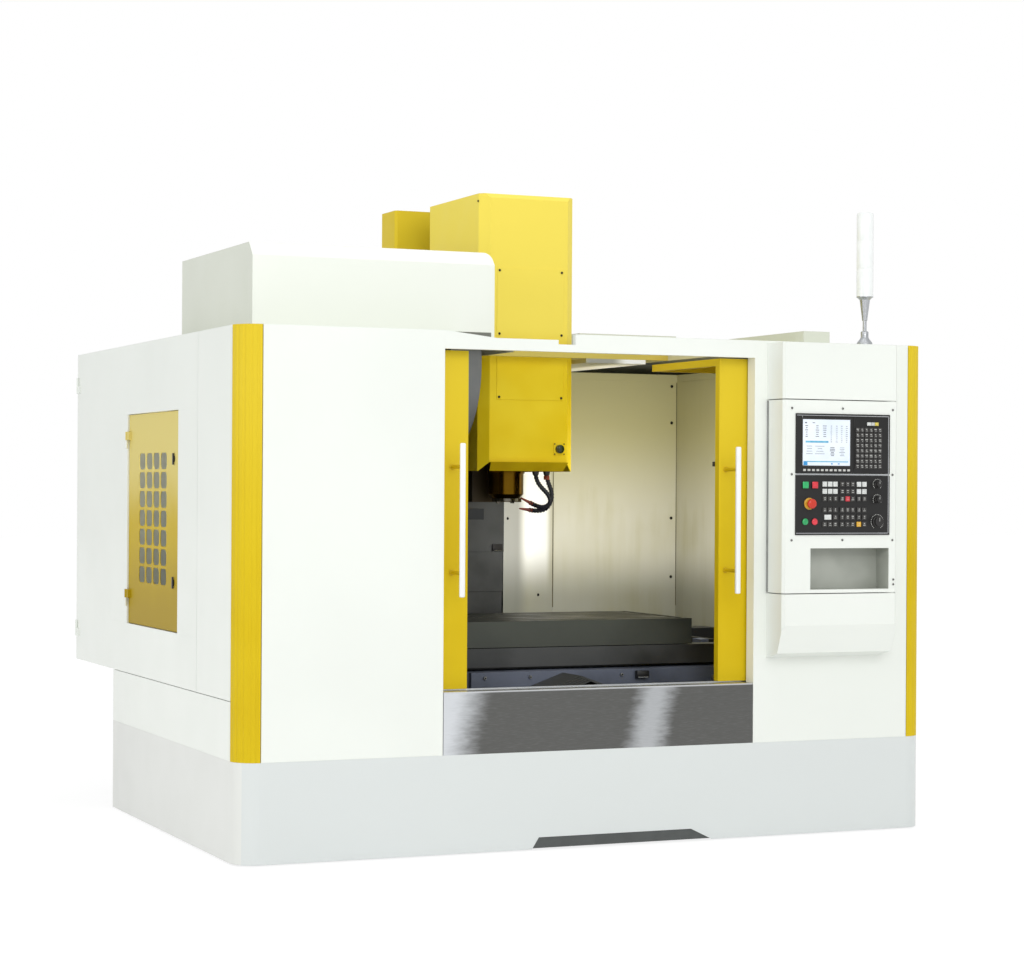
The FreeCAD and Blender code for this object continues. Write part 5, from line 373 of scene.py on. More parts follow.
# a dark casting whose brown-yellow tint is a painted reflection of the yellow cover
headIronPaintedYellowReflection = castIron("headIronPaintedYellowReflection", tone(58, 44, 12), tone(32, 25, 8), roughness=0.5)
tableIron = castIron("tableIron", tone(78, 81, 73), tone(66, 69, 62), roughness=0.46,
                     metallic=0.4, scale=180, upper=tone(18, 16, 9))
coverSteel = castIron("coverSteel", tone(82, 83, 82), tone(62, 63, 62), roughness=0.42,
                      metallic=0.5, scale=220)
guardSteel = castIron("guardSteel", tone(132, 134, 134), tone(112, 114, 114), roughness=0.45)
panSteel = brushedSteel("panSteel", tone(168, 176, 190), tone(120, 128, 142), roughness=0.4)
groundSteel = brushedSteel("groundSteel", tone(206, 206, 204), tone(170, 170, 168),
                           roughness=0.24, stretch=(30, 30, 4))
blackPlastic = mouldedPlastic("blackPlastic", tone(34, 32, 31), tone(24, 23, 23))
panelBlack = mouldedPlastic("panelBlack", tone(14, 13, 12), tone(10, 9, 9), roughness=0.5)
motorBlack = mouldedPlastic("motorBlack", tone(28, 28, 30), tone(18, 18, 20), roughness=0.5)
postYellow = sprayedPaint("postYellow", tone(214, 182, 14), tone(202, 168, 8), cloud=8,
                          roughness=0.45, coat=0.0, gloss=0.3)
barWhite = sprayedPaint("barWhite", tone(248, 248, 247), tone(244, 245, 244), cloud=6)
pocketGrey = sprayedPaint("pocketGrey", tone(182, 185, 176), tone(166, 169, 160), cloud=5)


# rolled threads: fine rings along the screw's own axis
def makeThreadSteel(name, axis, pitch):
    finish, tree, shader, place = startFinish(name, 0.22, metallic=1.0)
    turns = work(tree, "MULTIPLY", along(tree, place, axis), 2 * math.pi / pitch)
    wave = work(tree, "SINE", turns, 0.0)
    oil = grain(tree, place, 9, detail=3)
    oiled = remap(tree, oil, 0.35, 0.65, 0, 1)
    paint(tree, shader, blendTones(tree, oiled, tone(196, 192, 180), tone(150, 142, 120)))
    relief(tree, shader, wave, 0.6, 0.003)
    return finish


def makeSightGlass():
    finish, tree, shader, place = startFinish("sightGlass", 0.06)
    shader.inputs["Transmission Weight"].default_value = 0.9
    shader.inputs["IOR"].default_value = 1.5
    film = grain(tree, place, 3, detail=4)
    filmed = remap(tree, film, 0.4, 0.7, 0, 1)
    paint(tree, shader, blendTones(tree, filmed, tone(226, 234, 230), tone(206, 214, 206)))
    roughen(tree, shader, film, 0.04, 0.14)
    return finish


sightGlass = makeSightGlass()


def dress(finish, *names):
    for name in names:
        for slot in nodes[name].material_slots:
            slot.material = finish


dress(whitePaint, "front_panels", "enclosure_panels", "electrical_cabinet", "cabinet_door",
      "console_housings", "console_box")
dress(roofPaint, "roof_panels")
dress(boxPaint, "magazine_cover")
dress(skirtPaint, "base_skirt")
dress(yellowPaint, "corner_columns", "left_door_frame", "right_door_frame", "z_drive_cover")
dress(hoodYellow, "head_cover")
dress(hatchPaint, "side_access_door")
dress(apronSteel, "front_apron")
dress(liningPaint, "chamber_walls")
dress(bedIron, "machine_bed", "column")
dress(darkIron, "levelling_feet", "x_drive_housing", "tool_arm")
dress(headIronPaintedYellowReflection, "headstock")
dress(tableIron, "table")
dress(coverSteel, "z_way_cover_upper", "z_way_cover_middle", "y_way_cover_front",
      "y_way_cover_middle", "y_way_cover_rear", "fixed_way_covers", "saddle_way_covers")
dress(saddleBlue, "saddle")
dress(panSteel, "chip_pans")
dress(guardSteel, "tool_changer", "tool_disc")
dress(groundSteel, "guideways")
dress(blackPlastic, "side_latch_lower", "side_latch_upper")
dress(motorBlack, "servo_motors")
dress(sightGlass, "left_door_window", "right_door_window")
dress(makeThreadSteel("threadX", "X", 0.016), "x_ball_screw")
dress(makeThreadSteel("threadY", "Y", 0.016), "y_ball_screw")
dress(makeThreadSteel("threadZ", "Z", 0.016), "z_ball_screw")
print("finishes made")


# mesh helpers

# turns a built mesh into a finished piece on its body
def settle(bm, name, finish, body, stands=(), smooth=None):
    bmesh.ops.remove_doubles(bm, verts=bm.verts, dist=1e-6)
    bmesh.ops.recalc_face_normals(bm, faces=bm.faces)
    mesh = bpy.data.meshes.new(name)
    bm.to_mesh(mesh)
    bm.free()
    finishes = finish if isinstance(finish, (list, tuple)) else [finish]
    for one in finishes:
        mesh.materials.append(one)
    if smooth is not None:
        mesh.shade_smooth()
        mesh.set_sharp_from_angle(angle=math.radians(smooth))
    piece = bpy.data.objects.new(name, mesh)
    bpy.context.collection.objects.link(piece)
    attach(piece, body)
    if stands:
        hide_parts(*stands)
    return piece


def addBlock(bm, low, high, round=0.0, segments=2, index=0):
    made = bmesh.ops.create_cube(bm, size=1.0)["verts"]
    low, high = Vector(low), Vector(high)
    for vert in made:
        vert.co = Vector(((low[i] + high[i]) / 2 + vert.co[i] * (high[i] - low[i])
                          for i in range(3)))
    faces = {face for vert in made for face in vert.link_faces}
    for face in faces:
        face.material_index = index
    if round:
        edges = {edge for vert in made for edge in vert.link_edges}
        bmesh.ops.bevel(bm, geom=list(edges), offset=round, segments=segments,
                        profile=0.5, affect="EDGES", material=index)


# a turned piece: (radius, how far along the axis) from one end to the other. It is added
# before a rounded block, as after one the order of its corners changes from run to run
def addTurned(bm, profile, origin, axis, steps=32, index=0, wobble=None):
    axis = Vector(axis).normalized()
    side = axis.orthogonal().normalized()
    up = axis.cross(side)
    origin = Vector(origin)
    rings = []
    for radius, far in profile:
        if radius <= 1e-7:
            rings.append([bm.verts.new(origin + axis * far)])
            continue
        ring = []
        for step in range(steps):
            angle = 2 * math.pi * step / steps
            reach = radius * (wobble(angle, far) if wobble else 1)
            ring.append(bm.verts.new(origin + axis * far + (side * math.cos(angle)
                                     + up * math.sin(angle)) * reach))
        rings.append(ring)
    for before, after in zip(rings, rings[1:]):
        for step in range(steps):
            nextStep = (step + 1) % steps
            if len(before) == 1:
                corners = (before[0], after[step], after[nextStep])
            elif len(after) == 1:
                corners = (before[step], before[nextStep], after[0])
            else:
                corners = (before[step], before[nextStep], after[nextStep], after[step])
            bm.faces.new(corners).material_index = index


# the faces between two rings of corners
def joinRings(bm, one, other):
    for i in range(len(one)):
        k = (i + 1) % len(one)
        bm.faces.new((one[i], one[k], other[k], other[i]))


# geometry node helpers

def startTree(name, numbers):
    tree = bpy.data.node_groups.new(name, "GeometryNodeTree")
    tree.interface.new_socket("Geometry", in_out="INPUT", socket_type="NodeSocketGeometry")
    for label, kind in numbers:
        tree.interface.new_socket(label, in_out="INPUT", socket_type=kind)
    tree.interface.new_socket("Geometry", in_out="OUTPUT", socket_type="NodeSocketGeometry")
    start = tree.nodes.new("NodeGroupInput")
    end = tree.nodes.new("NodeGroupOutput")
    return tree, start, end


def putNode(tree, kind, wires=None, **settings):
    node = tree.nodes.new(kind)
    for key, value in settings.items():
        setattr(node, key, value)
    for key, value in (wires or {}).items():
        feed(tree, node.inputs[key], value)
    return node


def times(tree, value, share):
    return putNode(tree, "ShaderNodeMath", {0: value, 1: share}, operation="MULTIPLY").outputs[0]


def carriedVector(tree, name):
    return putNode(tree, "GeometryNodeInputNamedAttribute", {"Name": name},
                   data_type="FLOAT_VECTOR").outputs["Attribute"]


# the end that every tree has: real geometry in one finish
def endTree(tree, end, shape, finish):
    plain = putNode(tree, "GeometryNodeRealizeInstances", {"Geometry": shape})
    coated = putNode(tree, "GeometryNodeSetMaterial", {
        "Geometry": plain.outputs[0], "Material": finish})
    tree.links.new(coated.outputs[0], end.inputs["Geometry"])


# runs a tree on a piece once and keeps the result as a plain mesh
def growPiece(name, points, tree, values, body, facings=None, tones=None, edges=(),
              smooth=None, sizes=None):
    mesh = bpy.data.meshes.new(name + "Points")
    mesh.from_pydata([Vector(point) for point in points], list(edges), [])
    if facings:
        layer = mesh.attributes.new("facing", "FLOAT_VECTOR", "POINT")
        for item, facing in zip(layer.data, facings):
            item.vector = facing
    if tones:
        layer = mesh.attributes.new("capTone", "FLOAT_COLOR", "POINT")
        for item, value in zip(layer.data, tones):
            item.color = value
    if sizes:
        layer = mesh.attributes.new("capSize", "FLOAT_VECTOR", "POINT")
        for item, value in zip(layer.data, sizes):
            item.vector = value
    piece = bpy.data.objects.new(name, mesh)
    bpy.context.collection.objects.link(piece)
    modifier = piece.modifiers.new("grow", "NODES")
    modifier.node_group = tree
    sockets = {item.name: item.identifier for item in tree.interface.items_tree
               if item.item_type == "SOCKET" and item.in_out == "INPUT"}
    for label, value in values.items():
        modifier[sockets[label]] = value
    shown = piece.evaluated_get(bpy.context.evaluated_depsgraph_get())
    grown = bpy.data.meshes.new_from_object(shown)
    piece.modifiers.clear()
    piece.data = grown
    grown.name = name
    if smooth is not None:
        grown.shade_smooth()
        grown.set_sharp_from_angle(angle=math.radians(smooth))
    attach(piece, body)
    return piece


# pan-head screws with a socket, standing on the points of a mesh
def makeScrewTree():
    tree, start, end = startTree("screwHeads", [
        ("Head radius", "NodeSocketFloat"), ("Head height", "NodeSocketFloat"),
        ("Head finish", "NodeSocketMaterial"), ("Socket finish", "NodeSocketMaterial")])
    radius, height = start.outputs["Head radius"], start.outputs["Head height"]
    turn = putNode(tree, "FunctionNodeAlignRotationToVector",
                   {"Vector": carriedVector(tree, "facing")}, axis="Z")

    def raised(shape, up):
        place = putNode(tree, "ShaderNodeCombineXYZ", {"Z": up})
        return putNode(tree, "GeometryNodeTransform",
                       {"Geometry": shape, "Translation": place.outputs[0]}).outputs[0]

    head = putNode(tree, "GeometryNodeMeshCone", {
        "Vertices": 14, "Radius Top": times(tree, radius, 0.78), "Radius Bottom": radius,
        "Depth": height})
    # the socket is a dark hexagon standing on the head, painted shade of the recess
    socket = putNode(tree, "GeometryNodeMeshCylinder", {
        "Vertices": 6, "Radius": times(tree, radius, 0.5), "Depth": times(tree, height, 0.5)})
    lifted = raised(socket.outputs["Mesh"], times(tree, height, 0.78))
    marked = putNode(tree, "GeometryNodeStoreNamedAttribute", {
        "Geometry": lifted, "Name": "socketFace", "Value": True},
        data_type="BOOLEAN", domain="FACE")
    both = putNode(tree, "GeometryNodeJoinGeometry")
    tree.links.new(head.outputs["Mesh"], both.inputs[0])
    tree.links.new(marked.outputs[0], both.inputs[0])
    spread = putNode(tree, "GeometryNodeInstanceOnPoints", {
        "Points": start.outputs["Geometry"], "Instance": both.outputs[0],
        "Rotation": turn.outputs[0]})
    plain = putNode(tree, "GeometryNodeRealizeInstances", {"Geometry": spread.outputs[0]})
    heads = putNode(tree, "GeometryNodeSetMaterial", {
        "Geometry": plain.outputs[0], "Material": start.outputs["Head finish"]})
    sockets = putNode(tree, "GeometryNodeInputNamedAttribute", {"Name": "socketFace"},
                      data_type="BOOLEAN")
    both = putNode(tree, "GeometryNodeSetMaterial", {
        "Geometry": heads.outputs[0], "Selection": sockets.outputs["Attribute"],
        "Material": start.outputs["Socket finish"]})
    tree.links.new(both.outputs[0], end.inputs["Geometry"])
    return tree


# key caps: chamfered blocks that carry the tone of their point
def makeKeyTree():
    tree, start, end = startTree("keyCaps", [
        ("Cap height", "NodeSocketFloat"), ("Chamfer", "NodeSocketFloat"),
        ("Cap finish", "NodeSocketMaterial")])
    block = putNode(tree, "GeometryNodeMeshCube", {"Size": (1, 1, 1)})
    normal = putNode(tree, "GeometryNodeInputNormal")
    facing = putNode(tree, "ShaderNodeSeparateXYZ", {0: normal.outputs[0]})
    front = putNode(tree, "FunctionNodeCompare", {0: facing.outputs["Y"], 1: -0.5},
                    data_type="FLOAT", operation="LESS_THAN")
    pushed = putNode(tree, "GeometryNodeExtrudeMesh", {
        "Mesh": block.outputs["Mesh"], "Selection": front.outputs["Result"],
        "Offset Scale": 0.25}, mode="FACES")
    smaller = putNode(tree, "GeometryNodeScaleElements", {
        "Geometry": pushed.outputs["Mesh"], "Selection": pushed.outputs["Top"],
        "Scale": start.outputs["Chamfer"]}, domain="FACE")
    height = putNode(tree, "ShaderNodeCombineXYZ", {
        "X": 1.0, "Y": start.outputs["Cap height"], "Z": 1.0})
    scale = putNode(tree, "ShaderNodeVectorMath", {
        0: carriedVector(tree, "capSize"), 1: height.outputs[0]}, operation="MULTIPLY")
    spread = putNode(tree, "GeometryNodeInstanceOnPoints", {
        "Points": start.outputs["Geometry"], "Instance": smaller.outputs["Geometry"],
        "Scale": scale.outputs[0]})
    endTree(tree, end, spread.outputs[0], start.outputs["Cap finish"])
    return tree


# flat bars of random length, for marks on keys and rows on the screen
def makeBarTree():
    tree, start, end = startTree("markBars", [
        ("Thickness", "NodeSocketFloat"), ("Shortest", "NodeSocketFloat"),
        ("Seed", "NodeSocketInt"), ("Bar finish", "NodeSocketMaterial")])
    block = putNode(tree, "GeometryNodeMeshCube", {"Size": (1, 1, 1)})
    chance = putNode(tree, "FunctionNodeRandomValue", {"Seed": start.outputs["Seed"]},
                     data_type="FLOAT")
    chance.inputs[3].default_value = 1.0
    tree.links.new(start.outputs["Shortest"], chance.inputs[2])
    shrink = putNode(tree, "ShaderNodeCombineXYZ", {
        "X": chance.outputs[1], "Y": start.outputs["Thickness"], "Z": 1.0})
    scale = putNode(tree, "ShaderNodeVectorMath", {
        0: carriedVector(tree, "capSize"), 1: shrink.outputs[0]}, operation="MULTIPLY")
    spread = putNode(tree, "GeometryNodeInstanceOnPoints", {
        "Points": start.outputs["Geometry"], "Instance": block.outputs["Mesh"],
        "Scale": scale.outputs[0]})
    endTree(tree, end, spread.outputs[0], start.outputs["Bar finish"])
    return tree


# ball-and-socket links along a hose's line
def makeLinkTree():
    tree, start, end = startTree("hoseLinks", [
        ("Link length", "NodeSocketFloat"), ("Hose radius", "NodeSocketFloat"),
        ("Link finish", "NodeSocketMaterial")])
    line = putNode(tree, "GeometryNodeMeshToCurve", {"Mesh": start.outputs["Geometry"]})
    even = putNode(tree, "GeometryNodeResampleCurve", {
        "Curve": line.outputs[0], "Length": start.outputs["Link length"]}, mode="LENGTH")
    tangent = putNode(tree, "GeometryNodeInputTangent")
    turn = putNode(tree, "FunctionNodeAlignRotationToVector",
                   {"Vector": tangent.outputs[0]}, axis="Z")
    radius, length = start.outputs["Hose radius"], start.outputs["Link length"]
    cup = putNode(tree, "GeometryNodeMeshCone", {
        "Vertices": 20, "Radius Top": radius, "Radius Bottom": times(tree, radius, 0.80),
        "Depth": times(tree, length, 0.62)})
    collar = putNode(tree, "GeometryNodeMeshCylinder", {
        "Vertices": 20, "Radius": times(tree, radius, 0.76), "Depth": times(tree, length, 1.1)})
    both = putNode(tree, "GeometryNodeJoinGeometry")
    tree.links.new(cup.outputs["Mesh"], both.inputs[0])
    tree.links.new(collar.outputs["Mesh"], both.inputs[0])
    spread = putNode(tree, "GeometryNodeInstanceOnPoints", {
        "Points": even.outputs[0], "Instance": both.outputs[0], "Rotation": turn.outputs[0]})
    endTree(tree, end, spread.outputs[0], start.outputs["Link finish"])
    return tree


screwTree = makeScrewTree()
keyTree = makeKeyTree()
barTree = makeBarTree()
linkTree = makeLinkTree()
print("trees made")


# finishes of the pieces

# key caps take the tone that their point carried
def makeCapPlastic():
    finish, tree, shader, place = startFinish("capPlastic", 0.4)
    carried = tree.nodes.new("ShaderNodeAttribute")
    carried.attribute_name = "capTone"
    rub = remap(tree, grain(tree, place, 60, detail=3), 0.35, 0.7, 0, 0.18)
    paint(tree, shader, blendTones(tree, rub, carried.outputs["Color"], tone(120, 118, 114)))
    relief(tree, shader, grain(tree, place, 1500, detail=1), 0.08, 0.0001)
    return finish


def glowing(name, main, other, strength, scale=30):
    finish, tree, shader, place = startFinish(name, 0.25, coat=0.4)
    cloud = remap(tree, grain(tree, place, scale), 0.3, 0.7, 0, 1)
    colour = blendTones(tree, cloud, main, other)
    paint(tree, shader, colour)
    tree.links.new(colour, shader.inputs["Emission Color"])
    shader.inputs["Emission Strength"].default_value = strength
    relief(tree, shader, grain(tree, place, 260), 0.04, 0.0004)
    return finish


capPlastic = makeCapPlastic()
zincSteel = brushedSteel("zincSteel", tone(176, 176, 172), tone(132, 132, 128), roughness=0.36,
                         stretch=(40, 40, 40), rounded=0.0004)
trimSilver = brushedSteel("trimSilver", tone(214, 216, 218), tone(176, 178, 182),
                          roughness=0.28, stretch=(30, 30, 30), rounded=0.0008)
# black for dark screws, and painted shade for screw sockets and the vent's inside
blackAndRecessShade = mouldedPlastic("blackAndRecessShade", tone(24, 24, 22), tone(12, 12, 12), roughness=0.7)
hoseBlack = mouldedPlastic("hoseBlack", tone(26, 28, 34), tone(14, 16, 26), roughness=0.34)
nozzleRed = mouldedPlastic("nozzleRed", tone(150, 62, 34), tone(112, 40, 22), roughness=0.4)
stopRed = mouldedPlastic("stopRed", tone(222, 74, 40), tone(204, 48, 32), roughness=0.3,
                         strength=0.03)
stopYellow = mouldedPlastic("stopYellow", tone(226, 172, 44), tone(206, 148, 36))
goGreen = glowing("goGreen", tone(40, 178, 104), tone(22, 150, 84), 0.12)
haltRed = glowing("haltRed", tone(222, 52, 66), tone(188, 30, 44), 0.12)
screenWhite = glowing("screenWhite", tone(226, 232, 240), tone(216, 226, 238), 0.22, scale=8)
screenCyan = glowing("screenCyan", tone(110, 186, 216), tone(84, 164, 204), 0.12, scale=60)
screenBlue = glowing("screenBlue", tone(62, 158, 214), tone(44, 138, 200), 0.12, scale=60)
screenGrey = glowing("screenGrey", tone(120, 126, 138), tone(92, 100, 116), 0.02, scale=120)
legendGrey = mouldedPlastic("legendGrey", tone(206, 206, 202), tone(184, 184, 180))
glandGreen = mouldedPlastic("glandGreen", tone(48, 62, 30), tone(30, 42, 22), roughness=0.18)
lampWhite = glowing("lampWhite", tone(246, 248, 247), tone(238, 241, 240), 0.03, scale=5)
# steel whose gold tint is a painted reflection of the yellow head cover
steelWithPaintedYellowReflection = brushedSteel("steelWithPaintedYellowReflection", tone(110, 80, 16), tone(60, 42, 8), roughness=0.24,
                         stretch=(2, 2, 60))
dress(steelWithPaintedYellowReflection, "spindle_cartridge")
shadowGapGrey = mouldedPlastic("shadowGapGrey", tone(152, 154, 152), tone(136, 138, 136),
                            roughness=0.75)
spindleSteel = brushedSteel("spindleSteel", tone(112, 108, 98), tone(70, 66, 56),
                            roughness=0.3, stretch=(30, 30, 4))
dress(spindleSteel, "spindle")
shieldGrey = mouldedPlastic("shieldGrey", tone(84, 87, 86), tone(76, 79, 78), roughness=0.6)
seamBrown = mouldedPlastic("seamBrown", tone(96, 90, 66), tone(70, 66, 50), roughness=0.7)


# signal tower

towerSizes = {
    "flange": 0.036, "collar": 0.018, "neck": 0.009, "lamp": 0.039,
    "collarTop": 0.062, "neckTop": 0.112, "lampLow": 0.220, "round": 0.004,
}


def makeTower(sizes):
    low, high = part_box("signal_tower")
    middle = (low + high) / 2
    base = Vector((middle.x, middle.y, low.z))
    tall = high.z - low.z
    bm = bmesh.new()
    addTurned(bm, [
        (0, 0), (sizes["flange"], 0), (sizes["flange"], 0.008), (sizes["flange"] - 0.004, 0.014),
        (sizes["collar"] + 0.004, 0.026), (sizes["collar"], 0.034),
        (sizes["collar"], sizes["collarTop"] - 0.003), (sizes["collar"] - 0.003, sizes["collarTop"]),
        (sizes["neck"], sizes["collarTop"] + 0.001), (sizes["neck"], sizes["neckTop"] - 0.002),
        (0.012, sizes["neckTop"]), (0.014, sizes["neckTop"] + 0.02),
        (0.024, sizes["lampLow"] - 0.012), (sizes["lamp"] - 0.006, sizes["lampLow"] - 0.004),
        (sizes["lamp"], sizes["lampLow"]), (sizes["lamp"], sizes["lampLow"] + 0.003),
    ], base, (0, 0, 1), steps=40, index=0)
    lamp = [(sizes["lamp"], sizes["lampLow"] + 0.003)]
    ring = 0.002
    for part in (1, 2):
        seam = sizes["lampLow"] + (tall - sizes["lampLow"]) * part / 3
        lamp += [(sizes["lamp"], seam - ring), (sizes["lamp"] - 0.0008, seam),
                 (sizes["lamp"], seam + ring)]
    lamp += [(sizes["lamp"], tall - sizes["round"] * 2), (sizes["lamp"] - 0.002, tall - 0.003),
             (sizes["lamp"] - 0.008, tall), (0, tall)]
    addTurned(bm, lamp, base, (0, 0, 1), steps=40, index=1)
    settle(bm, "signalTower", [trimSilver, lampWhite], "enclosure", ["signal_tower"], smooth=32)


makeTower(towerSizes)


# operator's console

setIn = 0.0004      # how deep a thin piece is let into what carries it

consoleSizes = {
    "plateProud": 0.006, "plateRound": 0.0014, "bedded": 0.0008, "rim": 0.007,
    "rimProud": 0.0016,
    "lineInset": 0.0066, "lineWide": 0.0031, "lineProud": 0.0008, "dividerLow": 1.6455,
    "dividerTall": 0.0058,
    "dataPitch": 0.0236, "dataSize": 0.0205, "dataLeft": 0.319, "dataLow": 0.033,
    "lampLeft": 0.379, "lampPitch": 0.0205, "lampHeight": 0.226, "lampSize": (0.018, 0.015),
    "modeColumns": (1.0295, 1.0573, 1.0846, 1.1209, 1.1492, 1.1755, 1.2088, 1.2373),
    "modeRows": (1.4204, 1.4526, 1.4853, 1.5355, 1.5691, 1.6017),
    "modeSize": 0.0222, "capProud": 0.0042,
    "screenLow": 0.035, "screenWide": 0.247, "screenTall": 0.208, "screenLeft": 0.034,
}


def makeUnits(sizes):
    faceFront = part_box("console_box")[0].y
    front = faceFront - sizes["plateProud"]
    for name in ("display_unit", "operator_unit"):
        low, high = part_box(name)
        bm = bmesh.new()
        addBlock(bm, (low.x, front, low.z), (high.x, faceFront + sizes["bedded"], high.z),
                 sizes["plateRound"], 3)
        settle(bm, "plate_" + name, panelBlack, "console", [name], smooth=35)
    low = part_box("operator_unit")[0]
    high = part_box("display_unit")[1]
    inset, wide = sizes["lineInset"], sizes["lineWide"]
    right, top, bottom = high.x - inset, high.z - inset, low.z + inset
    divider = sizes["dividerLow"]
    tall = sizes["dividerTall"] / 2
    bm = bmesh.new()
    for x0, z0, x1, z1 in (
            (low.x + 0.004, top - wide, right, top), (right - wide, divider, right, top),
            (right - wide, bottom, right, divider), (low.x + 0.002, bottom, right, bottom + wide),
            (low.x, divider - tall, high.x - 0.003, divider + tall),
            (low.x + 0.0315, top - 0.019, low.x + 0.0335, top)):
        addBlock(bm, (x0, front - sizes["lineProud"], z0), (x1, front + setIn, z1), 0.0003, 1)
    settle(bm, "silverLines", trimSilver, "console", smooth=30)
    # raised bezel round the screen, and the ridge beside the data keys
    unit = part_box("display_unit")[0]
    x0, z0 = unit.x + sizes["screenLeft"], unit.z + sizes["screenLow"]
    x1, z1 = x0 + sizes["screenWide"], z0 + sizes["screenTall"]
    rim = sizes["rim"]
    bm = bmesh.new()
    for one, other in (((x0 - rim, z0 - rim), (x0, z1 + rim)), ((x1, z0 - rim), (x1 + rim, z1 + rim)),
                       ((x0, z1), (x1, z1 + rim)), ((x0, z0 - rim), (x1, z0)),
                       ((x1 + 0.020, z0 - 0.024), (x1 + 0.0225, z1 + 0.014))):
        addBlock(bm, (one[0], front - sizes["rimProud"], one[1]),
                 (other[0], front + setIn, other[1]), 0.0006)
    settle(bm, "screenBezel", blackPlastic, "console", smooth=30)
    return front


unitFront = makeUnits(consoleSizes)


def makeScreen(sizes):
    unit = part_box("display_unit")[0]
    x0, z0 = unit.x + sizes["screenLeft"], unit.z + sizes["screenLow"]
    x1, z1 = x0 + sizes["screenWide"], z0 + sizes["screenTall"]
    glassFront = unitFront - 0.0006
    bm = bmesh.new()
    addBlock(bm, (x0, glassFront, z0), (x1, unitFront + 0.0005, z1), 0.0002, 1)
    settle(bm, "screenGlass", screenWhite, "console")
    wide, tall = x1 - x0, z1 - z0

    # each spot: left and middle height as shares of the screen, then width and height
    def bars(name, spots, finish, shortest, seed):
        points = [(x0 + wide * (u + w / 2), glassFront, z0 + tall * v) for u, v, w, h in spots]
        marks = [(wide * w, 1, tall * h) for u, v, w, h in spots]
        growPiece(name, points, barTree, {"Thickness": 0.0006, "Shortest": shortest,
                                          "Seed": seed, "Bar finish": finish},
                  "console", sizes=marks)

    rows = [(0.04, 0.925, 0.05, 0.026), (0.18, 0.925, 0.10, 0.014)]
    for row in range(6):
        v = 0.86 - row * 0.046
        rows += [(0.05, v, 0.06, 0.016), (0.26, v, 0.09, 0.014), (0.41, v, 0.10, 0.014)]
    for row in range(9):
        v = 0.86 - row * 0.043
        rows += [(0.58, v, 0.04, 0.011), (0.69, v, 0.05, 0.010), (0.80, v, 0.04, 0.010),
                 (0.90, v, 0.05, 0.010)]
    for row in range(4):
        v = 0.42 - row * 0.055
        rows += [(0.06, v, 0.16, 0.008), (0.26, v, 0.2, 0.008)]
    for row in range(6):
        v = 0.39 - row * 0.034
        rows += [(0.57, v, 0.11, 0.016), (0.76, v, 0.14, 0.008)]
    bars("screenRows", rows, screenGrey, 0.45, 4)
    bars("screenBands", [(0.06, 0.515, 0.48, 0.04), (0.10, 0.085, 0.86, 0.022)],
         screenCyan, 1.0, 1)
    bars("screenSquare", [(0.015, 0.05, 0.085, 0.09), (0.60, 0.04, 0.03, 0.03),
                          (0.74, 0.04, 0.04, 0.02)], screenBlue, 1.0, 1)
    bars("softKeys", [(0.01 + 0.093 * i, -0.098, 0.062, 0.044) for i in range(11)],
         legendGrey, 0.85, 2)


makeScreen(consoleSizes)


def makeKeys(sizes):
    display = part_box("display_unit")[0]
    dark = tone(48, 46, 45)
    white = tone(226, 228, 226)
    points, tones, marks = [], [], []
    legendPoints, legendSizes = [], []

    def cap(x, z, wide, tall, colour):
        points.append((x, unitFront - sizes["capProud"] / 2, z))
        tones.append(colour)
        marks.append((wide, 1, tall))

    def legend(x, z, wide, tall):
        legendPoints.append((x, unitFront - sizes["capProud"] - 0.0011, z))
        legendSizes.append((wide, 1, tall))

    # data keys: dark caps with pale marks
    for column in range(6):
        for row in range(8):
            x = display.x + sizes["dataLeft"] + column * sizes["dataPitch"]
            z = display.z + sizes["dataLow"] + row * sizes["dataPitch"]
            cap(x, z, sizes["dataSize"], sizes["dataSize"], dark)
            legend(x - 0.001, z + 0.0036, 0.0135, 0.0032)
            legend(x + 0.001, z - 0.0036, 0.0125, 0.0022)
    for i, colour in enumerate((white, tone(206, 208, 206), tone(226, 206, 92))):
        cap(display.x + sizes["lampLeft"] + i * sizes["lampPitch"],
            display.z + sizes["lampHeight"], *sizes["lampSize"], colour)
    # mode keys, from the lowest row up: white where lamps or axis keys are
    colours = {(4, 3): tone(214, 44, 62), (6, 0): tone(232, 178, 48)}
    for column in (0, 1, 2, 6, 7):
        for row in (4, 5):
            colours[(column, row)] = white
    for column, x in enumerate(sizes["modeColumns"]):
        for row, z in enumerate(sizes["modeRows"]):
            if row == 1 and column == 1:
                continue
            if row == 1 and column == 0:   # the one wide key
                cap(x + 0.0165, z, sizes["modeSize"] * 1.55, sizes["modeSize"], white)
                continue
            colour = colours.get((column, row), dark)
            cap(x, z, sizes["modeSize"], sizes["modeSize"], colour)
            mark = colour == dark
            legend(x, z + 0.004, 0.011, 0.0034 if mark else 0.0012)
            legend(x, z - 0.004, 0.013, 0.0026 if mark else 0.0012)
    growPiece("keyCaps", points, keyTree,
              {"Cap height": sizes["capProud"], "Chamfer": 0.84, "Cap finish": capPlastic},
              "console", tones=tones, sizes=marks)
    growPiece("keyMarks", legendPoints, barTree,
              {"Thickness": 0.0005, "Shortest": 0.35, "Seed": 11, "Bar finish": legendGrey},
              "console", sizes=legendSizes)


makeKeys(consoleSizes)


def nodeCentre(name):
    low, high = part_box(name)
    return (low + high) / 2, low, high


buttonSizes = {"stem": 0.0095, "stopStem": 0.011, "clear": 0.0052, "stopRing": 0.0265,
               "stopBore": 0.0125}


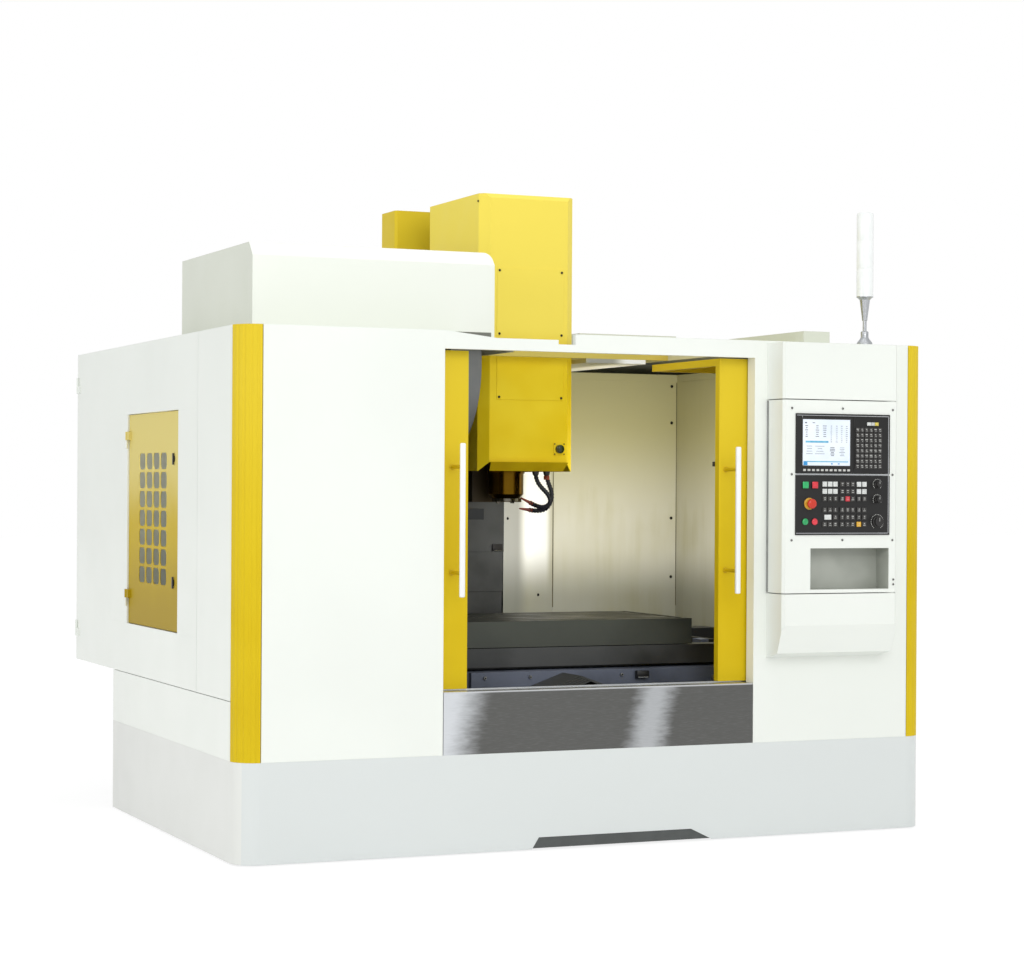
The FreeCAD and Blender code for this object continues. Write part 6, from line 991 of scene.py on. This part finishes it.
def makeButtons(sizes):
    for name, finish in (("square_button_left", goGreen), ("square_button_right", haltRed)):
        middle, low, high = nodeCentre(name)
        bm = bmesh.new()
        stem = sizes["stem"]
        addTurned(bm, [(0, 0), (stem, 0), (stem, 0.02), (0, 0.02)],
                  (middle.x, unitFront - 0.0055, middle.z), (0, 1, 0), steps=24)
        addBlock(bm, (low.x, low.y, low.z), (high.x, unitFront - sizes["clear"], high.z), 0.0022, 3)
        settle(bm, "cap_" + name, finish, name, [name], smooth=35)
    for name, finish in (("round_button_left", goGreen), ("round_button_right", haltRed)):
        middle, low, high = nodeCentre(name)
        radius = (high.x - low.x) / 2
        skirt, stem = unitFront - sizes["clear"] - low.y, sizes["stem"]
        bm = bmesh.new()
        addTurned(bm, [
            (0, 0), (radius * 0.5, 0.0004), (radius * 0.84, 0.0016), (radius * 0.95, 0.003),
            (radius, 0.0045), (radius, skirt), (stem, skirt), (stem, high.y - low.y),
            (0, high.y - low.y)],
            (middle.x, low.y, middle.z), (0, 1, 0), steps=32)
        settle(bm, "cap_" + name, finish, name, [name], smooth=35)
    middle, low, high = nodeCentre("emergency_stop")
    radius = (high.x - low.x) / 2
    bm = bmesh.new()
    addTurned(bm, [
        (0, 0), (radius * 0.60, 0.0005), (radius * 0.90, 0.0020), (radius * 1.07, 0.0050),
        (radius * 1.12, 0.0090), (radius * 1.10, 0.0135), (radius * 0.92, 0.0162),
        (sizes["stopStem"], 0.0166), (sizes["stopStem"], high.y - low.y),
        (0, high.y - low.y)],
        (middle.x, low.y, middle.z), (0, 1, 0), steps=40)
    settle(bm, "stopHead", stopRed, "emergency_stop", ["emergency_stop"], smooth=40)
    bm = bmesh.new()
    bore, ring = sizes["stopBore"], sizes["stopRing"]
    addTurned(bm, [(bore, 0), (bore, -0.0048), (0.022, -0.0048), (ring, -0.0022), (ring, 0),
                   (bore, 0)],
              (middle.x, unitFront, middle.z), (0, 1, 0), steps=48)
    settle(bm, "stopSurround", stopYellow, "console", smooth=35)


makeButtons(buttonSizes)

knobSizes = {"flutes": 14, "fluteDeep": 0.035, "pointer": 0.0022}


def makeKnobs(sizes):
    for name in ("feed_knob", "spindle_knob", "mode_knob"):
        middle, low, high = nodeCentre(name)
        radius = (high.x - low.x) / 2
        deep = unitFront - 0.001 - low.y

        def flute(angle, far, deep=deep):
            return 1 - sizes["fluteDeep"] * (1 + math.cos(angle * sizes["flutes"])) / 2 \
                if far < deep * 0.62 else 1

        bm = bmesh.new()
        addTurned(bm, [
            (0, 0), (radius * 0.70, 0), (radius * 0.80, 0.0012), (radius * 0.82, deep * 0.3),
            (radius * 0.84, deep * 0.6), (radius * 0.97, deep * 0.72), (radius, deep * 0.8),
            (radius, deep), (0.006, deep), (0.006, high.y - low.y), (0, high.y - low.y)],
            (middle.x, low.y, middle.z), (0, 1, 0), steps=84, wobble=flute)
        pointer = sizes["pointer"] / 2
        addBlock(bm, (middle.x - pointer, low.y - 0.0007, middle.z + radius * 0.05),
                 (middle.x + pointer, low.y + 0.001, middle.z + radius * 0.68), 0.0003, 1, 1)
        settle(bm, "knob_" + name, [blackPlastic, legendGrey], name, [name], smooth=30)
    # scale marks round each knob
    points, marks = [], []
    for name, count, sweep in (("feed_knob", 15, 270), ("spindle_knob", 13, 240),
                               ("mode_knob", 21, 290)):
        middle, low, high = nodeCentre(name)
        reach = (high.x - low.x) / 2 + 0.0055
        for i in range(count):
            angle = math.radians(-sweep / 2 + sweep * i / (count - 1))
            points.append((middle.x + reach * math.sin(angle), unitFront,
                           middle.z + reach * math.cos(angle)))
            marks.append((0.0036, 1, 0.0036))
    growPiece("dialMarks", points, barTree, {"Thickness": 0.0006, "Shortest": 0.8, "Seed": 5,
                                             "Bar finish": legendGrey}, "console", sizes=marks)


makeKnobs(knobSizes)

pocketSizes = {"x": (0.962, 1.374), "z": (1.126, 1.312), "deep": 0.105, "sheet": 0.0008}


# folded steel liner of the pocket under the keys
def makePocket(sizes):
    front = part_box("console_box")[0].y
    x0, x1 = sizes["x"]
    z0, z1 = sizes["z"]
    back = front + sizes["deep"] - 0.0005
    wall = sizes["sheet"]
    bm = bmesh.new()
    addBlock(bm, (x0, back - wall, z0), (x1, back, z1))
    addBlock(bm, (x0, front + 0.001, z0), (x0 + wall, back, z1))
    addBlock(bm, (x1 - wall, front + 0.001, z0), (x1, back, z1))
    addBlock(bm, (x0, front + 0.001, z0), (x1, back, z0 + wall))
    addBlock(bm, (x0, front + 0.001, z1 - wall), (x1, back, z1))
    settle(bm, "pocketLiner", pocketGrey, "console")


makePocket(pocketSizes)


# screws

def screwRow(name, spots, facing, radius, height, body, head=None):
    growPiece(name, [Vector(spot) + Vector(facing) * height / 2 for spot in spots], screwTree, {
        "Head radius": radius, "Head height": height,
        "Head finish": head or zincSteel, "Socket finish": blackAndRecessShade},
        body, facings=[facing] * len(spots), smooth=35)


consoleScrewSizes = {
    "radius": 0.0058, "height": 0.003,
    "spots": ((0.862, 1.942), (1.126, 1.944), (1.391, 1.942), (0.862, 1.645), (1.391, 1.646),
              (0.863, 1.349), (1.127, 1.349), (1.392, 1.348), (1.398, 1.168), (1.398, 1.146)),
}
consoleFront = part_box("console_box")[0].y
screwRow("consoleScrews", [(x, consoleFront, z) for x, z in consoleScrewSizes["spots"]],
         (0, -1, 0), consoleScrewSizes["radius"], consoleScrewSizes["height"], "console")

hoodSizes = {"plateLeft": -0.164, "plateRight": 0.180, "plateLow": 1.990, "plateHigh": 2.607,
             "inset": 0.012, "plateDepth": 0.818, "coverDepth": 0.820, "gland": (0.160, 1.761),
             "glandPlate": 0.030, "glandThick": 0.003, "glandReach": 0.024,
             "plateScrew": (0.0062, 0.003), "glandScrew": (0.0035, 0.002),
             "sideScrew": (0.006, 0.003), "sideScrewSpot": (-0.2258, 2.919)}


def makeHoodDetails(sizes):
    left, right = sizes["plateLeft"] + sizes["inset"], sizes["plateRight"] - sizes["inset"]
    low, high = sizes["plateLow"] + sizes["inset"], sizes["plateHigh"] - sizes["inset"]
    plateFront = atDepth(sizes["plateDepth"])
    screwRow("plateScrews", [(x, plateFront, z) for x in (left, right)
                             for z in (low, (low + high) / 2, high)],
             (0, -1, 0), *sizes["plateScrew"], "head", head=headIronPaintedYellowReflection)
    x, z = sizes["gland"]
    front, half = atDepth(sizes["coverDepth"]), sizes["glandPlate"]
    face = front - sizes["glandThick"]
    bm = bmesh.new()
    addBlock(bm, (x - half, face, z - half), (x + half, front, z + half), 0.001)
    settle(bm, "glandPlate", hoodYellow, "head", smooth=30)
    reach = sizes["glandReach"]
    screwRow("glandScrews", [(x + u * reach, face, z + w * reach)
                             for u in (-1, 1) for w in (-1, 1)],
             (0, -1, 0), *sizes["glandScrew"], "head", head=headIronPaintedYellowReflection)
    bm = bmesh.new()
    addTurned(bm, [(0, -0.0245), (0.009, -0.0242), (0.0145, -0.0225), (0.0165, -0.018),
                   (0.0200, -0.0165), (0.0205, -0.003), (0, -0.003)],
              (x, front, z), (0, 1, 0), steps=32)
    settle(bm, "sightGland", glandGreen, "head", smooth=40)


makeHoodDetails(hoodSizes)

screwRow("hoodSideScrews", [(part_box("head_cover")[0].x, *hoodSizes["sideScrewSpot"])],
         (-1, 0, 0), *hoodSizes["sideScrew"], "head", head=headIronPaintedYellowReflection)

# the hood's front lower edge, folded back under it
hoodFoldSizes = {"high": 1.6975, "low": 1.6555, "run": 0.042, "sheet": 0.002, "corner": 0.043,
                 "mitre": 0.010}


def makeHoodFold(sizes):
    low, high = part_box("head_cover")
    front = low.y + 0.0004
    left, right = low.x + sizes["corner"], high.x - sizes["corner"]
    bm = bmesh.new()
    rings = []
    for shift in (0, sizes["sheet"]):
        rings.append([bm.verts.new(spot) for spot in (
            (left, front + shift, sizes["high"]), (right, front + shift, sizes["high"]),
            (right - sizes["mitre"], front + sizes["run"] + shift, sizes["low"]),
            (left + sizes["mitre"], front + sizes["run"] + shift, sizes["low"]))])
    outer, inner = rings
    bm.faces.new(outer)
    bm.faces.new(reversed(inner))
    joinRings(bm, outer, inner)
    settle(bm, "hoodFold", postYellow, "head")


makeHoodFold(hoodFoldSizes)

# chamber fittings

chamberSizes = {
    "rearScrews": (2.126, 1.930, 1.419, 1.104), "rearScrewLeft": 1.367,
    "rearScrew": (0.0085, 0.004), "splayScrew": (0.0075, 0.004), "saddleBolt": (0.0085, 0.006),
    "splayScrews": ((0.3288, 0.7256, 1.4187), (0.5591, 0.8500, 1.0193)),
    "splayFacing": (-0.4755, -0.8797, 0),
    "saddleBolts": (-0.385, -0.162, 0.299), "saddleBoltHeight": 0.720,
    "bead": 0.0028, "beadLow": 0.95, "beadHigh": 2.145, "beadSpots": (0.6695, 1.3975),
    "rearDepth": 2.0, "coverDepth": 1.772, "plateDepth": 0.420,
    "catch": ((0.2245, 1.2535), (0.2803, 1.2890)), "catchProud": 0.009,
    "catchTrim": ((0.2325, 1.2560), (0.2770, 1.2586)), "catchTrimProud": 0.0012,
    "switch": ((0.368, 0.702), (0.430, 0.7365)), "switchProud": 0.026,
    "switchTrim": ((0.373, 0.7040), (0.425, 0.7090)), "switchTrimProud": 0.0014,
    "shield": ((-0.40, 0.010), (0.62, 0.095)), "shieldDepths": (0.0032, 0.0052),
    "shadowGapThick": 0.0012, "shadowGapDepths": (-0.017, -0.001), "shadowGapHeights": (1.112, 1.978),
}


# a dark fitting with a bright strip on it, standing on the plane at front
def addFitting(name, front, body, outline, proud, strip, trimProud, round):
    (x0, z0), (x1, z1) = outline
    (u0, w0), (u1, w1) = strip
    bm = bmesh.new()
    addBlock(bm, (x0, front - proud, z0), (x1, front, z1), round, 2, 0)
    addBlock(bm, (u0, front - proud - trimProud, w0), (u1, front - proud + 0.0002, w1),
             0.0004, 1, 1)
    settle(bm, name, [blackPlastic, trimSilver], body, smooth=30)


def makeChamberFittings(sizes):
    rear = atDepth(sizes["rearDepth"])
    screwRow("rearWallScrews", [(sizes["rearScrewLeft"], rear, z) for z in sizes["rearScrews"]],
             (0, -1, 0), *sizes["rearScrew"], "enclosure", head=blackAndRecessShade)
    screwRow("splayScrews", sizes["splayScrews"], sizes["splayFacing"], *sizes["splayScrew"],
             "enclosure", head=blackAndRecessShade)
    plate = atDepth(sizes["plateDepth"])
    screwRow("saddleBolts", [(x, plate, sizes["saddleBoltHeight"])
                             for x in sizes["saddleBolts"]],
             (0, -1, 0), *sizes["saddleBolt"], "saddle")
    # sealant beads where the lining sheets meet
    bm = bmesh.new()
    bead, tall = sizes["bead"], sizes["beadHigh"] - sizes["beadLow"]
    for x in sizes["beadSpots"]:
        addTurned(bm, [(0, 0), (bead, 0), (bead, 0.4), (bead * 0.8, 0.8), (bead, tall), (0, tall)],
                  (x, rear - 0.0015, sizes["beadLow"]), (0, 0, 1), steps=10)
    settle(bm, "liningBeads", seamBrown, "enclosure", smooth=40)
    # catch on the Z cover, and the switch box on the saddle's plate
    addFitting("coverCatch", atDepth(sizes["coverDepth"]), "head", sizes["catch"],
               sizes["catchProud"], sizes["catchTrim"], sizes["catchTrimProud"], 0.0015)
    addFitting("saddleSwitch", plate, "saddle", sizes["switch"], sizes["switchProud"],
               sizes["switchTrim"], sizes["switchTrimProud"], 0.002)
    # shield behind the fork opening in the base
    bm = bmesh.new()
    (x0, z0), (x1, z1) = sizes["shield"]
    near, far = sizes["shieldDepths"]
    addBlock(bm, (x0, atDepth(near), z0), (x1, atDepth(far), z1), 0.0004, 1)
    settle(bm, "skirtShield", shieldGrey, "enclosure")
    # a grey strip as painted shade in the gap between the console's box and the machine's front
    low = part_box("console_box")[0]
    bm = bmesh.new()
    near, far = sizes["shadowGapDepths"]
    z0, z1 = sizes["shadowGapHeights"]
    addBlock(bm, (low.x - sizes["shadowGapThick"], atDepth(near), z0), (low.x, atDepth(far), z1),
             0.0004, 1)
    settle(bm, "consoleShadowGap", shadowGapGrey, "console")


makeChamberFittings(chamberSizes)

lipSizes = {"low": 2.149, "high": 2.188, "sheet": 0.0015, "rearDepth": 2.0,
            "rearX": (0.671, 1.398), "sideX": 1.3985, "sideDepths": (0.90, 1.998),
            "foot": (0.303, 1.8016), "head": (0.670, 1.9995), "slant": (-0.0007, 0.0013),
            "ventX": (0.751, 1.309), "ventDepth": (1.8545, 1.8560), "ventZ": (2.256, 2.380)}


# strip that closes the lining up to the roof, and a black block as painted shade inside the roof vent
def makeLips(sizes):
    low, high, sheet = sizes["low"], sizes["high"], sizes["sheet"]
    bm = bmesh.new()
    left, right = sizes["rearX"]
    rear, side = sizes["rearDepth"], sizes["sideX"]
    near, far = sizes["sideDepths"]
    addBlock(bm, (left, atDepth(rear - sheet), low), (right, atDepth(rear), high))
    addBlock(bm, (side, atDepth(near), low), (side + sheet, atDepth(far), high))
    foot, head, (aside, back) = sizes["foot"], sizes["head"], sizes["slant"]
    ring = [foot, head, (head[0] + aside, head[1] + back), (foot[0] + aside, foot[1] + back)]
    lower = [bm.verts.new((x, atDepth(d), low)) for x, d in ring]
    upper = [bm.verts.new((x, atDepth(d), high)) for x, d in ring]
    bm.faces.new(lower)
    bm.faces.new(upper)
    joinRings(bm, lower, upper)
    settle(bm, "liningLip", liningPaint, "enclosure")
    bm = bmesh.new()
    corners = zip(sizes["ventX"], sizes["ventDepth"], sizes["ventZ"])
    addBlock(bm, *((x, atDepth(depth), z) for x, depth, z in corners))
    settle(bm, "ventShadeBlock", blackAndRecessShade, "enclosure")


makeLips(lipSizes)

# door handles

handleSizes = {"wide": 0.024, "round": 0.0065, "front": -0.053, "back": -0.035,
               "post": 0.0085, "collar": 0.0125, "postHeights": (1.209, 1.665)}


def makeHandle(side, sizes):
    name = f"{side}_door_handle"
    low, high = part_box(name)
    middle = (low.x + high.x) / 2
    bm = bmesh.new()
    for height in sizes["postHeights"]:
        reach = high.y - atDepth(sizes["back"])
        addTurned(bm, [(0, -0.002), (sizes["post"], -0.002), (sizes["post"], reach - 0.006),
                       (sizes["collar"], reach - 0.005), (sizes["collar"], reach - 0.001),
                       (sizes["collar"] - 0.001, reach), (0, reach)],
                  (middle, atDepth(sizes["back"]), height), (0, 1, 0), steps=24, index=1)
    addBlock(bm, (middle - sizes["wide"] / 2, atDepth(sizes["front"]), low.z),
             (middle + sizes["wide"] / 2, atDepth(sizes["back"]), high.z), sizes["round"], 4, 0)
    settle(bm, f"handle_{side}", [barWhite, postYellow], f"{side}_door", [name], smooth=40)


makeHandle("left", handleSizes)
makeHandle("right", handleSizes)

bumperSizes = {"x": (0.6035, 0.6420), "depth": (0.1132, 0.1182), "tall": 0.022,
               "heights": (0.722, 1.690)}


def makeBumpers(sizes):
    bm = bmesh.new()
    for height in sizes["heights"]:
        addBlock(bm, (sizes["x"][0], atDepth(sizes["depth"][0]), height - sizes["tall"] / 2),
                 (sizes["x"][1], atDepth(sizes["depth"][1]), height + sizes["tall"] / 2),
                 0.0015, 3)
    settle(bm, "doorBumpers", blackPlastic, "right_door", smooth=40)


makeBumpers(bumperSizes)


# coolant hoses

hoseSizes = {
    "left": 0.092, "under": 1.658, "depth": 0.970, "radius": 0.012, "link": 0.0135,
    "nozzleLong": 0.062, "nozzleTip": 0.0034, "blockTop": 1.700, "blockWide": 0.100,
    "blockDepths": (0.930, 1.010), "collars": (0.014, 0.072), "ringDrop": 0.042,
    "routes": (
        [(14, 0), (14, 36), (36, 74), (78, 106), (98, 142), (78, 182), (32, 194), (-8, 188)],
        [(72, 0), (72, 40), (96, 82), (104, 128), (84, 172), (38, 178), (-6, 156)],
    ),
}


def smoothLine(points, closer=9):
    bare = bpy.data.curves.new("hoseLine", "CURVE")
    bare.dimensions = "3D"
    line = bare.splines.new("NURBS")
    line.points.add(len(points) - 1)
    for spot, point in zip(line.points, points):
        spot.co = (*point, 1)
    line.order_u = 4
    line.use_endpoint_u = True
    line.resolution_u = closer
    holder = bpy.data.objects.new("hoseLine", bare)
    bpy.context.collection.objects.link(holder)
    mesh = bpy.data.meshes.new_from_object(
        holder.evaluated_get(bpy.context.evaluated_depsgraph_get()))
    found = [vert.co.copy() for vert in mesh.vertices]
    bpy.data.objects.remove(holder)
    bpy.data.meshes.remove(mesh)
    return found


def makeHoses(sizes):
    y = atDepth(sizes["depth"])
    tips = []
    for number, route in enumerate(sizes["routes"]):
        points = [Vector((sizes["left"] + u / 1000, y, sizes["under"] - w / 1000))
                  for u, w in route]
        line = smoothLine(points)
        growPiece(f"coolantHose{number + 1}", line, linkTree,
                  {"Link length": sizes["link"], "Hose radius": sizes["radius"],
                   "Link finish": hoseBlack}, "head", smooth=40,
                  edges=[(i, i + 1) for i in range(len(line) - 1)])
        tips.append((line[-1], (line[-1] - line[-2]).normalized()))
    bm = bmesh.new()
    for spot, ahead in tips:
        addTurned(bm, [
            (0, -0.002), (0.0095, -0.002), (0.0105, 0.003), (0.0105, 0.008), (0.0078, 0.014),
            (0.0050, sizes["nozzleLong"] - 0.012), (sizes["nozzleTip"], sizes["nozzleLong"]),
            (sizes["nozzleTip"] - 0.0014, sizes["nozzleLong"]),
            (sizes["nozzleTip"] - 0.0014, sizes["nozzleLong"] - 0.006),
            (0, sizes["nozzleLong"] - 0.006)], spot, ahead, steps=24)
    settle(bm, "hoseNozzles", nozzleRed, "head", smooth=40)
    # manifold with its threaded collars
    left = sizes["left"]
    bm = bmesh.new()
    for u in sizes["collars"]:
        addTurned(bm, [(0, 0.004), (0.0165, 0.004), (0.0165, -0.010), (0.0145, -0.013),
                       (0.0145, -0.020), (0, -0.020)],
                  (left + u, y, sizes["under"]), (0, 0, 1), steps=6)
    near, far = sizes["blockDepths"]
    addBlock(bm, (left, atDepth(near), sizes["under"]),
             (left + sizes["blockWide"], atDepth(far), sizes["blockTop"]), 0.003)
    settle(bm, "coolantManifold", blackPlastic, "head", ["coolant_hoses"], smooth=30)
    bm = bmesh.new()
    addTurned(bm, [(0, 0), (0.0135, 0), (0.0142, 0.004), (0.0142, 0.016), (0.0128, 0.020),
                   (0, 0.020)],
              (left + sizes["collars"][1], y, sizes["under"] - sizes["ringDrop"]), (0, 0, 1),
              steps=24)
    settle(bm, "hoseCollar", nozzleRed, "head", smooth=40)


makeHoses(hoseSizes)
print("console, screws and hoses made")


# floor, world and lamps

stageSizes = {"worldLight": 0.80, "floorGlow": 0.74, "floorStrength": 1.12}


def makeFloor(sizes):
    bm = bmesh.new()
    bmesh.ops.create_grid(bm, x_segments=1, y_segments=1, size=60)
    mesh = bpy.data.meshes.new("floor")
    bm.to_mesh(mesh)
    bm.free()
    floor = bpy.data.objects.new("floor", mesh)
    bpy.context.collection.objects.link(floor)
    finish = bpy.data.materials.new("floorWhite")
    finish.use_nodes = True
    tree = finish.node_tree
    tree.nodes.clear()
    end = tree.nodes.new("ShaderNodeOutputMaterial")
    seen = tree.nodes.new("ShaderNodeLightPath")
    dull = tree.nodes.new("ShaderNodeBsdfDiffuse")
    dull.inputs["Color"].default_value = tone(240, 240, 240)
    glow = tree.nodes.new("ShaderNodeEmission")
    glow.inputs["Color"].default_value = (1, 1, 1, 1)
    glow.inputs["Strength"].default_value = sizes["floorStrength"]
    share = tree.nodes.new("ShaderNodeMixShader")
    view = work(tree, "MAXIMUM", seen.outputs["Is Camera Ray"],
                work(tree, "MAXIMUM", seen.outputs["Is Glossy Ray"],
                     seen.outputs["Is Transmission Ray"]))
    tree.links.new(work(tree, "MULTIPLY", view, sizes["floorGlow"]), share.inputs[0])
    tree.links.new(dull.outputs[0], share.inputs[1])
    tree.links.new(glow.outputs[0], share.inputs[2])
    tree.links.new(share.outputs[0], end.inputs["Surface"])
    mesh.materials.append(finish)


def makeWorld(sizes):
    world = bpy.data.worlds.new("studio")
    bpy.context.scene.world = world
    world.use_nodes = True
    tree = world.node_tree
    tree.nodes.clear()
    end = tree.nodes.new("ShaderNodeOutputWorld")
    seen = tree.nodes.new("ShaderNodeLightPath")
    light = tree.nodes.new("ShaderNodeBackground")
    light.inputs["Color"].default_value = (0.985, 1.0, 0.995, 1)
    light.inputs["Strength"].default_value = sizes["worldLight"]
    white = tree.nodes.new("ShaderNodeBackground")
    white.inputs["Color"].default_value = (1, 1, 1, 1)
    white.inputs["Strength"].default_value = 1.0
    share = tree.nodes.new("ShaderNodeMixShader")
    view = work(tree, "MAXIMUM", seen.outputs["Is Camera Ray"],
                seen.outputs["Is Transmission Ray"])
    tree.links.new(view, share.inputs[0])
    tree.links.new(light.outputs[0], share.inputs[1])
    tree.links.new(white.outputs[0], share.inputs[2])
    tree.links.new(share.outputs[0], end.inputs["Surface"])


lampSizes = {
    "keyLamp": {"place": (-1.0, -9.5, 5.2), "target": (0.2, -0.5, 1.2), "size": (6, 4),
                "power": 208},
    "fillLamp": {"place": (-9.5, -3.0, 3.6), "target": (-0.5, 0.3, 1.3), "size": (5, 4),
                 "power": 90},
    "topLamp": {"place": (0.5, -1.0, 7.5), "target": (0.2, 0.2, 1.2), "size": (5, 5),
                "power": 60},
    "chamberLamp": {"place": (0.95, atDepth(0.70), 1.60), "target": (0.80, atDepth(2.0), 1.35),
                    "size": (0.5, 0.5), "power": 12.5, "colour": (1.0, 0.98, 0.93),
                    "hidden": True},
    "cornerLamp": {"place": (0.34, atDepth(1.30), 1.26), "target": (0.53, atDepth(1.92), 1.22),
                   "size": (0.10, 0.40), "power": 2.0, "hidden": True},
    "serviceLamp": {"place": (-1.52, atDepth(1.35), 2.12), "target": (-1.44, atDepth(1.35), 1.4),
                    "size": (0.12, 0.12), "power": 3, "hidden": True},
}


def addLamp(name, place, target, size, power, colour=(1, 1, 1), hidden=False):
    data = bpy.data.lights.new(name, "AREA")
    data.shape = "RECTANGLE"
    data.size, data.size_y = size
    data.energy = power
    data.color = colour
    lamp = bpy.data.objects.new(name, data)
    bpy.context.collection.objects.link(lamp)
    lamp.location = place
    aim = Vector(target) - Vector(place)
    lamp.rotation_euler = aim.to_track_quat("-Z", "Y").to_euler()
    if hidden:   # a lamp inside the machine lights it and doesn't show itself
        lamp.visible_camera = False
        lamp.visible_glossy = False


makeFloor(stageSizes)
makeWorld(stageSizes)
for lampName, lamp in lampSizes.items():
    addLamp(lampName, **lamp)
bpy.context.scene.view_settings.view_transform = "Standard"

print("scene ready")
